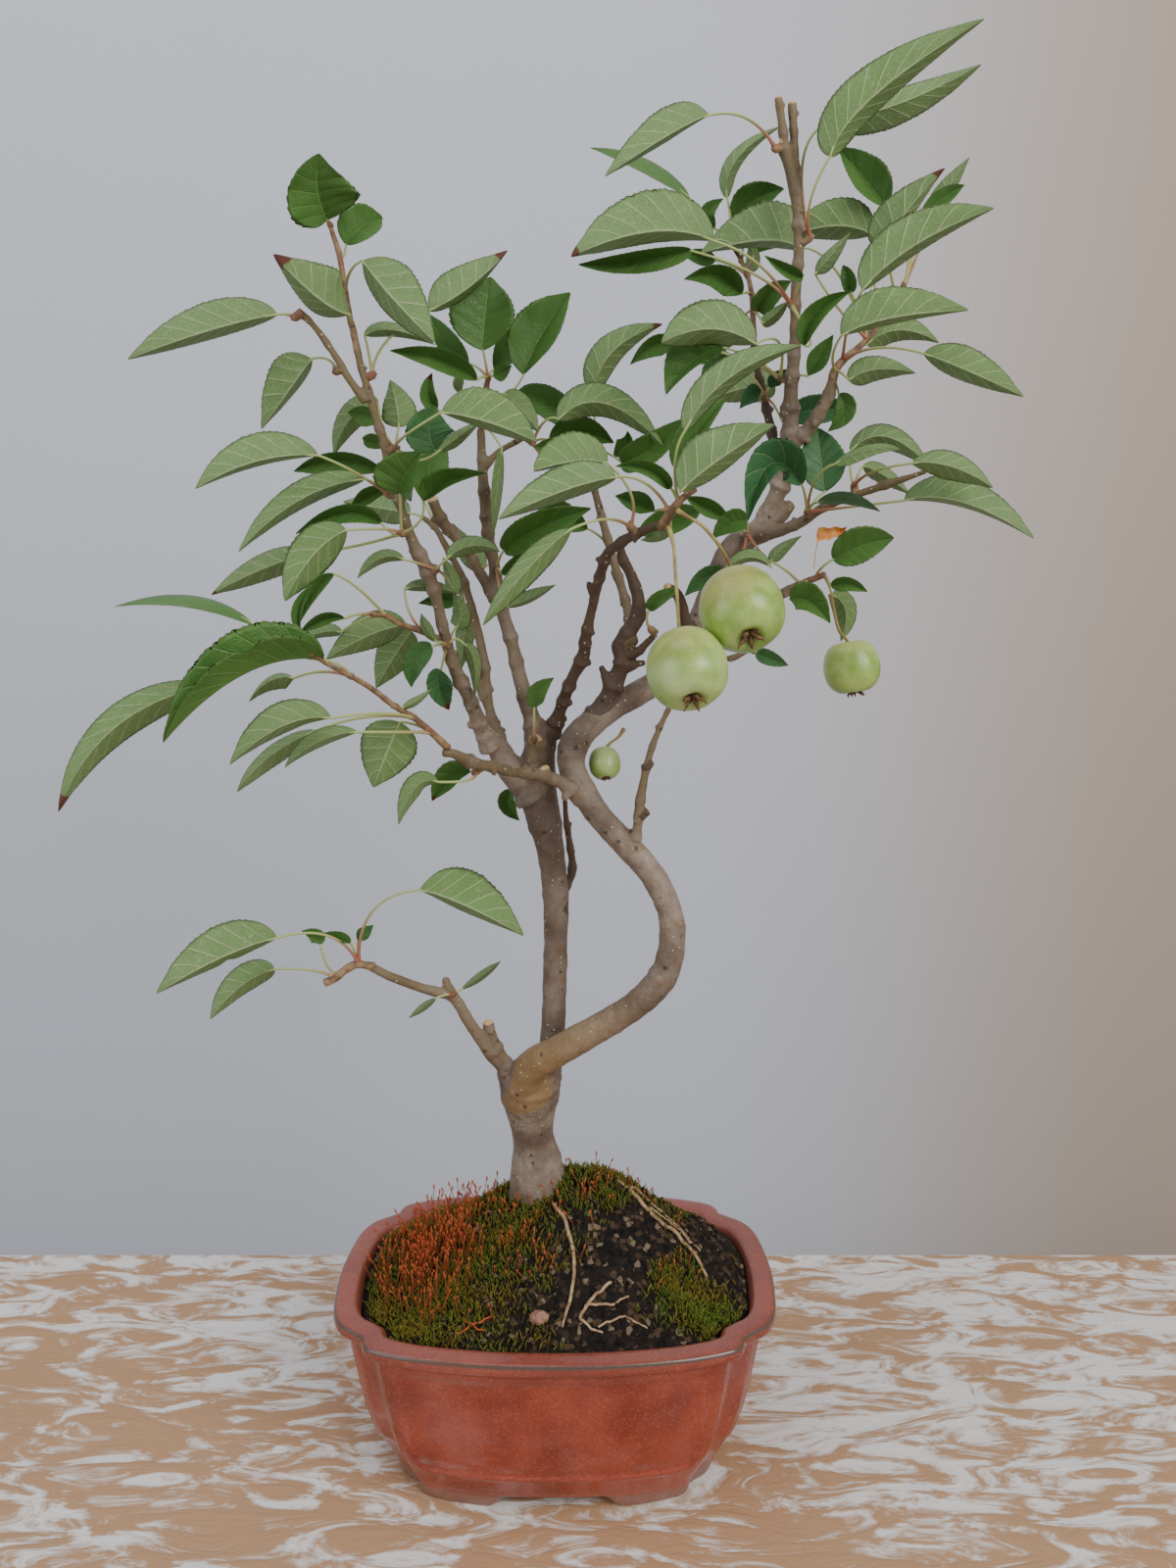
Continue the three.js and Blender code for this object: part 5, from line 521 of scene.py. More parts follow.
SPRAYS = {
  'low_left_end': {
    'stem': [(-82.6,-17.4,247.4,1.84),(-87.8,-19,248.7,1.84),(-92.7,-21,246.6,1.83),(-96.7,-23,243.7,1.83),(-101.1,-25,242.1,1.82)],
    'leaves': [
      (-86.9,-18.7,248.6,-98.3,-26,264.1,-119.4,-30.4,264.7,-140.6,-42.8,259.6,-165,-52.4,247.4,14.1,78,14,0.3,-0.9,0.31,2,0,1),
      (-96.7,-23,243.7,-106.4,-25.5,248.2,-122.4,-27,249.2,-137.4,-28.6,241.7,-149.3,-34,228.8,10.3,65,38,0.28,-0.9,0.34,0,0,1),
      (-86.9,-18.7,248.6,-78.9,-24.5,274.8,-57.6,-28,285.5,-37.5,-34.5,280.4,-12.2,-38,268,16.8,22,81,0.1,-0.95,0.29,0,0,1),
      (-95.4,-22.3,244.6,-99.7,-24.2,250,-102,-25.4,259.9,-104.3,-24.3,263.6,-109.4,-27.4,266.8,3.9,-27,-27,0.23,-0.93,0.3,0,0,0),
      (-86.9,-18.7,248.6,-88.3,-19.4,254.6,-89.8,-20.2,259.1,-95.1,-21.2,261.7,-101.3,-22.2,264.2,3.9,-71,-39,0.21,-0.93,0.3,0,0,0),
      (-86.9,-18.7,248.6,-86.8,-19.4,255.1,-86.7,-20,259.9,-84.1,-17.4,262.3,-80.3,-16,265.9,3.9,-27,-48,0.18,-0.94,0.3,0,0,0),
    ]},
  'low_left_mid': {
    'bud': (-46.31,-10.75,231.48,1.9), 'on': (-48.3,-6.64,229.77,2.57),
    'leaves': [
      (-46.3,-10.8,231.5,-44.6,-9.9,232.5,-42.8,-9,233,-34.7,-13.2,239.7,-23.4,-20,250.4,6.2,69,73,0.09,-0.94,0.34,0,0,1),
      (-46.3,-10.8,231.5,-49.6,-12.4,231.8,-53,-14,231.1,-58.3,-17.9,228.4,-64.8,-22,224.5,5.3,71,71,0.14,-0.92,0.36,0,0,1),
    ]},
  'front_left_shoot': {
    'stem': [(-42.4,-53,353,1.65),(-46.8,-58,358.6,1.4),(-52.6,-65,365.4,1.26),(-58.9,-72,370.8,1.2),(-65.7,-79,377.9,1.11),(-72.2,-86,383.4,0.98),(-79.2,-91,388.1,0.86),(-84.2,-95,392.3,0.78)],
    'leaves': [
      (-84.2,-95,392.3,-104.5,-89.5,389,-124.8,-84,379.5,-158,-92,365.2,-178.7,-98,334.9,10.8,55,48,0.36,-0.92,0.14,0,0.9,1),
      (-72.2,-86,383.4,-75.9,-89.7,388,-80.7,-92,389.6,-105.5,-105.6,385.9,-132,-116,363,15.9,-124,-17,0.28,-0.95,0.11,2,0,0),
      (-72.2,-86,383.4,-84.7,-78,384.3,-97.2,-70,381.1,-106.6,-70.1,380,-116.1,-66,371.6,7.5,49,78,0.26,-0.96,0.1,0,0,1),
      (-84.2,-95,392.3,-94.4,-95.5,399.2,-104.6,-96,402.9,-124.2,-101.8,411.4,-148,-110,409.6,9,-72,77,0.32,-0.95,0.04,0,0,0),
      (-84.2,-95,392.3,-86.6,-92.5,396.8,-89,-90,399.8,-90,-87.3,407.8,-85.7,-84,416.5,3.9,-50,-69,0.23,-0.97,0.03,0,0,0),
      (-52.6,-65,365.4,-64.3,-78,368.5,-80,-86,367.7,-95.3,-97.7,366.3,-112.4,-106,353.7,10.6,75,34,0.25,-0.96,0.14,0,0,1),
      (-52.6,-65,365.4,-70.7,-69.5,366,-88.9,-74,361.3,-106.4,-76.1,351.7,-117.7,-82,339.1,8.2,57,66,0.26,-0.95,0.16,0,0,1),
      (-46.8,-58,358.6,-60,-71.6,360.5,-71.6,-80,361.7,-84.9,-87.1,359,-96.5,-92,350.2,6.6,71,48,0.22,-0.96,0.15,0,0,1),
      (-46.8,-58,358.6,-52.6,-60,361.8,-58.4,-62,363.1,-63.8,-62.4,351.1,-69.7,-62,337.2,12.4,29,20,0.17,-0.97,0.16,0,0,1),
      (-58.9,-72,370.8,-57.6,-71,370.6,-56.2,-70,369.8,-51,-69,372,-44.9,-66,376.6,2.6,44,55,0.14,-0.98,0.11,0,0,1),
    ]},
  'left_twig': {
    'stem': [(-51,-8,393.1,1.44),(-55,-14,395.6,1.34),(-61.4,-18,398.3,1.33),(-65.2,-20,400,1.24),(-69.7,-22,403,1.23),(-73.9,-24,403.5,1.06)],
    'leaves': [
      (-69.7,-22,403,-78.7,-33.2,414.5,-86.6,-40,420.1,-95.7,-41.4,412.4,-101.6,-44,398.8,6.3,-64,-60,0.22,-0.97,0.03,0,0,0),
      (-73.9,-24,403.5,-79.9,-25,403.5,-85.8,-26,401.9,-95.6,-22.6,401.4,-106.3,-20,395.5,5.3,-57,-63,0.22,-0.97,0.05,0,0,0),
      (-69.7,-22,403,-80,-18,400.9,-90.2,-14,395.6,-100,-11.5,395,-109,-10,390.3,5.5,63,52,0.22,-0.97,0.06,0,0,1),
      (-61.4,-18,398.3,-62.3,-12,399,-63.2,-6,398.1,-78.4,-10.2,394.1,-97.4,-12,383.7,11,55,32,0.18,-0.98,0.06,0,0,1),
      (-55,-14,395.6,-58.9,-4.5,396.7,-62.8,5,395,-71.1,5.9,383.6,-80,9,369.3,10.9,41,33,0.16,-0.98,0.08,0,0,1),
      (-55,-14,395.6,-61.1,-10.7,403.7,-63.3,-8.6,413.7,-52.2,-5.9,414.4,-39.8,-0.6,411,5.9,55,69,0.13,-0.99,0.02,0,0,1),
    ]},
  'left_top': {
    'stem': [(-79.6,-13,511.9,1.53),(-81,-12.5,519.1,1.41),(-82.1,-12,523,1.36),(-83.6,-11,532.7,1.24),(-85,-10,542.4,1.2),(-86.3,-10,549.9,1.2),(-87.9,-11,555.2,1.03),(-88.7,-12,558.7,0.87)],
    'leaves': [
      (-88.7,-12,558.7,-89.1,-13,559.5,-89.4,-14,560,-91,-22.9,569.5,-88.2,-30,579.7,17,-43,-17,0.2,-0.94,-0.28,0,0,0),
      (-86.3,-10,549.9,-84.7,-8.8,547.5,-83.4,-8,552.2,-77.2,-5.8,559.6,-69.6,0,564.9,9.6,-17,-57,0.17,-0.95,-0.25,0,0,0),
      (-81,-12.5,519.1,-80.7,-16.2,521.6,-80.5,-20,522.9,-90.6,-30.7,526.7,-105.7,-38,541.2,14.6,68,19,0.21,-0.95,-0.21,0,0.84,1),
      (-83.6,-11,532.7,-80.1,-19.1,539.1,-74,-24,542.4,-62.7,-28.7,528.2,-44.6,-38,509.2,13.2,14,64,0.15,-0.97,-0.2,0,0,1),
    ]},
  'left_side_end': {
    'bud': (-101.95,-22.65,521.39,1.9), 'on': (-99.84,-20.75,523.37,1.13),
    'leaves': [
      (-101.9,-22.7,521.4,-105.1,-24.3,522.1,-108.2,-26,521.8,-133.9,-33.7,514,-161.3,-46,501.4,11.5,73,26,0.29,-0.94,-0.17,0,0,1),
    ]},
  'left_upper': {
    'bud': (-73.56,-12.16,500.76,1.9), 'on': (-76.54,-14.27,499.18,1.59),
    'leaves': [
      (-73.6,-12.2,500.8,-68.8,-1.8,516.1,-51.6,4.5,529.4,-35.4,10,539.6,-19.1,18.5,556.5,11.7,27,78,0.09,-0.97,-0.22,0,0.86,1),
      (-73.6,-12.2,500.8,-75.3,-9.9,510.3,-77.1,-7.7,517.3,-65.4,-4.1,519.9,-49.5,4.3,515.6,6.5,60,64,0.15,-0.97,-0.17,0,0,1),
    ]},
  'left_side_mid': {
    'bud': (-87.8,-15.45,501.75,1.9), 'on': (-84.64,-17.56,502.47,1.53),
    'leaves': [
      (-87.8,-15.5,501.7,-91.3,-13.3,506.7,-98.4,-12,507.3,-107.8,-10.5,496,-122,-6,480,12.2,77,21,0.24,-0.96,-0.13,0,0,1),
    ]},
  'left_mid_a': {
    'bud': (-64.31,-15.45,471.23,1.9), 'on': (-68.25,-15,469.9,1.84),
    'leaves': [
      (-64.3,-15.5,471.2,-70.1,-8.1,479,-73,-3.6,490.6,-86.6,3.4,485.1,-94.9,8.4,470.5,8.4,46,46,0.19,-0.98,-0.11,0,0,1),
      (-64.3,-15.5,471.2,-68.1,-10.8,475.5,-71.7,-8,482.9,-78.8,-4.6,485.7,-85.9,-4,487,5,-24,-41,0.18,-0.98,-0.12,0,0,0),
      (-64.3,-15.5,471.2,-64.1,-11.9,476.7,-63.9,-8.4,480.5,-65.2,-5.7,490.3,-68.6,1.6,500.9,9,39,25,0.15,-0.98,-0.13,0,0,1),
      (-64.3,-15.5,471.2,-57,-21.3,468.3,-46.4,-24.9,469.5,-49.1,-24.5,477.2,-46.4,-24.9,487.1,11.1,-31,-22,0.12,-0.99,-0.11,0,0,0),
      (-64.3,-15.5,471.2,-54.6,-27,465.4,-44.5,-34,468.2,-36.1,-34.5,473.9,-27,-30,481.1,5.5,60,60,0.1,-0.99,-0.1,0,0,1),
      (-64.3,-15.5,471.2,-58.3,-32.6,474.1,-41.9,-43.1,482.2,-23.4,-50.1,477.7,-4.3,-57.1,469.7,12.8,14,76,0.08,-0.99,-0.11,0,0,1),
    ]},
  'left_mid_b': {
    'bud': (-62.67,-17.25,436.8,1.9), 'on': (-59.98,-13.5,437.34,2.3),
    'leaves': [
      (-62.7,-17.2,436.8,-61.9,-22.6,445.8,-61.2,-28,452.2,-57.8,-33.3,459.6,-50.3,-40,467.7,12.6,-20,-60,0.14,-0.99,-0.07,0,0,0),
      (-62.7,-17.2,436.8,-54.2,-22.7,441.5,-52,-26,449.2,-42.9,-26.6,456.6,-25.6,-32,460,8.8,-47,-74,0.11,-0.99,-0.06,0,0,0),
      (-62.7,-17.2,436.8,-65.5,-19,436.4,-70.5,-20,440.8,-85,-22.2,444.7,-105.7,-22,436.4,7.3,-56,-60,0.2,-0.98,-0.03,0,0,0),
      (-62.7,-17.2,436.8,-68.3,-26.4,438.2,-82.5,-32,437.7,-94.9,-38.5,427.8,-104.8,-48,409.8,11,44,27,0.22,-0.98,0,0,0,1),
      (-62.7,-17.2,436.8,-80.5,-14,432.1,-104.3,-12,428.1,-125.2,-8.1,421.5,-146.5,-8,411.2,10.1,57,51,0.27,-0.96,0.01,0,0.93,1),
    ]},
  'left_mid_c': {
    'bud': (-68.24,-12.81,452.67,1.9), 'on': (-64.45,-15,452.58,1.97),
    'leaves': [
      (-68.2,-12.8,452.7,-72,-19.4,456.5,-75.7,-26,458.2,-101.7,-30.9,449.4,-124.4,-40,429,9.5,68,41,0.23,-0.97,-0.04,0,0,1),
      (-68.2,-12.8,452.7,-78.9,-29.7,460.6,-91,-40,466.2,-111.8,-53.5,462.8,-133.1,-62,452,12,81,29,0.26,-0.96,-0.07,0,0,1),
      (-68.2,-12.8,452.7,-70.4,-7.4,459.2,-72.5,-2,463.5,-91.9,1.8,467.9,-112.1,6,463.7,8.4,-41,-66,0.2,-0.98,-0.07,0,0,0),
      (-68.2,-12.8,452.7,-69.1,-5.4,455.2,-70,2,455.6,-80.4,7.4,453.5,-88.9,8,447.2,6,-55,-55,0.18,-0.98,-0.05,0,0,0),
      (-68.2,-12.8,452.7,-70.6,-5.4,464.5,-72.9,2,472.8,-76.6,4.5,475.5,-82.2,8,477.9,4.6,-43,-43,0.17,-0.98,-0.1,0,0,0),
    ]},
  'left_low_a': {
    'bud': (-48.87,-14.31,421.87,1.9), 'on': (-52.68,-11,420.31,2.92),
    'leaves': [
      (-48.9,-14.3,421.9,-57.2,-16.6,424.8,-61.9,-18,426,-71.3,-20.4,426.4,-79.9,-26,418.4,5.7,65,55,0.17,-0.99,0,0,0,1),
      (-48.9,-14.3,421.9,-47,-19.1,423.2,-43.3,-22,426.4,-32.7,-20.8,431.6,-21.4,-20,429.2,6.5,47,60,0.1,-1,-0.01,0,0,1),
      (-48.9,-14.3,421.9,-46.6,-2.6,419,-44.2,9.1,412.5,-45.9,13.5,418.9,-49.4,15.1,427,6.1,55,50,0.12,-0.99,0.01,0,0,1),
    ]},
  'left_low_b': {
    'bud': (-45.2,-8.67,389.14,1.9), 'on': (-46.29,-4.06,390.64,2.66),
    'leaves': [
      (-45.2,-8.7,389.1,-44.3,0.7,394.2,-43.4,10,396.4,-41.8,12.9,402.8,-45.5,16,411.9,7,51,47,0.11,-0.99,0.04,0,0,1),
      (-45.2,-8.7,389.1,-48.2,-12.3,390,-51.1,-16,389.5,-57.9,-19.4,383.9,-60.1,-18,372.5,6.2,-37,-37,0.14,-0.99,0.08,0,0,0),
      (-45.2,-8.7,389.1,-47.3,-5.2,384.6,-49.3,-1.8,378.2,-50.4,-1.9,371.3,-46.7,2.2,360.3,7.8,-39,-48,0.12,-0.99,0.1,0,0.85,0),
      (-45.2,-8.7,389.1,-42.4,-7,392.2,-38.7,-6,390.1,-34.3,-4.9,381.9,-35,0,366.3,6,55,55,0.1,-0.99,0.09,0,0,1),
      (-45.2,-8.7,389.1,-47.1,-12.4,390.9,-49,-16,391.5,-52.6,-19.3,397.1,-54.8,-20,403.7,3.7,48,48,0.13,-0.99,0.05,0,0,1),
    ]},
  'left_low_back': {
    'bud': (-44.97,40.08,415.63,1.9), 'on': (-43.14,37,417.75,1.78),
    'leaves': [
      (-45,40.1,415.6,-44.8,40,411.8,-44.6,40,406.8,-53.7,39.3,407.7,-63.6,34,406.1,6.5,-50,-55,0.12,-0.99,0.03,0,0,0),
      (-45,40.1,415.6,-43.9,44,409.1,-42.8,48,400.1,-44.2,50.7,389.7,-46.5,52,373.5,7.6,47,51,0.1,-0.99,0.06,0,0,1),
    ]},
  'left_back_end': {
    'bud': (-56.6,43.84,441.65,1.9), 'on': (-56.22,40,441.54,1.46),
    'leaves': [
      (-56.6,43.8,441.7,-59.6,47.9,449,-62.6,52,454.2,-64.3,60.6,468.3,-57.1,66,487,11.3,-34,-41,0.13,-0.99,-0.08,0,0,0),
      (-56.6,43.8,441.7,-63.2,49.9,446.2,-69.8,56,448,-83,63.3,455.7,-104.3,70,454.2,10.4,50,43,0.17,-0.98,-0.05,0,0,1),
    ]},
  'upright_top': {
    'stem': [(-33,33,484,1.73),(-31.8,31,492.6,1.59),(-30.2,29,500.7,1.4),(-29.1,28,505.6,1.22)],
    'leaves': [
      (-29.1,28,505.6,-30,26.5,512,-30.9,25.1,516.7,-30,27.8,532.8,-27.3,29.1,548.2,16.4,-19,-38,0.08,-0.98,-0.19,0,0,0),
      (-31.8,31,492.6,-20.8,32.9,498.7,-13.7,34,507.8,-5.9,40.6,525.7,7.4,44,544.9,15.1,-20,-64,0.03,-0.98,-0.18,0,0,0),
      (-31.8,31,492.6,-26.9,27.5,496.4,-22,24,498.4,-15.1,24.1,492.5,-6.7,20,482,7,29,41,0.05,-0.99,-0.12,0,0,1),
      (-29.1,28,505.6,-27.8,25,506,-26.5,22,505.5,-22.6,22.1,507.2,-18,18,509.4,3.9,-27,-27,0.07,-0.99,-0.15,0,0,0),
      (-29.1,28,505.6,-31,22,505.2,-32.9,16.1,503,-48.3,14.7,510.9,-69.6,10.1,514.2,8.5,-57,-53,0.12,-0.98,-0.16,0,0,0),
      (-29.1,28,505.6,-34.2,36,511.2,-39.3,44,514,-48.2,45,522.7,-56.6,50,536.4,7.2,-47,-41,0.11,-0.98,-0.18,0,0,0),
      (-31.8,31,492.6,-41,21.7,488.9,-50.7,16,490.7,-54,13.3,496.9,-52,12,505.2,5.1,-41,-48,0.12,-0.98,-0.14,0,0.8,0),
      (-30.2,29,500.7,-35.2,26.5,500.3,-40.2,24,498.4,-41.5,20.7,502.9,-38.1,22,508,3.4,41,41,0.1,-0.98,-0.14,0,0,1),
      (-32.6,32.3,486.9,-27.4,23.4,481.5,-22.7,18,474.3,-24.9,15.2,456.4,-26.7,12,436,8.7,73,-73,0.07,-1,-0.06,0,0,1),
      (-29.1,28,505.6,-28.5,40,510.4,-27.9,52,511.8,-21.5,62.5,525.8,-12.6,70,539,9.2,-46,-41,0.06,-0.98,-0.17,0,0,0),
    ]},
  'upright_mid': {
    'bud': (-26.29,25.64,422.52,1.9), 'on': (-27.57,30.55,421.87,2.8),
    'leaves': [
      (-26.3,25.6,422.5,-24.1,18.8,427.4,-22,12,430,-5.2,5.8,440,16.7,4,447.9,11.6,-51,-56,0.03,-1,-0.03,0,0,0),
      (-26.3,25.6,422.5,-24.9,21.8,421.7,-23.5,18,419.7,-10.9,15.4,428.3,4.9,16,436.1,6.1,-60,-55,0.05,-1,-0.01,0,0,0),
      (-26.3,25.6,422.5,-24.3,15.9,412.8,-21.8,10,405.1,-10.7,8.3,409,1.1,8,415.1,6.1,50,73,0.05,-1,0.03,0,0,1),
      (-26.3,25.6,422.5,-30.2,37.8,424.2,-34.1,50,422.2,-42.7,53.7,431.4,-49.8,60,443.6,8.4,48,44,0.1,-0.99,-0.02,0,0,1),
    ]},
  'upright_side': {
    'bud': (-9.53,29.07,477.97,1.9), 'on': (-12.37,28.48,480.4,1.19),
    'leaves': [
      (-9.5,29.1,478,-3.8,23.4,486.6,2.4,20,487,23.2,24.5,494.2,48.8,26,476.3,11.8,42,59,-0.02,-0.99,-0.11,0,0,1),
      (-9.5,29.1,478,0.7,16,467.4,12,8,470.5,2.7,6.3,473.2,-7.9,6,474,7.6,-39,-48,0.03,-1,-0.09,0,0,0),
      (-9.5,29.1,478,-6.1,36.3,480.2,-2.7,43.6,480.2,10.8,51.3,485.4,27.5,57.6,480.7,10.1,-47,-50,0.01,-1,-0.1,0,0,0),
    ]},
  'fork_leaf': {
    'bud': (-8.77,4.76,346.66,1.9), 'on': (-10.3,7.91,344.52,1.54),
    'leaves': [
      (-8.8,4.8,346.7,-8.8,4.4,354.8,-8.7,4,361,-6.9,3,368.2,0.2,2,374.4,5.2,-34,-34,0.04,-0.99,0.11,0,0,0),
    ]},
  'centre_a': {
    'bud': (32.1,-42.41,438.66,1.9), 'on': (34.91,-40.5,436.1,1.95),
    'leaves': [
      (32.1,-42.4,438.7,22.2,-54.6,441.1,9.1,-62,437.2,-6.4,-69.6,423.2,-23.7,-78,401.6,9.6,57,55,0.05,-1,0.01,0,0,1),
      (32.1,-42.4,438.7,32.5,-41.8,451,23.1,-41.5,463.1,10.8,-45.3,463.5,-5.3,-53.5,459.2,12.3,85,20,0.01,-1,-0.08,1,0,1),
    ]},
  'centre_spur': {
    'stem': [(44.9,-49,439.8,1.84),(47.4,-52,443.4,1.9),(50.2,-54,447.4,1.59),(53.5,-55,450.3,1.28),(56.8,-56,452.4,1.05)],
    'leaves': [
      (47.4,-52,443.4,38,-54.8,454.3,26.3,-56.5,456.8,6,-58.3,451.5,-18.3,-64.5,440.7,12,72,36,0.02,-1,-0.05,0,0,1),
      (50.2,-54,447.4,48.5,-57,450.6,46.7,-60,452.5,38.2,-64.9,459,25.7,-66,460,5.5,-58,-58,-0.05,-1,-0.07,0,0,0),
      (50.2,-54,447.4,48.5,-59,462.7,51.8,-62,473.1,67.7,-64.3,491.8,93.2,-70,502.2,10.2,41,71,-0.12,-0.98,-0.14,0,0,1),
      (53.5,-55,450.3,51.6,-62.5,451.5,49.7,-70,450.5,63.2,-74.8,461.4,82.8,-78,473.5,13.7,27,70,-0.11,-0.99,-0.09,0,0,1),
      (53.5,-55,450.3,54.3,-51.5,456.8,55,-48,461.4,60.2,-48,469.2,69.7,-44,476.6,5.3,-55,-60,-0.1,-0.99,-0.09,0,0,0),
      (53.5,-55,450.3,53.3,-46.5,456.1,53.2,-38,459.2,57,-32.6,472.5,71.5,-26,490,10.2,-43,-70,-0.1,-0.99,-0.1,0,0,0),
      (47.4,-52,443.4,44.8,-44,445.3,42.2,-36,444.9,36,-32.9,448.1,26.5,-30,451.3,6.7,-54,-45,-0.04,-1,-0.05,0,0,0),
      (47.4,-52,443.4,47.6,-49.4,441.1,47.8,-46.9,437.6,43.4,-43.6,434.7,36.4,-44.9,433.5,3.1,51,41,-0.06,-1,-0.03,0,0,1),
    ]},
  'centre_back': {
    'bud': (18.69,54.33,476.85,1.9), 'on': (14.94,54,475.89,1.57),
    'leaves': [
      (18.7,54.3,476.8,18.4,59.4,492.9,18.2,64.4,504.8,27.5,67.8,524,51,72.4,536.9,11.7,41,59,-0.03,-0.99,-0.16,0,0.9,1),
      (18.7,54.3,476.8,24.7,47.2,474.9,30.8,40,470.2,43.9,32.6,475.7,62.1,30,489.9,9.8,-43,-50,-0.06,-0.99,-0.1,0,0,0),
      (18.7,54.3,476.8,23,53.2,476,27.4,52,473.9,32.9,52.8,480.2,33.7,50,485.3,6.5,-50,-50,-0.03,-0.99,-0.1,0,0,0),
      (18.7,54.3,476.8,14.7,60.2,483.1,10.7,66,487,-3.5,71.1,500.3,-19.1,80,507,10.4,-47,-43,0.03,-0.99,-0.12,0,0,0),
    ]},
  'centre_back_low': {
    'bud': (26.42,45.77,431.55,1.9), 'on': (25.49,41.5,432.26,2.02),
    'leaves': [
      (26.4,45.8,431.6,20.9,48.9,437.1,15.4,52,440.6,6,57.9,449.9,-10.2,64,453.9,9.4,-46,-46,0.02,-1,-0.04,0,0,0),
      (26.4,45.8,431.6,32.7,52.9,436.4,39,60,438.5,49.9,68.8,446.7,71.4,74,450.7,10.1,-44,-52,-0.07,-1,-0.04,0,0,0),
    ]},
  'dark_limb': {
    'bud': (86.6,16.78,436.74,1.9), 'on': (88.12,24.3,435.95,5.4),
    'leaves': [
      (86.6,16.8,436.7,81.5,10.1,422.3,76.3,6,418.1,66.9,3.1,418.5,57.8,0,410.5,7.7,-39,-56,-0.1,-1,0.02,0,0,0),
      (86.6,16.8,436.7,85.9,13.4,440.6,85.3,10,443.1,77.3,7.7,441.3,69.9,6,435,7.3,-50,-40,-0.12,-0.99,-0.03,0,0,0),
      (86.6,16.8,436.7,82.6,18.4,441.1,78.7,20,443.9,69.4,24.5,449.3,59.2,26,454.1,6.6,-53,-53,-0.1,-0.99,-0.05,0,0,0),
      (86.6,16.8,436.7,91.7,4,428.2,94.5,-3.9,422.8,83.8,-10.3,426.9,72.5,-11.9,421.1,5.8,65,50,-0.13,-0.99,0,0,0,1),
    ]},
  'right_twig_base': {
    'bud': (110.47,2.78,446.4,1.9), 'on': (112.5,6.68,444.62,2.16),
    'leaves': [
      (110.5,2.8,446.4,106.5,-11.6,453.3,102.6,-26,455.8,89,-29.6,463.7,79.9,-34,441.1,12.3,-59,-45,-0.15,-0.99,-0.05,0,0,0),
      (110.5,2.8,446.4,115.2,8.1,452.1,120,13.3,455.5,118.5,16.9,469.2,117.5,21.3,483.4,11.3,-32,-23,-0.19,-0.98,-0.08,0,0,0),
      (110.5,2.8,446.4,110.6,-12.6,458.7,116.3,-22,464.3,127.4,-30.6,468.9,137.3,-44,468.1,7.1,71,-60,-0.22,-0.97,-0.08,0,0,1),
      (110.5,2.8,446.4,111.2,-4.6,449,111.9,-12,449.5,123.8,-17.5,451.2,135.1,-26,445.3,5.7,-65,60,-0.21,-0.98,-0.05,0,0,0),
      (110.5,2.8,446.4,130.5,-10.1,448.4,146.6,-18,450,168.3,-28.2,448.7,195.9,-34,434.1,12.4,36,81,-0.3,-0.95,-0.04,0,0,1),
    ]},
  'right_twig_mid': {
    'bud': (129.38,-1.81,456.93,1.9), 'on': (129.65,-3.14,453.11,1.73),
    'leaves': [
      (129.4,-1.8,456.9,132.8,-19.3,461.4,145.9,-30,464,159.5,-37.5,462.3,175.3,-42,453.7,10.5,56,59,-0.29,-0.96,-0.07,0,0,1),
      (129.4,-1.8,456.9,131.8,2.1,462.2,134.3,6,465.8,142.4,3.8,462.3,154.7,2,453.6,6.4,53,53,-0.24,-0.97,-0.07,0,0,1),
      (129.4,-1.8,456.9,129,4.4,463.2,129.4,8.2,472.5,144.2,5.2,478,162,0.2,464.5,11,60,60,-0.24,-0.97,-0.08,0,0,1),
    ]},
  'right_lower_spur': {
    'stem': [(106.5,-0.6,414.7,1.79),(110.4,-4,416.9,1.53),(113.3,-6,418.2,1.44),(116.3,-8,419.5,1.26)],
    'leaves': [
      (113.3,-6,418.2,114.7,-11,422.4,119,-14,426,130.5,-18.8,432,142.2,-22,434.8,10.2,-37,-47,-0.22,-0.97,-0.01,0,0,0),
      (107.8,-1.8,415.5,101.4,0,421.5,94.9,1.9,425.3,99.7,3.2,430.7,108.9,5.9,436.3,5.1,60,48,-0.16,-0.99,-0.01,0,0,1),
      (110.4,-4,416.9,105.5,-11,414.4,100.6,-18,409.4,108.4,-20.9,408.6,115.9,-28,400,9,-35,-54,-0.18,-0.98,0.04,0,0,0),
      (116.3,-8,419.5,119.3,-3,416.2,122.4,2,410.9,129.6,6.3,403.5,127.9,6,390.6,6.5,37,43,-0.2,-0.98,0.04,0,0,1),
      (116.3,-8,419.5,117.2,-12,417.9,118.2,-16,415,124.8,-19.5,415.9,132.2,-22,412.7,4.5,-50,-43,-0.21,-0.98,0.02,0,0,0),
    ]},
  'right_top': {
    'bud': (92.47,2.68,591.98,1.9), 'on': (96.4,4.94,593.06,2.34),
    'leaves': [
      (92.5,2.7,592,79.4,-5.2,600.7,63.9,-10,600.2,47.8,-19,590.3,22.2,-32,571,11.2,80,30,-0.05,-0.95,-0.31,0,0,1),
    ]},
  'right_upper_a': {
    'bud': (101.3,6.67,532.18,1.9), 'on': (103.94,10.48,532.37,2.33),
    'leaves': [
      (101.3,6.7,532.2,84.6,-12.3,543.7,65,-24,549.7,39.6,-35.8,549.9,9.1,-46,538.5,16.2,74,22,-0.04,-0.97,-0.24,0,0.93,1),
      (101.3,6.7,532.2,85.6,6.3,544.2,58.6,6,553.4,34.9,-0.1,548.1,11.3,-2,546.1,9,-54,-66,-0.04,-0.97,-0.23,0,0,0),
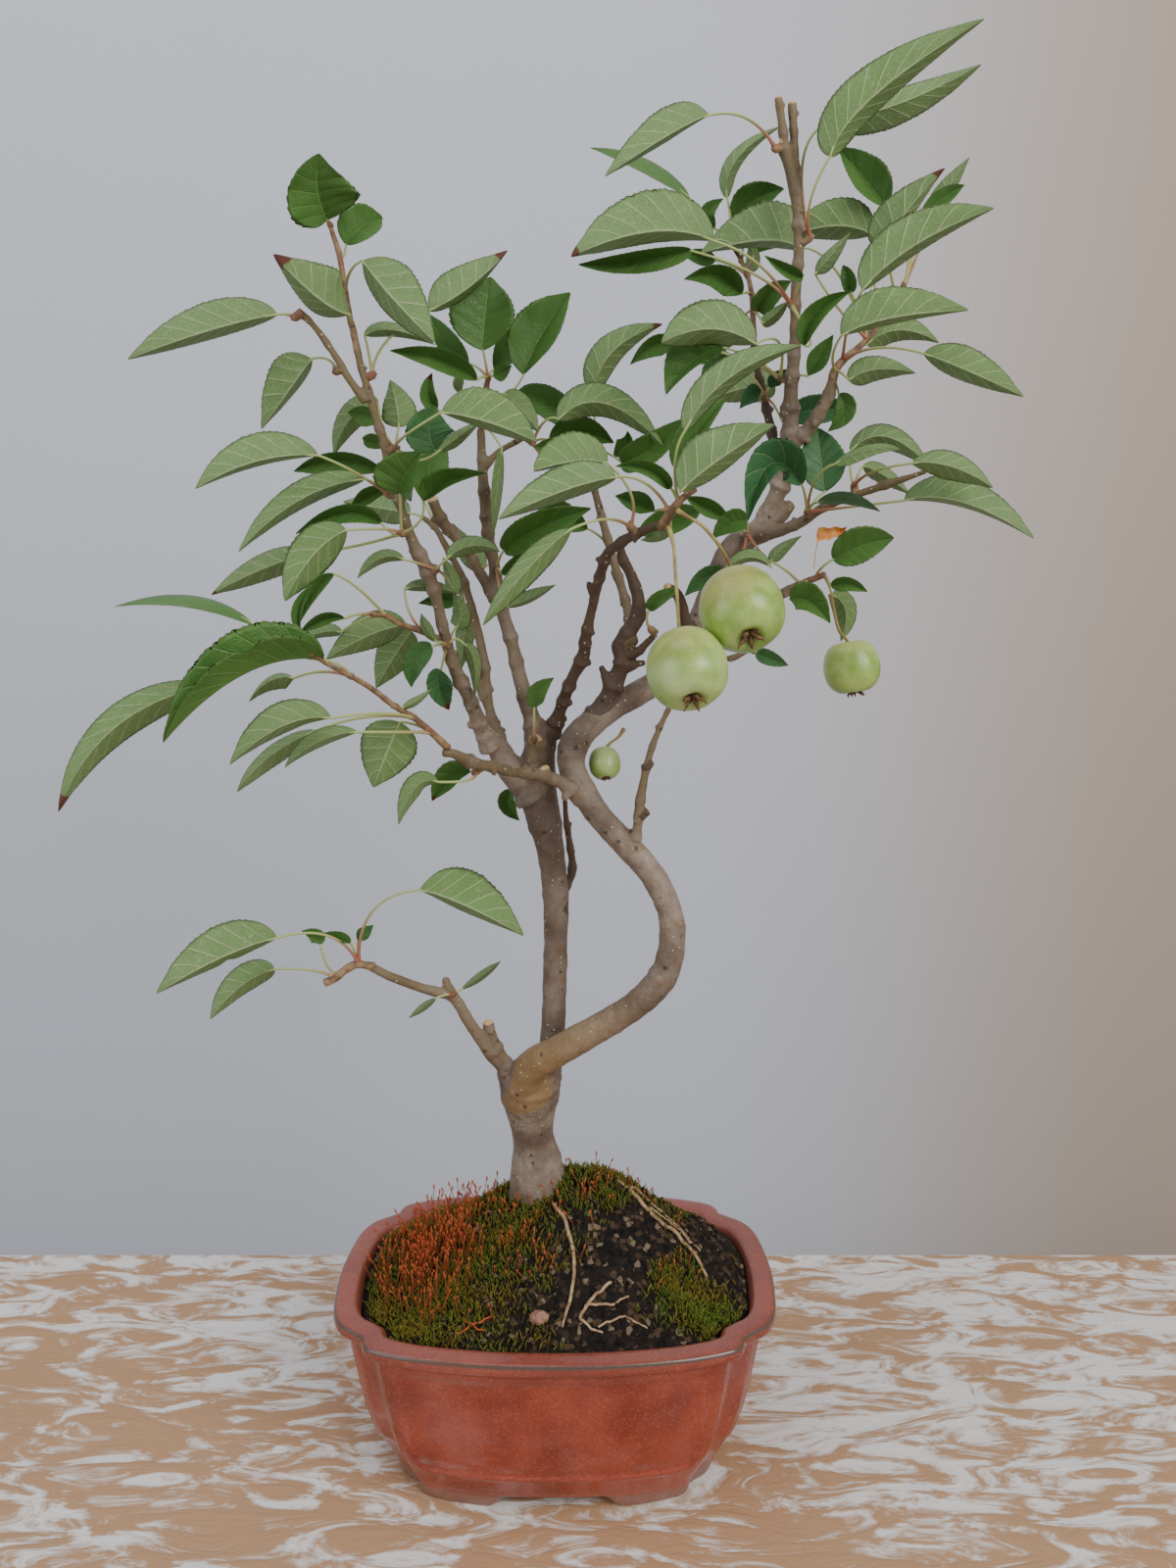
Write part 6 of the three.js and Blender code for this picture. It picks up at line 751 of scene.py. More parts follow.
      (101.3,6.7,532.2,102.9,2.3,537.4,104.5,-2,540.8,97.2,-3.9,543.4,87.8,-6,548.6,4.5,-57,-50,-0.15,-0.96,-0.23,0,0,0),
      (101.3,6.7,532.2,107.8,-3.7,516.9,104.8,-10,512.7,108,-12.2,524.1,122.1,-16,532.8,8,-57,-60,-0.19,-0.96,-0.19,0,0,0),
    ]},
  'right_upper_b': {
    'bud': (108.31,6.21,558.56,1.9), 'on': (104.11,8,556.25,2.27),
    'leaves': [
      (108.3,6.2,558.6,106.4,-3.8,570.2,112.6,-10,584.9,128.2,-15,605.5,167.1,-24,629.2,13.9,31,67,-0.23,-0.92,-0.33,0,0,1),
      (108.3,6.2,558.6,105.5,11,591.6,117.9,14,606.2,148.3,19.3,615.6,180.3,20,630.2,12.4,60,48,-0.23,-0.92,-0.33,0,0,1),
    ]},
  'right_mid': {
    'bud': (98.93,15.91,503.7,1.9), 'on': (103.91,14.23,502.63,3.02),
    'leaves': [
      (98.9,15.9,503.7,95.8,-0.2,515.6,84.5,-10,513.4,65.1,-17.6,517.8,44.7,-28,510.6,13.1,59,29,-0.1,-0.98,-0.17,0,0,1),
      (98.9,15.9,503.7,85.8,10,511.2,72.8,4,514.3,60.3,3.3,509.1,48.6,0,494.7,14.1,-75,-20,-0.09,-0.98,-0.15,0,0,0),
      (98.9,15.9,503.7,79,13.6,512.4,54.2,12.2,517,44.2,14.3,517.3,33.7,14.2,509.2,6.4,-37,-53,-0.05,-0.98,-0.17,0,0,0),
      (98.9,15.9,503.7,105.2,17.1,505.2,111.5,18.4,505,116.1,21.4,512,122.8,22.4,522.8,6.9,-47,-51,-0.18,-0.97,-0.16,0,0,0),
      (98.9,15.9,503.7,101.7,42.2,510.1,104.6,68.5,509,91.7,77.9,508.5,74.3,84.5,503.9,11.4,48,48,-0.12,-0.98,-0.14,0,0,1),
    ]},
  'right_spur': {
    'stem': [(121.1,12,502.2,2.08),(122.1,12,506.4,1.95),(125.5,13,510.6,1.69),(130.7,14,514.8,1.48),(136.2,15,519.9,1.27),(142,14,526.9,1.14),(147,12,535.3,1.05),(149.8,11,540.6,0.92)],
    'leaves': [
      (125.5,13,510.6,123.7,-5,522.5,126.4,-16,533.1,145.6,-22.6,548.6,171.8,-34,558.8,14,27,77,-0.25,-0.94,-0.23,0,0,1),
      (122.1,12,506.4,116.8,-9.1,509.4,117.2,-22,514.3,135.2,-30.6,519.4,163,-38,520.8,13.1,20,80,-0.24,-0.95,-0.18,0,0,1),
      (130.7,14,514.8,134.1,18,517.5,137.5,22,518.7,152,22.9,525,170.9,28,520.5,10.3,48,57,-0.24,-0.96,-0.17,0,0,1),
      (125.5,13,510.6,137.4,1.2,513.8,155,-6,510.3,172.2,-12.3,502.3,194.2,-16,491.7,10.9,35,66,-0.29,-0.94,-0.14,0,0,1),
      (122.1,12,506.4,124.3,8,504.6,126.5,4,501.2,138.6,4.6,505.7,155.8,8,504.6,9.2,50,54,-0.23,-0.96,-0.15,0,0,1),
      (121.3,12,503.6,123.1,13.6,500.9,124.8,15.2,497.1,127.7,15.5,489.8,121.1,17.2,481.7,5.6,-32,-32,-0.19,-0.97,-0.12,0,0,0),
      (149.8,11,540.6,152.7,20.3,558.5,144.8,26,575.5,136.7,31.6,588.6,124.2,34,602.8,10.7,-61,-28,-0.2,-0.94,-0.28,0,0,0),
      (147,12,535.3,143.5,8,544.3,140.1,4,550.6,143.6,-2.2,562.8,160.6,-4,582.4,13.3,35,71,-0.24,-0.94,-0.26,0,0.9,1),
      (149.8,11,540.6,160.3,25.3,560.6,166.2,34,576.5,174.4,37.7,588,184.1,42,601,6.5,48,53,-0.26,-0.92,-0.27,0,0,1),
      (149.8,11,540.6,155.4,19.1,555.9,158.5,24,570.6,168.1,26.6,579.6,177.8,26,585,5.5,-46,-46,-0.26,-0.93,-0.26,0,0,0),
      (136.2,15,519.9,121.5,16.7,548.6,106.2,17.7,557.5,89.8,21.5,561.2,64.7,27.7,557.6,16.5,80,18,-0.12,-0.96,-0.24,0,0,1),
      (142,14,526.9,140.5,25.2,545.3,140.3,32,566.3,123.8,31.8,569.9,102.2,36,566.1,12,62,15,-0.18,-0.95,-0.24,0,0,1),
      (136.2,15,519.9,122.9,8.2,529.7,110.8,4,543.7,115.9,1.7,549.7,124.5,2,559.7,5.3,57,46,-0.19,-0.95,-0.23,0,0,1),
      (136.2,15,519.9,131.9,13.5,530.6,127.6,12,538.4,126.1,9.9,543.1,123.8,12,549,4.2,-37,-46,-0.2,-0.96,-0.22,0,0,0),
    ]},
  'right_back_top': {
    'stem': [(89.3,33,526.2,1.4),(88.6,32.5,534.6,1.22),(87.9,32,541.9,1.13),(86,32,549.3,1.04),(83.1,34,556.3,0.95),(79.7,36,562.5,0.87)],
    'leaves': [
      (79.7,36,562.5,70.2,42.7,574,60.3,46.8,586.2,39.8,54.3,602,16.3,58.8,610.4,8.9,-70,70,-0.04,-0.96,-0.29,0,0,0),
      (79.7,36,562.5,78.6,39.4,575.2,77.4,42.8,584.6,81.5,43.1,600.9,101.2,46.8,615.4,7.4,58,62,-0.12,-0.95,-0.3,0,0,1),
      (79.7,36,562.5,75.7,37.4,567.5,71.6,38.8,570.9,68.1,35.2,576,74.8,34.8,581.9,4.3,-26,-37,-0.1,-0.96,-0.26,0,0,0),
      (83.1,34,556.3,84.1,40.2,565.2,80.4,44,574.3,89,44.6,583.9,102.5,42,588.1,10.1,-42,-49,-0.13,-0.96,-0.27,0,0,0),
      (87.9,32,541.9,85.4,29,541.8,82.9,26,540.6,71.6,22.6,547.1,56.7,16,544.4,8.9,-44,-55,-0.1,-0.97,-0.21,0,0,0),
      (86,32,549.3,79.2,36,554.7,72.4,40,557.7,65.3,39.4,559.2,56.9,38,560.5,4.8,-43,-43,-0.09,-0.97,-0.23,0,0,0),
      (86,32,549.3,87.4,39.3,553.3,88.7,46.7,555.1,90.3,49.8,561.7,88.7,48.7,567.7,4.5,46,37,-0.12,-0.96,-0.23,0,0,1),
      (88.6,32.5,534.6,89.9,32.3,534.7,91.2,32,534.5,94.6,26.8,540,104.2,26,545.9,7.3,-50,-45,-0.14,-0.97,-0.21,0,0,0),
      (88.6,32.5,534.6,89.9,25.2,531.9,91.1,18,526.9,96.3,19.3,530.4,101.6,16,535.3,4.3,46,46,-0.15,-0.97,-0.19,0,0,1),
      (86,32,549.3,90,47.7,560.6,93.9,63.3,566.7,107.5,70.7,578,127.1,77.3,583.2,11.1,-48,-48,-0.15,-0.96,-0.25,0,0,0),
      (88.6,32.5,534.6,87.6,45.2,536.4,86.7,58,534.5,78,61,529,69.4,66,517.5,9.2,-46,-46,-0.11,-0.98,-0.17,0,0,0),
    ]},
  'right_back_low': {
    'bud': (94.17,28.52,497.58,1.9), 'on': (94.92,32.48,496.59,1.82),
    'leaves': [
      (94.2,28.5,497.6,93.2,26.3,498.7,92.3,24,499.2,87.6,24.6,498,82.6,22,491.8,6.5,-37,-53,-0.13,-0.98,-0.13,0,0,0),
      (94.2,28.5,497.6,94.8,23.9,499.6,95.4,19.3,500.2,97.6,20.1,504,102.1,19.3,508,3.9,-39,-27,-0.15,-0.98,-0.15,0,0,0),
      (94.2,28.5,497.6,90.7,29.4,504.1,81.9,30,512.6,72.4,31.4,511.1,66.1,28,501,7.5,-40,-45,-0.1,-0.98,-0.15,0,0,0),
      (94.2,28.5,497.6,100.4,41.3,495.9,106.5,54,490.1,121.8,58,495.9,140.2,66,496,10.2,-50,-47,-0.18,-0.98,-0.12,0,0,0),
    ]},
  'front_left_low': {
    'bud': (-31.48,-37.36,339.05,1.9), 'on': (-27.91,-38.37,341.98,2.39),
    'leaves': [
      (-31.5,-37.4,339.1,-33,-51.4,338.1,-44.3,-60,338.9,-52.5,-65.6,337.5,-58.4,-72,324.3,6.2,60,36,0.14,-0.97,0.2,0,0,1),
      (-31.5,-37.4,339.1,-32.7,-35.7,339,-34,-34,338.3,-42.4,-32.1,335.8,-50.8,-30,325.3,7.9,-58,-38,0.12,-0.98,0.18,0,0.9,0),
    ]},
  'trunk_leaf': {
    'bud': (-19.96,26.76,323.48,1.9), 'on': (-15.81,18.06,326.66,7.83),
    'leaves': [
      (-20,26.8,323.5,-20.2,31.4,321.2,-20.5,36,317.4,-23.4,36.8,310.5,-17.8,36,302.4,5.7,-41,-34,0.06,-0.98,0.2,0,0,0),
    ]},
  'fruit_twig_leaf': {
    'bud': (89.54,6.75,386.14,1.9), 'on': (89.3,10,387.27,1.14),
    'leaves': [
      (89.5,6.8,386.1,89.9,5.4,386,90.3,4,385.5,95.9,0.7,383.2,103.7,0,380.2,4.3,-37,-37,-0.15,-0.99,0.08,0,0,0),
    ]},
  'gnarly_leaf': {
    'bud': (42.87,-2.87,396.18,1.9), 'on': (45.06,-1,394.01,1.29),
    'leaves': [
      (42.9,-2.9,396.2,40.9,-6.1,399.8,41.6,-8,404.9,46.1,-9.3,409.5,54.3,-6,413.6,5,-48,-54,-0.06,-1,0.03,0,0,0),
    ]},
}

# ----------------------------------------------------------------------- wood
def build_wood():
    rng = np.random.default_rng(7)
    g = Geo()
    samples = []
    cutnames = {"brown_cut", "right_stub1", "right_stub2", "fruit_stub", "fork_stub", "stub_a", "stub_b", "low_stub", "fl_k", "right_stem"}
    darknames = {"centre", "centre_k1", "gnarly", "gn_b1", "gn_b2", "gn_b3", "right_back", "back_twig", "fruit_stub", "ts_k1", "ts_k2"}
    for name, pts in BRANCHES.items():
        pts = [list(p) for p in pts]
        if name == "trunk_base":
            b = pts[0]
            pts = [[b[0], b[1], 104, b[3] * 1.25], [b[0], b[1], b[2] - 4, b[3] * 1.08]] + pts
        path = crom(pts, 1.3)
        r0 = path[:, 3].copy()
        s = np.r_[0, np.cumsum(np.linalg.norm(np.diff(path[:, :3], axis=0), axis=1))]
        big = r0.max() > 5
        wob = np.array([noise.noise(Vector((x * 0.11, len(name) * 3.1, 1.7))) for x in s])
        rr = r0 * (1 + (0.05 if big else 0.11) * wob)
        # swollen nodes where leaves once sat
        pos = rng.uniform(4, 10)
        while pos < s[-1] - 2:
            amp = rng.uniform(0.12, 0.38) if not big else rng.uniform(0.0, 0.07)
            rr *= 1 + amp * np.exp(-((s - pos) / 1.7) ** 2)
            if not big and r0.max() < 4.5:
                k = int(np.argmin(abs(s - pos)))
                a = rng.uniform(0, 2 * np.pi)
                off = np.array([math.cos(a), math.sin(a) * 0.7, math.sin(a)])
                d = rr[k] * 0.95
                v, q, t = tube(np.array([[*(path[k, :3] + off * d * 0.5), rr[k] * 0.5], [*(path[k, :3] + off * (d + 0.6)), rr[k] * 0.38], [*(path[k, :3] + off * (d + 1.1)), 0.25]]), 7)
                g.add(v, q, t)
            pos += rng.uniform(7, 17) if not big else rng.uniform(20, 45)
        path = path.copy()
        path[:, 3] = rr
        sides = 18 if big else 12
        v, q, t = tube(path, sides)
        g.add(v, q, t)
        # a collar where a branch leaves its parent
        if name not in ("trunk_base", "straight", "curved"):
            c = path[0]
            v, q, t = tube(np.array([[*c[:3], c[3] * 1.35], [*path[min(2, len(path) - 1)][:3], c[3] * 1.22], [*path[min(4, len(path) - 1)][:3], c[3] * 1.02]]), 12)
            g.add(v, q, t)
        for k in range(0, len(path)):
            p = path[k]
            young = min(max((4.2 - p[3]) / 2.6, 0), 1)
            dark = 1.0 if name in darknames else (0.35 if name in ("straight",) else 0.0)
            olive = 0.0
            if name == "curved":
                olive = min(max((235 - p[2]) / 40, 0), 1)
            cut = 1.0 if (name in cutnames and k > len(path) - 2) else 0.0
            samples.append((P(p[:3]), young, dark, olive, cut))
    # root flare at the soil
    base = np.array(BRANCHES["trunk_base"][0][:3])
    for a in range(7):
        an = a * 2 * math.pi / 7 + 0.35
        d = np.array([math.cos(an), math.sin(an), 0])
        r = 4.2 + 1.6 * math.sin(a * 2.3)
        pts = [[*(base + d * 7 + [0, 0, 16]), r * 0.8], [*(base + d * 10 + [0, 0, 3]), r], [*(base + d * 17 + [0, 0, -8]), r * 0.8], [*(base + d * 26 + [0, 0, -19]), r * 0.45]]
        v, q, t = tube(crom(pts, 1.5), 10)
        g.add(v, q, t)
    ob = g.make("wood_raw", [BARK])
    mod = ob.modifiers.new("r", "REMESH")
    mod.mode = "VOXEL"
    mod.voxel_size = 0.00062
    mod.use_smooth_shade = True
    sm = ob.modifiers.new("s", "SMOOTH")
    sm.factor = 0.5
    sm.iterations = 3
    dg = bpy.context.evaluated_depsgraph_get()
    me = bpy.data.meshes.new_from_object(ob.evaluated_get(dg))
    bpy.data.objects.remove(ob)
    me.name = "wood"
    n = len(me.vertices)
    co = np.empty(n * 3, np.float32)
    me.vertices.foreach_get("co", co)
    co = co.reshape(-1, 3).astype(float)
    no = np.empty(n * 3, np.float32)
    me.vertex_normals.foreach_get("vector", no)
    no = no.reshape(-1, 3).astype(float)
    kd = kdtree.KDTree(len(samples))
    for i, sdat in enumerate(samples):
        kd.insert(Vector(sdat[0]), i)
    kd.balance()
    A = np.zeros((n, 4))
    SP = np.array([s[1:] for s in samples])
    for i in range(n):
        _, j, dist = kd.find(co[i])
        A[i] = (SP[j, 0], SP[j, 1], SP[j, 3], SP[j, 2])
    # ridged, slightly knobbly bark
    disp = np.array([noise.noise(Vector(c * 210.0)) * 0.00028 + noise.noise(Vector((c[0] * 620, c[1] * 620, c[2] * 260))) * 0.00016 for c in co])
    co += no * disp[:, None] * (1.0 - 0.5 * A[:, :1])
    me.vertices.foreach_set("co", co.astype(np.float32).ravel())
    me.attributes.new("inf", "FLOAT_COLOR", "POINT").data.foreach_set("color", A.astype(np.float32).ravel())
    me.materials.clear()
    me.materials.append(BARK)
    me.polygons.foreach_set("use_smooth", np.ones(len(me.polygons), bool))
    me.update()
    ob = bpy.data.objects.new("wood", me)
    bpy.context.scene.collection.objects.link(ob)
    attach(ob, "root")
    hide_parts("tree_wood")


# --------------------------------------------------------------------- leaves
# painted shade per spray: how strongly its leaves are painted a shaded blue-green
PAINTED_SHADE = {"right_twig_base": 0.8, "right_back_low": 0.9, "left_low_b": 0.6}
VS = np.array([0, 0.05, 0.15, 0.3, 0.48, 0.67, 0.85, 1.0])
VV = np.r_[-VS[:0:-1], VS]


def bez(a, m, b, t):
    c = 2 * m - (a + b) / 2
    t = t[:, None]
    return a * (1 - t) ** 2 + c * 2 * t * (1 - t) + b * t ** 2


def bezd(a, m, b, t):
    c = 2 * m - (a + b) / 2
    t = t[:, None]
    d = (c - a) * (1 - t) + (b - c) * t
    return d / (np.linalg.norm(d, axis=1)[:, None] + 1e-12)


def add_leaf(g, row, rng, painted_shade):
    p0, pm, B, M, T = (np.array(row[3 * i:3 * i + 3]) for i in range(5))
    W, aL, aR = row[15], math.radians(row[16]), math.radians(row[17])
    N0 = np.array(row[18:21])
    flags, brown, side = int(row[21]), row[22], int(row[23])
    L = np.linalg.norm(M - B) + np.linalg.norm(T - M)
    nu = 64
    t = np.linspace(0, 1, nu) ** 1.0
    c = bez(B, M, T, t)
    d = bezd(B, M, T, t)
    S = np.cross(N0, d)
    S /= np.linalg.norm(S, axis=1)[:, None] + 1e-12
    Nn = np.cross(d, S)
    broad = flags & 1
    gt = np.maximum(np.sin(np.pi * np.clip(t, 0, 1) ** (0.95 if broad else 0.78)), 0) ** (0.6 if broad else 0.74)
    # a short drawn-out tip
    gt *= 1 - 0.12 * np.exp(-((t - 0.93) / 0.06) ** 2)
    teeth = max(int(L / 2.3), 7)
    saw = (t * teeth) % 1.0
    up = 1.0 if side == 0 else -1.0  # the upper face's side of Nn
    rnd = rng.random()
    ph, ph2 = rng.random() * 6.3, rng.random() * 6.3
    amp = (0.03 + 0.05 * rng.random()) * W
    nveins = max(6, min(9, int(L / 7)))
    cols = []
    for v in VV:
        av = abs(v)
        w = W * gt * (1 + (0.055 * (saw - 0.5) * (av > 0.9) * np.clip((t - 0.06) / 0.1, 0, 1)))
        if flags & 2 and v > 0.6:
            w = w * (1 - 0.35 * np.exp(-((t - 0.45) / 0.05) ** 2) * (av - 0.5) * 2)
        w = np.maximum(w, 0.35)
        a = aL if v > 0 else aR
        sgn = 1 if v >= 0 else -1
        # the fold is softer near the midrib, and the margin curls a little
        drop = -math.sin(a) * (0.72 * av + 0.28 * av ** 2)
        p = c + (w * av * math.cos(a) * sgn)[:, None] * S + (w * drop)[:, None] * Nn
        cv = nveins * (t - 0.24 * av + 0.05 * av * av)
        wave = amp * av ** 2 * np.sin(2 * np.pi * (2.3 + 0.6 * sgn * rnd) * t + ph + (1.7 if sgn > 0 else 0))
        puff = 0.028 * W * np.cos(2 * np.pi * cv) * av ** 0.5 * (1 - 0.55 * av) * up
        p = p + ((wave + puff) * gt)[:, None] * Nn
        cols.append((p, cv))
    h = 0.17
    ring, bt = [], []
    m = len(VV)
    mid = m // 2
    order = [(k, 1) for k in range(m - 1, -1, -1)] + [(k, -1) for k in range(1, m - 1)]
    V = np.zeros((nu, len(order), 3))
    Bv = np.zeros((nu, len(order), 3))
    Av = np.zeros((nu, len(order), 4))
    tipm = np.clip((t - brown) / max(1 - brown, 1e-3), 0, 1) * 1.6 if brown > 0 else np.zeros(nu)
    for j, (k, s) in enumerate(order):
        av = abs(VV[k])
        p, cv = cols[k]
        hh = h * (1 - av ** 3)
        if k == mid:
            hh = h + ((0.42 if s * up < 0 else -0.02) * (1 - 0.7 * t))
        V[:, j] = p + (s * hh * np.ones(nu))[:, None] * Nn
        Bv[:, j, 0] = t
        Bv[:, j, 1] = VV[k]
        Bv[:, j, 2] = cv
        Av[:, j, 0] = rnd
        Av[:, j, 1] = 1.0 if s * up > 0 else 0.0
        Av[:, j, 2] = tipm
        # the painted shade amount goes in the fourth channel
        Av[:, j, 3] = painted_shade
    g.add(V.reshape(-1, 3), grid_quads(nu, len(order)), None, 0, Av.reshape(-1, 4), Bv.reshape(-1, 3))
    # the stalk, running on into the midrib
    n = 18
    tt = np.linspace(0, 1, n)
    pc = bez(p0, pm, B, tt)
    ext = bez(B, M, T, np.array([0.03, 0.1]))
    off = -0.25 * up * Nn[:1]
    pc = np.vstack([pc, ext + off])
    pr = np.r_[0.78 - 0.28 * tt ** 0.5 + 0.5 * np.exp(-(tt / 0.06) ** 2), 0.42, 0.3]
    v, q, tr = tube(np.hstack([pc, pr[:, None]]), 8)
    u = np.r_[np.repeat(np.r_[tt, 1, 1], 8), 0, 1]
    g.add(v, q, tr, 1, (rng.random(), 0, 0, 0), np.stack([u, u * 0, u * 0], 1))


def build_leaves():
    for si, (name, sp) in enumerate(SPRAYS.items()):
        rng = np.random.default_rng(100 + si)
        g = Geo()
        for k, row in enumerate(sp["leaves"]):
            if name in ("centre_back_low", "left_back_end"):  # these midribs run straight
                row = list(row)
                row[9:12] = [(row[6 + i] + row[12 + i]) / 2 for i in range(3)]
            # painted shade for this leaf; about one leaf in eight gets at least half
            painted_shade = PAINTED_SHADE.get(name, 0.0) * (0.4 + 0.6 * rng.random())
            if rng.random() < 0.12:
                painted_shade = max(painted_shade, 0.5)
            add_leaf(g, row, rng, painted_shade)
        if "stem" in sp:
            st = [list(p) for p in sp["stem"]]
            a, b = np.array(st[0][:3]), np.array(st[1][:3])
            d = (a - b) / np.linalg.norm(a - b)
            st = [[*(a + d * 2.6), st[0][3] * 1.05]] + st
            path = crom(st, 1.0)
            s = np.arange(len(path))
            path[:, 3] *= 1 + 0.12 * np.array([noise.noise(Vector((x * 0.35, si, 0))) for x in s])
            v, q, t = tube(path, 12)
            g.add(v, q, t, 2)
            tips = [np.array(st[-1][:3])]
        else:
            b, on = np.array(sp["bud"][:3]), np.array(sp["on"][:3])
            d = (b - on) / (np.linalg.norm(b - on) + 1e-9)
            path = np.array([[*(on + d * max(sp["on"][3] * 0.5, 0.5)), 2.0], [*(b - d * 1.4), 1.75], [*b, 1.8], [*(b + d * 1.2), 1.2], [*(b + d * 2.0), 0.5]])
            v, q, t = tube(crom(path, 0.6), 12)
            g.add(v, q, t, 2)
        # scales where the stalks start
        for row in sp["leaves"]:
            p0 = np.array(row[:3])
            pm = np.array(row[3:6])
            d = (pm - p0) / (np.linalg.norm(pm - p0) + 1e-9)
            v, q, t = tube(np.array([[*(p0 - d * 0.8), 1.3], [*(p0 + d * 0.5), 1.25], [*(p0 + d * 1.6), 0.85], [*(p0 + d * 2.2), 0.6]]), 8)
            g.add(v, q, t, 2)
        ob = g.make("spray_" + name, [LEAF, PET, TWIG])
        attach(ob, "root")
        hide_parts("leaves_" + name)


# ------------------------------------------------------------------------ pot
QUARTER = [
    (0, 1), (0.25, 0.988), (0.5, 0.945), (0.66, 0.896), (0.77, 0.838),
    (0.803, 0.775), (0.812, 0.722), (0.862, 0.663), (0.926, 0.59),
    (0.968, 0.46), (0.99, 0.25), (1, 0),
]


def outline(n):
    q = QUARTER
    o = [q[i] for i in range(len(q) - 1, 0, -1)]
    o += [(-q[i][0], q[i][1]) for i in range(len(q) - 1)]
    o += [(-q[i][0], -q[i][1]) for i in range(len(q) - 1, 0, -1)]
    o += [(q[i][0], -q[i][1]) for i in range(len(q) - 1)]
    p = np.array(o + o[:1])
    p = np.vstack([p[-2], p, p[1]])
    out = []
    for i in range(1, len(p) - 2):
        a, b, c, d = p[i - 1:i + 3]
        t = np.linspace(0, 1, n, endpoint=False)[:, None]
        out.append(0.5 * (2 * b + (c - a) * t + (2 * a - 5 * b + 4 * c - d) * t ** 2 + (3 * b - a - 3 * c + d) * t ** 3))
    o = np.vstack(out)
    k = len(o)
    for _ in range(1):
        o = 0.5 * o + 0.25 * (np.roll(o, 1, 0) + np.roll(o, -1, 0))
    return o


OUT = outline(7)
BODY = [(6, 0.748), (9, 0.757), (12, 0.772), (18, 0.803), (27, 0.846), (40, 0.881), (58, 0.913), (79, 0.944)]


def share(z):
    return np.interp(z, [b[0] for b in BODY], [b[1] for b in BODY])


def sstep(x, a, b):
    t = np.clip((x - a) / (b - a), 0, 1)
    return t * t * (3 - 2 * t)


def ring(hx, hy, z):
    return np.hstack([OUT * [hx, hy], np.full((len(OUT), 1), z)])


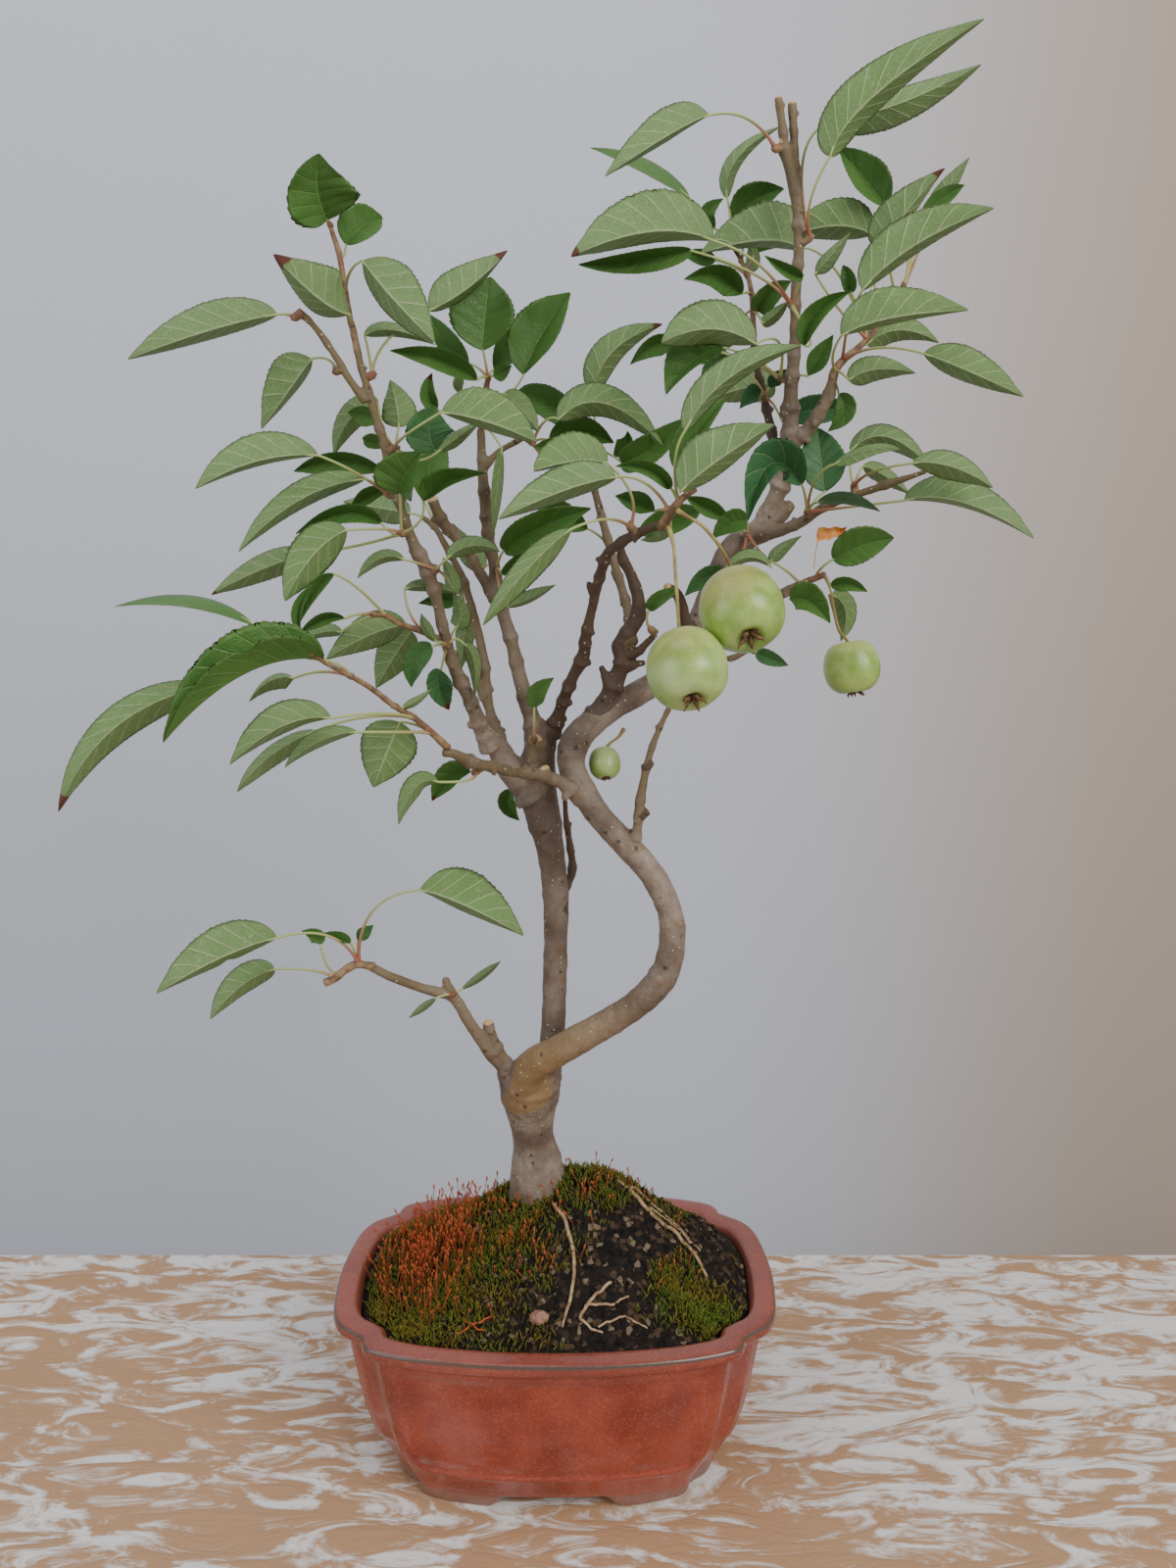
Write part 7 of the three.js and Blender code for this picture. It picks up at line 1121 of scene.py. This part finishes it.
def build_pot():
    HX, HY = 105.0, 71.8
    R, A = [], []

    def put(r, a=(0, 0, 0, 0)):
        R.append(r)
        A.append(np.broadcast_to(np.array(a, float), (len(r), 4)).copy())

    # foot ring, cut into four bracket feet by low arches
    o = ring(HX * 0.73, HY * 0.738, 0)
    ax = sstep(abs(o[:, 0]), 22, 31) * (abs(o[:, 1]) > 30) + (abs(o[:, 1]) <= 30)
    ay = sstep(abs(o[:, 1]), 12, 19) * (abs(o[:, 0]) > 45) + (abs(o[:, 0]) <= 45)
    low = 6.2 * (1 - np.minimum(ax, ay))
    inn = ring(HX * 0.73 - 13, HY * 0.738 - 13, 0)
    inn[:, 2] = 6.4
    put(inn, (0, 1, 0, 0))
    r = inn.copy(); r[:, 2] = low + 0.6; put(r, (0, 1, 0, 0))
    r = ring(HX * 0.73 - 12.2, HY * 0.738 - 12.2, 0); r[:, 2] = low; put(r, (0, 1, 0, 0))
    r = ring(HX * 0.724, HY * 0.731, 0); r[:, 2] = low; put(r, (0, 1, 0, 0))
    r = ring(HX * 0.731, HY * 0.739, 0); r[:, 2] = low + 0.7; put(r, (0, 1, 0, 0))
    for z in np.linspace(1.6, 8.6, 6):
        f = 0.732 + 0.022 * (z / 9)
        r = ring(HX * f, HY * (f + 0.008), 0)
        r[:, 2] = np.maximum(z, low + 0.7 + 0.1 * z)
        put(r, (0, 0.9 if z < 7 else 0.4, 0, 0))
    zs = np.r_[9.3, 10.2, 11.2, np.linspace(12.5, 20.5, 9), np.linspace(21.5, 76, 34), 77, 78, 79]
    for z in zs:
        s = share(z)
        r = ring(HX * s, HY * s, z)
        x, y = OUT[:, 0], OUT[:, 1]
        # sunk panels on the four sides between plain corner columns
        zin = sstep(z, 19.5, 21.5) * (1 - sstep(z, 73.5, 75.5))
        edge = np.exp(-((z - 19.6) / 1.3) ** 2) + np.exp(-((z - 75.6) / 1.3) ** 2)
        px = (1 - sstep(abs(x), 0.70, 0.735)) * (abs(y) > 0.7)
        py = (1 - sstep(abs(y), 0.50, 0.54)) * (abs(x) > 0.85)
        pan = np.maximum(px, py)
        ed = np.maximum(np.exp(-((abs(x) - 0.735) / 0.012) ** 2) * (abs(y) > 0.7), np.exp(-((abs(y) - 0.54) / 0.02) ** 2) * (abs(x) > 0.85))
        inset = 1.1 * pan * zin - 0.5 * np.maximum(ed * zin, edge * pan)
        nrm = r[:, :2] / np.linalg.norm(r[:, :2] / [HX, HY], axis=1)[:, None] / np.array([HX, HY]) ** 1
        nrm = np.stack([r[:, 0] / HX ** 2, r[:, 1] / HY ** 2], 1)
        nrm /= np.linalg.norm(nrm, axis=1)[:, None]
        r[:, :2] -= nrm * inset[:, None]
        put(r, (0, 0.22 if z < 12 else 0, 0.25 * edge, 0))
    rim = [(0.955, -6.9, 0), (0.968, -6.6, 0), (0.985, -6.1, 0), (0.996, -5.2, 0), (1.0, -4.2, 0), (1.0, -3.2, 0), (0.999, -2.2, 0.1), (0.996, -1.3, 1), (0.992, -0.7, 1), (0.986, -0.25, 0.3), (0.975, 0, 0)]
    for f, dz, ln in rim:
        put(ring(HX * f, HY * (f if f < 0.99 else f), 87 + dz), (ln, 0, 0.3 if dz < -3 else 0.6, 0))
    for off in (4.5, 6.5, 8.5):
        put(ring(HX - off, HY - off, 87 + 0.05), (0, 0, 0.9, 0))
    put(ring(HX - 9.8, HY - 9.8, 86.6), (0, 0, 1, 0))
    put(ring(HX - 10.8, HY - 10.8, 85.6), (0, 0, 1, 0.2))
    put(ring(HX - 11.6, HY - 11.6, 83.5), (0, 0, 1, 0.6))
    put(ring(HX - 12.5, HY - 12.5, 79), (0, 0, 1, 1))
    for z in (70, 58, 40, 30, 20, 14):
        put(ring(HX * share(z) - 7, HY * share(z) - 7, z), (0, 0, 0, 1))
    g = Geo()
    V = np.vstack(R)
    k = len(OUT)
    Q = grid_quads(len(R), k)
    # close the underside and the inside floor
    V = np.vstack([V, [0, 0, 6.4], [0, 0, 14]])
    j = np.arange(k)
    jn = (j + 1) % k
    b = (len(R) - 1) * k
    T = np.vstack([np.stack([jn, j, np.full(k, len(V) - 2)], 1), np.stack([b + j, b + jn, np.full(k, len(V) - 1)], 1)])
    A2 = np.vstack([*A, [[0, 1, 0, 0]], [[0, 0, 0, 1]]])
    g.add(V, Q, T, 0, A2)
    ob = g.make("pot_glazed", [GLAZE])
    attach(ob, "root")
    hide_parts("pot")


# ------------------------------------------------------------- soil and moss
MX, MY, PEAK, EDGE = 14, 19, 129, 80.5


def soil_h(x, y, rough=True):
    dx, dy = x - MX, y - MY
    rx = 118 if dx < 0 else 88
    ry = 88 if dy < 0 else 54
    d = math.hypot(dx / rx, dy / ry)
    b = max(0.0, 1 - d)
    dome = b * b * (3 - 2 * b)
    h = EDGE + (PEAK - EDGE) * (0.62 * dome + 0.38 * b) + 0.9 * math.sin(x * 0.11 + 1.3) * math.cos(y * 0.13 + 0.4)
    if rough:
        h += 2.2 * noise.noise(Vector((x * 0.06, y * 0.06, 0))) + 1.6 * noise.noise(Vector((x * 0.19, y * 0.19, 3))) + 0.9 * noise.noise(Vector((x * 0.5, y * 0.5, 7)))
    return h


def build_soil():
    g = Geo()
    o = OUT[::1]
    fs = np.linspace(1, 0.012, 70)
    V = []
    k = len(o)
    low = np.hstack([o * [105 * share(60) - 8, 71.8 * share(60) - 8], np.full((k, 1), 30.0)])
    V.append(low)
    for f in fs:
        x = MX * (1 - f) + o[:, 0] * 92.0 * f
        y = MY * (1 - f) + o[:, 1] * 58.8 * f
        V.append(np.stack([x, y, [soil_h(a, b) for a, b in zip(x, y)]], 1))
    n = len(V)
    V = np.vstack(V)
    V = np.vstack([V, [MX, MY, soil_h(MX, MY)], [0, 0, 30]])
    j = np.arange(k)
    jn = (j + 1) % k
    b = (n - 1) * k
    T = np.vstack([np.stack([b + j, b + jn, np.full(k, len(V) - 2)], 1), np.stack([jn, j, np.full(k, len(V) - 1)], 1)])
    g.add(V, grid_quads(n, k), T)
    rng = np.random.default_rng(5)
    # grit and lumps
    for _ in range(700):
        a, f = rng.uniform(0, 6.283), math.sqrt(rng.random()) * 0.97
        o1 = OUT[int(a / 6.2832 * len(OUT)) % len(OUT)]
        x = MX * (1 - f) + o1[0] * 91 * f
        y = MY * (1 - f) + o1[1] * 58 * f
        r = rng.uniform(0.5, 1.6)
        c = np.array([x, y, soil_h(x, y) + r * 0.2])
        ico = ICO * r * rng.uniform(0.6, 1.2, 3) + c
        g.add(ico, None, ICOF)
    ob = g.make("soil_mound", [SOIL])
    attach(ob, "root")
    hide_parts("soil")


_t = (1 + 5 ** 0.5) / 2
ICO = np.array([(-1, _t, 0), (1, _t, 0), (-1, -_t, 0), (1, -_t, 0), (0, -1, _t), (0, 1, _t), (0, -1, -_t), (0, 1, -_t), (_t, 0, -1), (_t, 0, 1), (-_t, 0, -1), (-_t, 0, 1)]) / 1.9
ICOF = np.array([(0, 11, 5), (0, 5, 1), (0, 1, 7), (0, 7, 10), (0, 10, 11), (1, 5, 9), (5, 11, 4), (11, 10, 2), (10, 7, 6), (7, 1, 8), (3, 9, 4), (3, 4, 2), (3, 2, 6), (3, 6, 8), (3, 8, 9), (4, 9, 5), (2, 4, 11), (6, 2, 10), (8, 6, 7), (9, 8, 1)])


def moss_here(x, y):
    """How mossy a plan point is, 0..1: dense left and on top, bare front and right of the middle."""
    n = noise.noise(Vector((x * 0.045, y * 0.045, 11))) * 0.55 + noise.noise(Vector((x * 0.12, y * 0.12, 5))) * 0.35
    left = sstep(-x, -16, 8)
    top = math.exp(-((x - 8) / 34) ** 2 - ((y - 8) / 22) ** 2) * 1.25
    right = math.exp(-((x - 62) / 18) ** 2 - ((y + 30) / 17) ** 2) * 1.35
    front = math.exp(-((x - 4) / 32) ** 2 - ((y + 44) / 13) ** 2)
    bare = math.exp(-((x - 38) / 16) ** 2 - ((y + 4) / 16) ** 2)
    return float(np.clip(max(left, top, right) + n * 0.9 - 0.95 * front - 1.0 * bare, 0, 1))


def build_moss():
    rng = np.random.default_rng(11)
    gl, gr = Geo(), Geo()
    n = 19000
    for _ in range(n):
        i = rng.integers(len(OUT))
        f = math.sqrt(rng.random()) * 0.985
        x = MX * (1 - f) + OUT[i, 0] * 91.5 * f
        y = MY * (1 - f) + OUT[i, 1] * 58.3 * f
        if rng.random() > moss_here(x, y) * 1.15:
            continue
        z = soil_h(x, y)
        h = rng.uniform(1.8, 5.0)
        lean = rng.normal(0, 0.42, 2)
        a = rng.uniform(0, 6.283)
        w = rng.uniform(0.35, 0.75)
        dx, dy = math.cos(a) * w, math.sin(a) * w
        base = np.array([x, y, z - 0.4])
        midp = base + [lean[0] * h * 0.4, lean[1] * h * 0.4, h * 0.55]
        tip = base + [lean[0] * h, lean[1] * h, h]
        V = [base + [dx, dy, 0], base - [dx, dy, 0], base + [-dy, dx, 0], midp + [dx * 0.8, dy * 0.8, 0], midp - [dx * 0.8, dy * 0.8, 0], midp + [-dy * 0.8, dx * 0.8, 0], tip]
        T = [(0, 3, 4), (0, 4, 1), (1, 4, 5), (1, 5, 2), (2, 5, 3), (2, 3, 0), (3, 6, 4), (4, 6, 5), (5, 6, 3)]
        br = float(np.clip(0.5 + noise.noise(Vector((x * 0.07, y * 0.07, 21))) * 1.3 + rng.normal(0, 0.25), 0, 1))
        u = np.array([0, 0, 0, 0.5, 0.5, 0.5, 1.0]) * rng.uniform(0.5, 1.15)
        (gr if x > 34 and y < -4 else gl).add(V, None, T, 0, (br, 0, 0, 0), np.stack([u, u * 0, u * 0], 1))
    # red stems of the moss, thickest at the left
    for _ in range(620):
        if rng.random() < 0.6:
            x, y = rng.normal(-62, 14), rng.normal(-4, 20)
        else:
            x, y = rng.normal(-10, 42), rng.normal(4, 26)
        if (x / 90) ** 2 + (y / 56) ** 2 > 0.97 or moss_here(x, y) < 0.3:
            continue
        z = soil_h(x, y)
        h = rng.uniform(6, 15) * (1.0 if x < -35 else 0.6)
        lean = rng.normal(0, 0.3, 2)
        pts = [[x, y, z - 1, 0.2], [x + lean[0] * h * 0.3, y + lean[1] * h * 0.3, z + h * 0.5, 0.18], [x + lean[0] * h * 0.8, y + lean[1] * h * 0.8, z + h, 0.16]]
        e = np.array(pts[-1][:3])
        v, q, t = tube(crom(pts, 3), 4)
        u = np.r_[np.repeat(np.linspace(0.2, 0.8, len(v) // 4), 4), 0.2, 0.8]
        u = np.resize(u, len(v))
        gl.add(v, q, t, 0, (0, 1, 0, 0), np.stack([u, u * 0, u * 0], 1))
        v, q, t = tube(np.array([[*e, 0.2], [*(e + [lean[0], lean[1], 1.0]), 0.5], [*(e + [lean[0] * 2, lean[1] * 2, 2.2]), 0.3]]), 5)
        gl.add(v, q, t, 0, (0, 1, 0, 0), (0.9, 0, 0))
    for g, name, node in ((gl, "moss_tufts_left", "moss_left"), (gr, "moss_tufts_right", "moss_right")):
        ob = g.make(name, [MOSS])
        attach(ob, "root")
        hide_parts(node)


def lay(path, step=1.2, lift=0.6):
    """A path over the soil: plan points with radius, lifted to the surface."""
    p = crom([[x, y, 0, r] for x, y, r in path], step)
    p[:, 2] = [soil_h(a, b) + r * 0.6 + lift for a, b, r in zip(p[:, 0], p[:, 1], p[:, 3])]
    return p


def build_litter():
    roots = {
        "dry_root_long": [[(-1, 0, 1), (6, -12, 0.95), (9, -25, 0.85), (7, -38, 0.75), (4, -49, 0.5)]],
        "dry_root_right": [[(36, 13, 1.1), (48, 6, 1), (62, -1, 0.9), (72, -12, 0.7)], [(30, 16, 0.8), (46, 14, 0.7), (60, 10, 0.6), (70, 2, 0.5)], [(44, 9, 0.6), (52, 10, 0.5), (66, 4, 0.4)]],
        "dry_root_front": [[(26, -32, 0.7), (17, -38, 0.8), (12, -46, 0.7), (22, -51, 0.5)], [(34, -36, 0.5), (24, -40, 0.6), (14, -40, 0.5)], [(20, -48, 0.5), (32, -44, 0.5), (42, -46, 0.4)]],
    }
    for name, paths in roots.items():
        g = Geo()
        for path in paths:
            v, q, t = tube(lay(path), 8)
            g.add(v, q, t)
        ob = g.make("litter_" + name, [ROOT])
        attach(ob, "root")
        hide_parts(name)
    g = Geo()
    bpy.ops.mesh.primitive_ico_sphere_add(subdivisions=4, radius=1)
    ob = bpy.context.object
    c = np.array([-6.5, -46, soil_h(-6.5, -46) + 2.6])
    for v in ob.data.vertices:
        q = np.array(v.co) * (1 + 0.16 * noise.noise(v.co * 2.2) + 0.05 * noise.noise(v.co * 7)) * [4.2, 3.3, 3.0]
        v.co = Vector(P(q + c))
    for p in ob.data.polygons:
        p.use_smooth = True
    ob.name = "pebble_stone"
    ob.data.materials.append(PEBBLE)
    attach(ob, "root")
    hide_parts("pebble")
    # a red needle and some fine dead stems
    g = Geo()
    v, q, t = tube(lay([(-44, -47, 0.45), (-36, -45, 0.5), (-28, -42, 0.35)], 1.2, 1.2), 6)
    g.add(v, q, t)
    v, q, t = tube(lay([(-40, -42, 0.3), (-35, -46, 0.4), (-31, -47, 0.3)], 1.2, 1.6), 6)
    g.add(v, q, t)
    ob = g.make("red_needles", [RED])
    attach(ob, "root")


# ----------------------------------------------------------------------- fruit
PROFILE = [(0, 0.76), (0.06, 0.775), (0.14, 0.84), (0.24, 0.93), (0.34, 0.98), (0.45, 1), (0.58, 0.97), (0.7, 0.88), (0.82, 0.73), (0.9, 0.56), (0.965, 0.34), (1, 0.12), (1, -0.1), (0.98, -0.3), (0.93, -0.5), (0.84, -0.68), (0.73, -0.82), (0.6, -0.93), (0.47, -0.985), (0.36, -1), (0.27, -0.97), (0.2, -0.93), (0.13, -0.87), (0.08, -0.84), (0, -0.82)]
APPLES = {
    "upper": dict(at=(75.6, -55, 406.6), r=(16.3, 15.2), calyx=(0.14, -0.74, -0.66), blush=0.35, stalk=[(49.6, -57.2, 444.4), (54.2, -58.4, 441.6), (59.4, -58.6, 438.4), (66.2, -54, 431.4), (71.6, -47.5, 423.6), (74.1, -45.6, 417.4)]),
    "lower": dict(at=(53.6, -66, 384.2), r=(15.5, 14.3), calyx=(0.13, -0.64, -0.76), blush=0.25, stalk=[(46.8, -53.2, 438.4), (48.6, -55.5, 430.5), (49.3, -56.5, 421), (50.3, -56.3, 409), (51.3, -55.6, 397.4), (52.2, -58.9, 392.3)]),
    "right": dict(at=(129.6, -10, 380.2), r=(11.9, 10.9), calyx=(0.15, -0.16, -0.97), blush=0.1, stalk=[(119.4, -9.2, 411.4), (121, -11.5, 403.4), (123.4, -11, 396), (127.4, -9.4, 391.6), (128.4, -8.9, 387.9)]),
    "small": dict(at=(23, 10, 334.6), r=(7.4, 7.0), calyx=(0.1, -0.45, -0.89), blush=0.0, stalk=[(32, 14.6, 350), (29.4, 13.4, 346.4), (25.4, 13, 343.4), (22.6, 12.8, 339.6)]),
}


def build_fruit():
    for i, (name, f) in enumerate(APPLES.items()):
        rng = np.random.default_rng(40 + i)
        pr = crom([[x, 0, y, 0] for x, y in PROFILE], 0.03)
        pr = np.array([(max(a[0], 0), a[2]) for a in pr])
        n = 72
        ang = np.arange(n) * 2 * np.pi / n
        cal = np.array(f["calyx"], float)
        cal /= np.linalg.norm(cal)
        up = -cal
        e1 = np.cross(up, [0, 0, 1.0]); e1 /= np.linalg.norm(e1)
        e2 = np.cross(up, e1)
        c = np.array(f["at"], float)
        V, L3 = [], []
        for x, y in pr:
            lob = 1 + 0.02 * np.cos(5 * ang + i) * sstep(-y, 0.3, 0.95) + 0.018 * np.cos(2 * ang + i * 1.3)
            p = c + (np.cos(ang) * x * lob * f["r"][0])[:, None] * e1 + (np.sin(ang) * x * lob * f["r"][0])[:, None] * e2 + y * f["r"][1] * up
            V.append(p)
            rel = (p - c) / f["r"][0]
            side = rel @ np.array([-0.45, -0.3, 0.85])
            L3.append(np.stack([np.full(n, y), side, np.full(n, x)], 1))
        g = Geo()
        V = np.vstack(V); L3 = np.vstack(L3)
        dark = (sstep(L3[:, 2], 0.2, 0.06) if False else (1 - sstep(L3[:, 2], 0.06, 0.2))) * (L3[:, 0] < 0)
        g.add(V, grid_quads(len(pr), n)[:, ::-1], None, 0, np.stack([dark, dark * 0, dark * 0, dark * 0], 1), L3)
        # dried calyx: small curled sepals round a tuft
        for s in range(5):
            a = s * 2 * math.pi / 5 + i
            d = math.cos(a) * e1 + math.sin(a) * e2
            k = f["r"][0]
            b = c - up * f["r"][1] * 0.86
            pts = [[*(b + d * k * 0.05), k * 0.07], [*(b + d * k * 0.15 + cal * k * 0.12), k * 0.06], [*(b + d * k * (0.22 + 0.08 * rng.random()) + cal * k * 0.2), k * 0.04], [*(b + d * k * (0.18 + 0.2 * rng.random()) + cal * k * 0.3), k * 0.012]]
            v, q, t = tube(crom(pts, 0.5), 7)
            g.add(v, q, t, 1)
        for s in range(7):
            a = rng.uniform(0, 6.28)
            d = math.cos(a) * e1 + math.sin(a) * e2
            k = f["r"][0]
            b = c - up * f["r"][1] * 0.84
            v, q, t = tube(np.array([[*b, 0.3], [*(b + d * k * 0.05 * rng.random() + cal * k * (0.12 + 0.1 * rng.random())), 0.18]]), 5)
            g.add(v, q, t, 1)
        ob = g.make("fruit_" + name, [apple_material("apple_skin_" + name, f["blush"]), CALYX])
        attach(ob, "root")
        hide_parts("apple_" + name)
        st = [[*p, 0.72] for p in f["stalk"]]
        st[0][3] = 1.15
        st[-1][3] = 0.95
        v, q, t = tube(crom(st, 1.0), 10)
        g = Geo()
        g.add(v, q, t)
        ob = g.make("stalk_" + name, [STALK])
        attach(ob, "root")
        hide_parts("apple_stalk_" + name)


def build_scrap():
    """A curled scrap of dry leaf caught among the leaves, hanging by a thread."""
    g = Geo()
    c = np.array(SCRAP)
    nu, nv = 12, 6
    V = []
    for i in range(nu):
        u = i / (nu - 1) - 0.5
        for j in range(nv):
            w = j / (nv - 1) - 0.5
            V.append(c + [u * 12.0, 1.2 * math.cos(w * 5) + 0.5 * math.sin(u * 9), w * 4.6 * (1 - 0.5 * u) + 1.5 * u + 0.4 * math.sin(u * 14)])
    V = np.array(V)
    B = V + [0, 0.25, 0]
    k = nu * nv
    Q = grid_quads(nu, nv, False)
    g.add(np.vstack([V, B]), np.vstack([Q[:, ::-1], Q + k]))
    v, q, t = tube(crom([[*(c + [-5, 0.6, -0.5]), 0.25], [*(c + [-6.2, 1.5, -8]), 0.2], [*(c + [-6.6, 2, -15]), 0.2]], 1.5), 5)
    g.add(v, q, t)
    ob = g.make("dry_leaf_scrap", [DRY])
    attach(ob, "root")


SCRAP = (118.0, -14.0, 437.0)
build_wood()
build_leaves()
build_pot()
build_soil()
build_moss()
build_litter()
build_fruit()
build_scrap()
for s in ("drain_screen_left", "drain_screen_right"):
    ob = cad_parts[s]
    ob.data.materials.clear()
    ob.data.materials.append(SCREEN)


# ----------------------------------------------------------------------- stage
def slab(name, lo, hi, mat):
    V = np.array([(x, y, z) for z in (lo[2], hi[2]) for y in (lo[1], hi[1]) for x in (lo[0], hi[0])])
    g = Geo()
    g.add(V, [(0, 2, 3, 1), (4, 5, 7, 6), (0, 1, 5, 4), (2, 6, 7, 3), (0, 4, 6, 2), (1, 3, 7, 5)])
    return g.make(name, [mat], smooth=False, raw=True)


def floor_material():
    m = Mat("floor")
    tc = m.n("ShaderNodeMapping")
    m.link(m.pos(), tc.inputs["Vector"])
    tc.inputs["Scale"].default_value = (0.35, 1.0, 1.0)
    vec = tc.outputs[0]
    n1 = m.noise(60.0, 6.0, 0.65, vec, 1.6)
    n2 = m.noise(9.0, 3.0, 0.5, vec, 0.8)
    w = m.step(m.math("ADD", n1, m.math("MULTIPLY", n2, 0.35)), 0.58, 0.72)
    col = m.mix(w, srgb(222, 218, 214), srgb(176, 138, 104))
    m.bump(n1, 0.5, 0.004)
    return m.out(col, 0.75, 0.3)


def wall_material():
    m = Mat("wall")
    x = m.sep(m.pos())[0]
    n = m.noise(7.0, 3.0)
    # painted shadow: the wall runs from pale grey-blue at the left into a warm brown shade at the right
    col = m.mix(m.step(x, 0.08, 0.62), srgb(198, 199, 206), srgb(176, 158, 142))
    col = m.mix(m.math("MULTIPLY", n, 0.08), col, srgb(150, 150, 150))
    m.bump(m.noise(160.0, 3.0), 0.1, 0.002)
    return m.out(col, 0.9, 0.15)


floor = slab("floor", (-0.9 + SX, -0.62 + SY, -0.05), (0.9 + SX, 0.149 + SY, 0.0), floor_material())
wall = slab("wall", (-1.6 + SX, 0.62 + SY, -1.2), (1.8 + SX, 0.66 + SY, 1.6), wall_material())


def area(name, loc, at, size, power, color=(1, 1, 1)):
    d = bpy.data.lights.new(name, "AREA")
    d.shape = "RECTANGLE"
    d.size, d.size_y = size
    d.energy = power
    d.color = color
    o = bpy.data.objects.new(name, d)
    o.location = loc
    o.rotation_euler = (Vector(at) - Vector(loc)).to_track_quat("-Z", "Y").to_euler()
    bpy.context.scene.collection.objects.link(o)


area("key", (1.0, -1.15, 1.25), (0, 0, 0.3), (1.1, 1.1), 28.0, (1.0, 0.985, 0.96))
area("fill", (-1.2, -0.9, 0.9), (0, 0, 0.3), (1.2, 1.2), 9.0, (0.93, 0.96, 1.0))
area("wash", (-0.5, -0.1, 1.7), (-0.3, 0.62, 0.4), (1.0, 0.6), 6.0, (0.95, 0.97, 1.0))
world = bpy.data.worlds.new("sky")
bpy.context.scene.world = world
world.use_nodes = True
bg = next(n for n in world.node_tree.nodes if n.type == "BACKGROUND")
bg.inputs[0].default_value = (0.80, 0.84, 0.90, 1)
bg.inputs[1].default_value = 0.55

cam = bpy.data.cameras.new("camera")
cam.sensor_fit = "AUTO"
cam.sensor_width = 34.6
cam.lens = 26
co = bpy.data.objects.new("camera", cam)
co.location = (0.0154 + SX, -0.521 + SY, 0.4235)
co.rotation_euler = (math.radians(79.5), 0, 0)
bpy.context.scene.collection.objects.link(co)
bpy.context.scene.camera = co
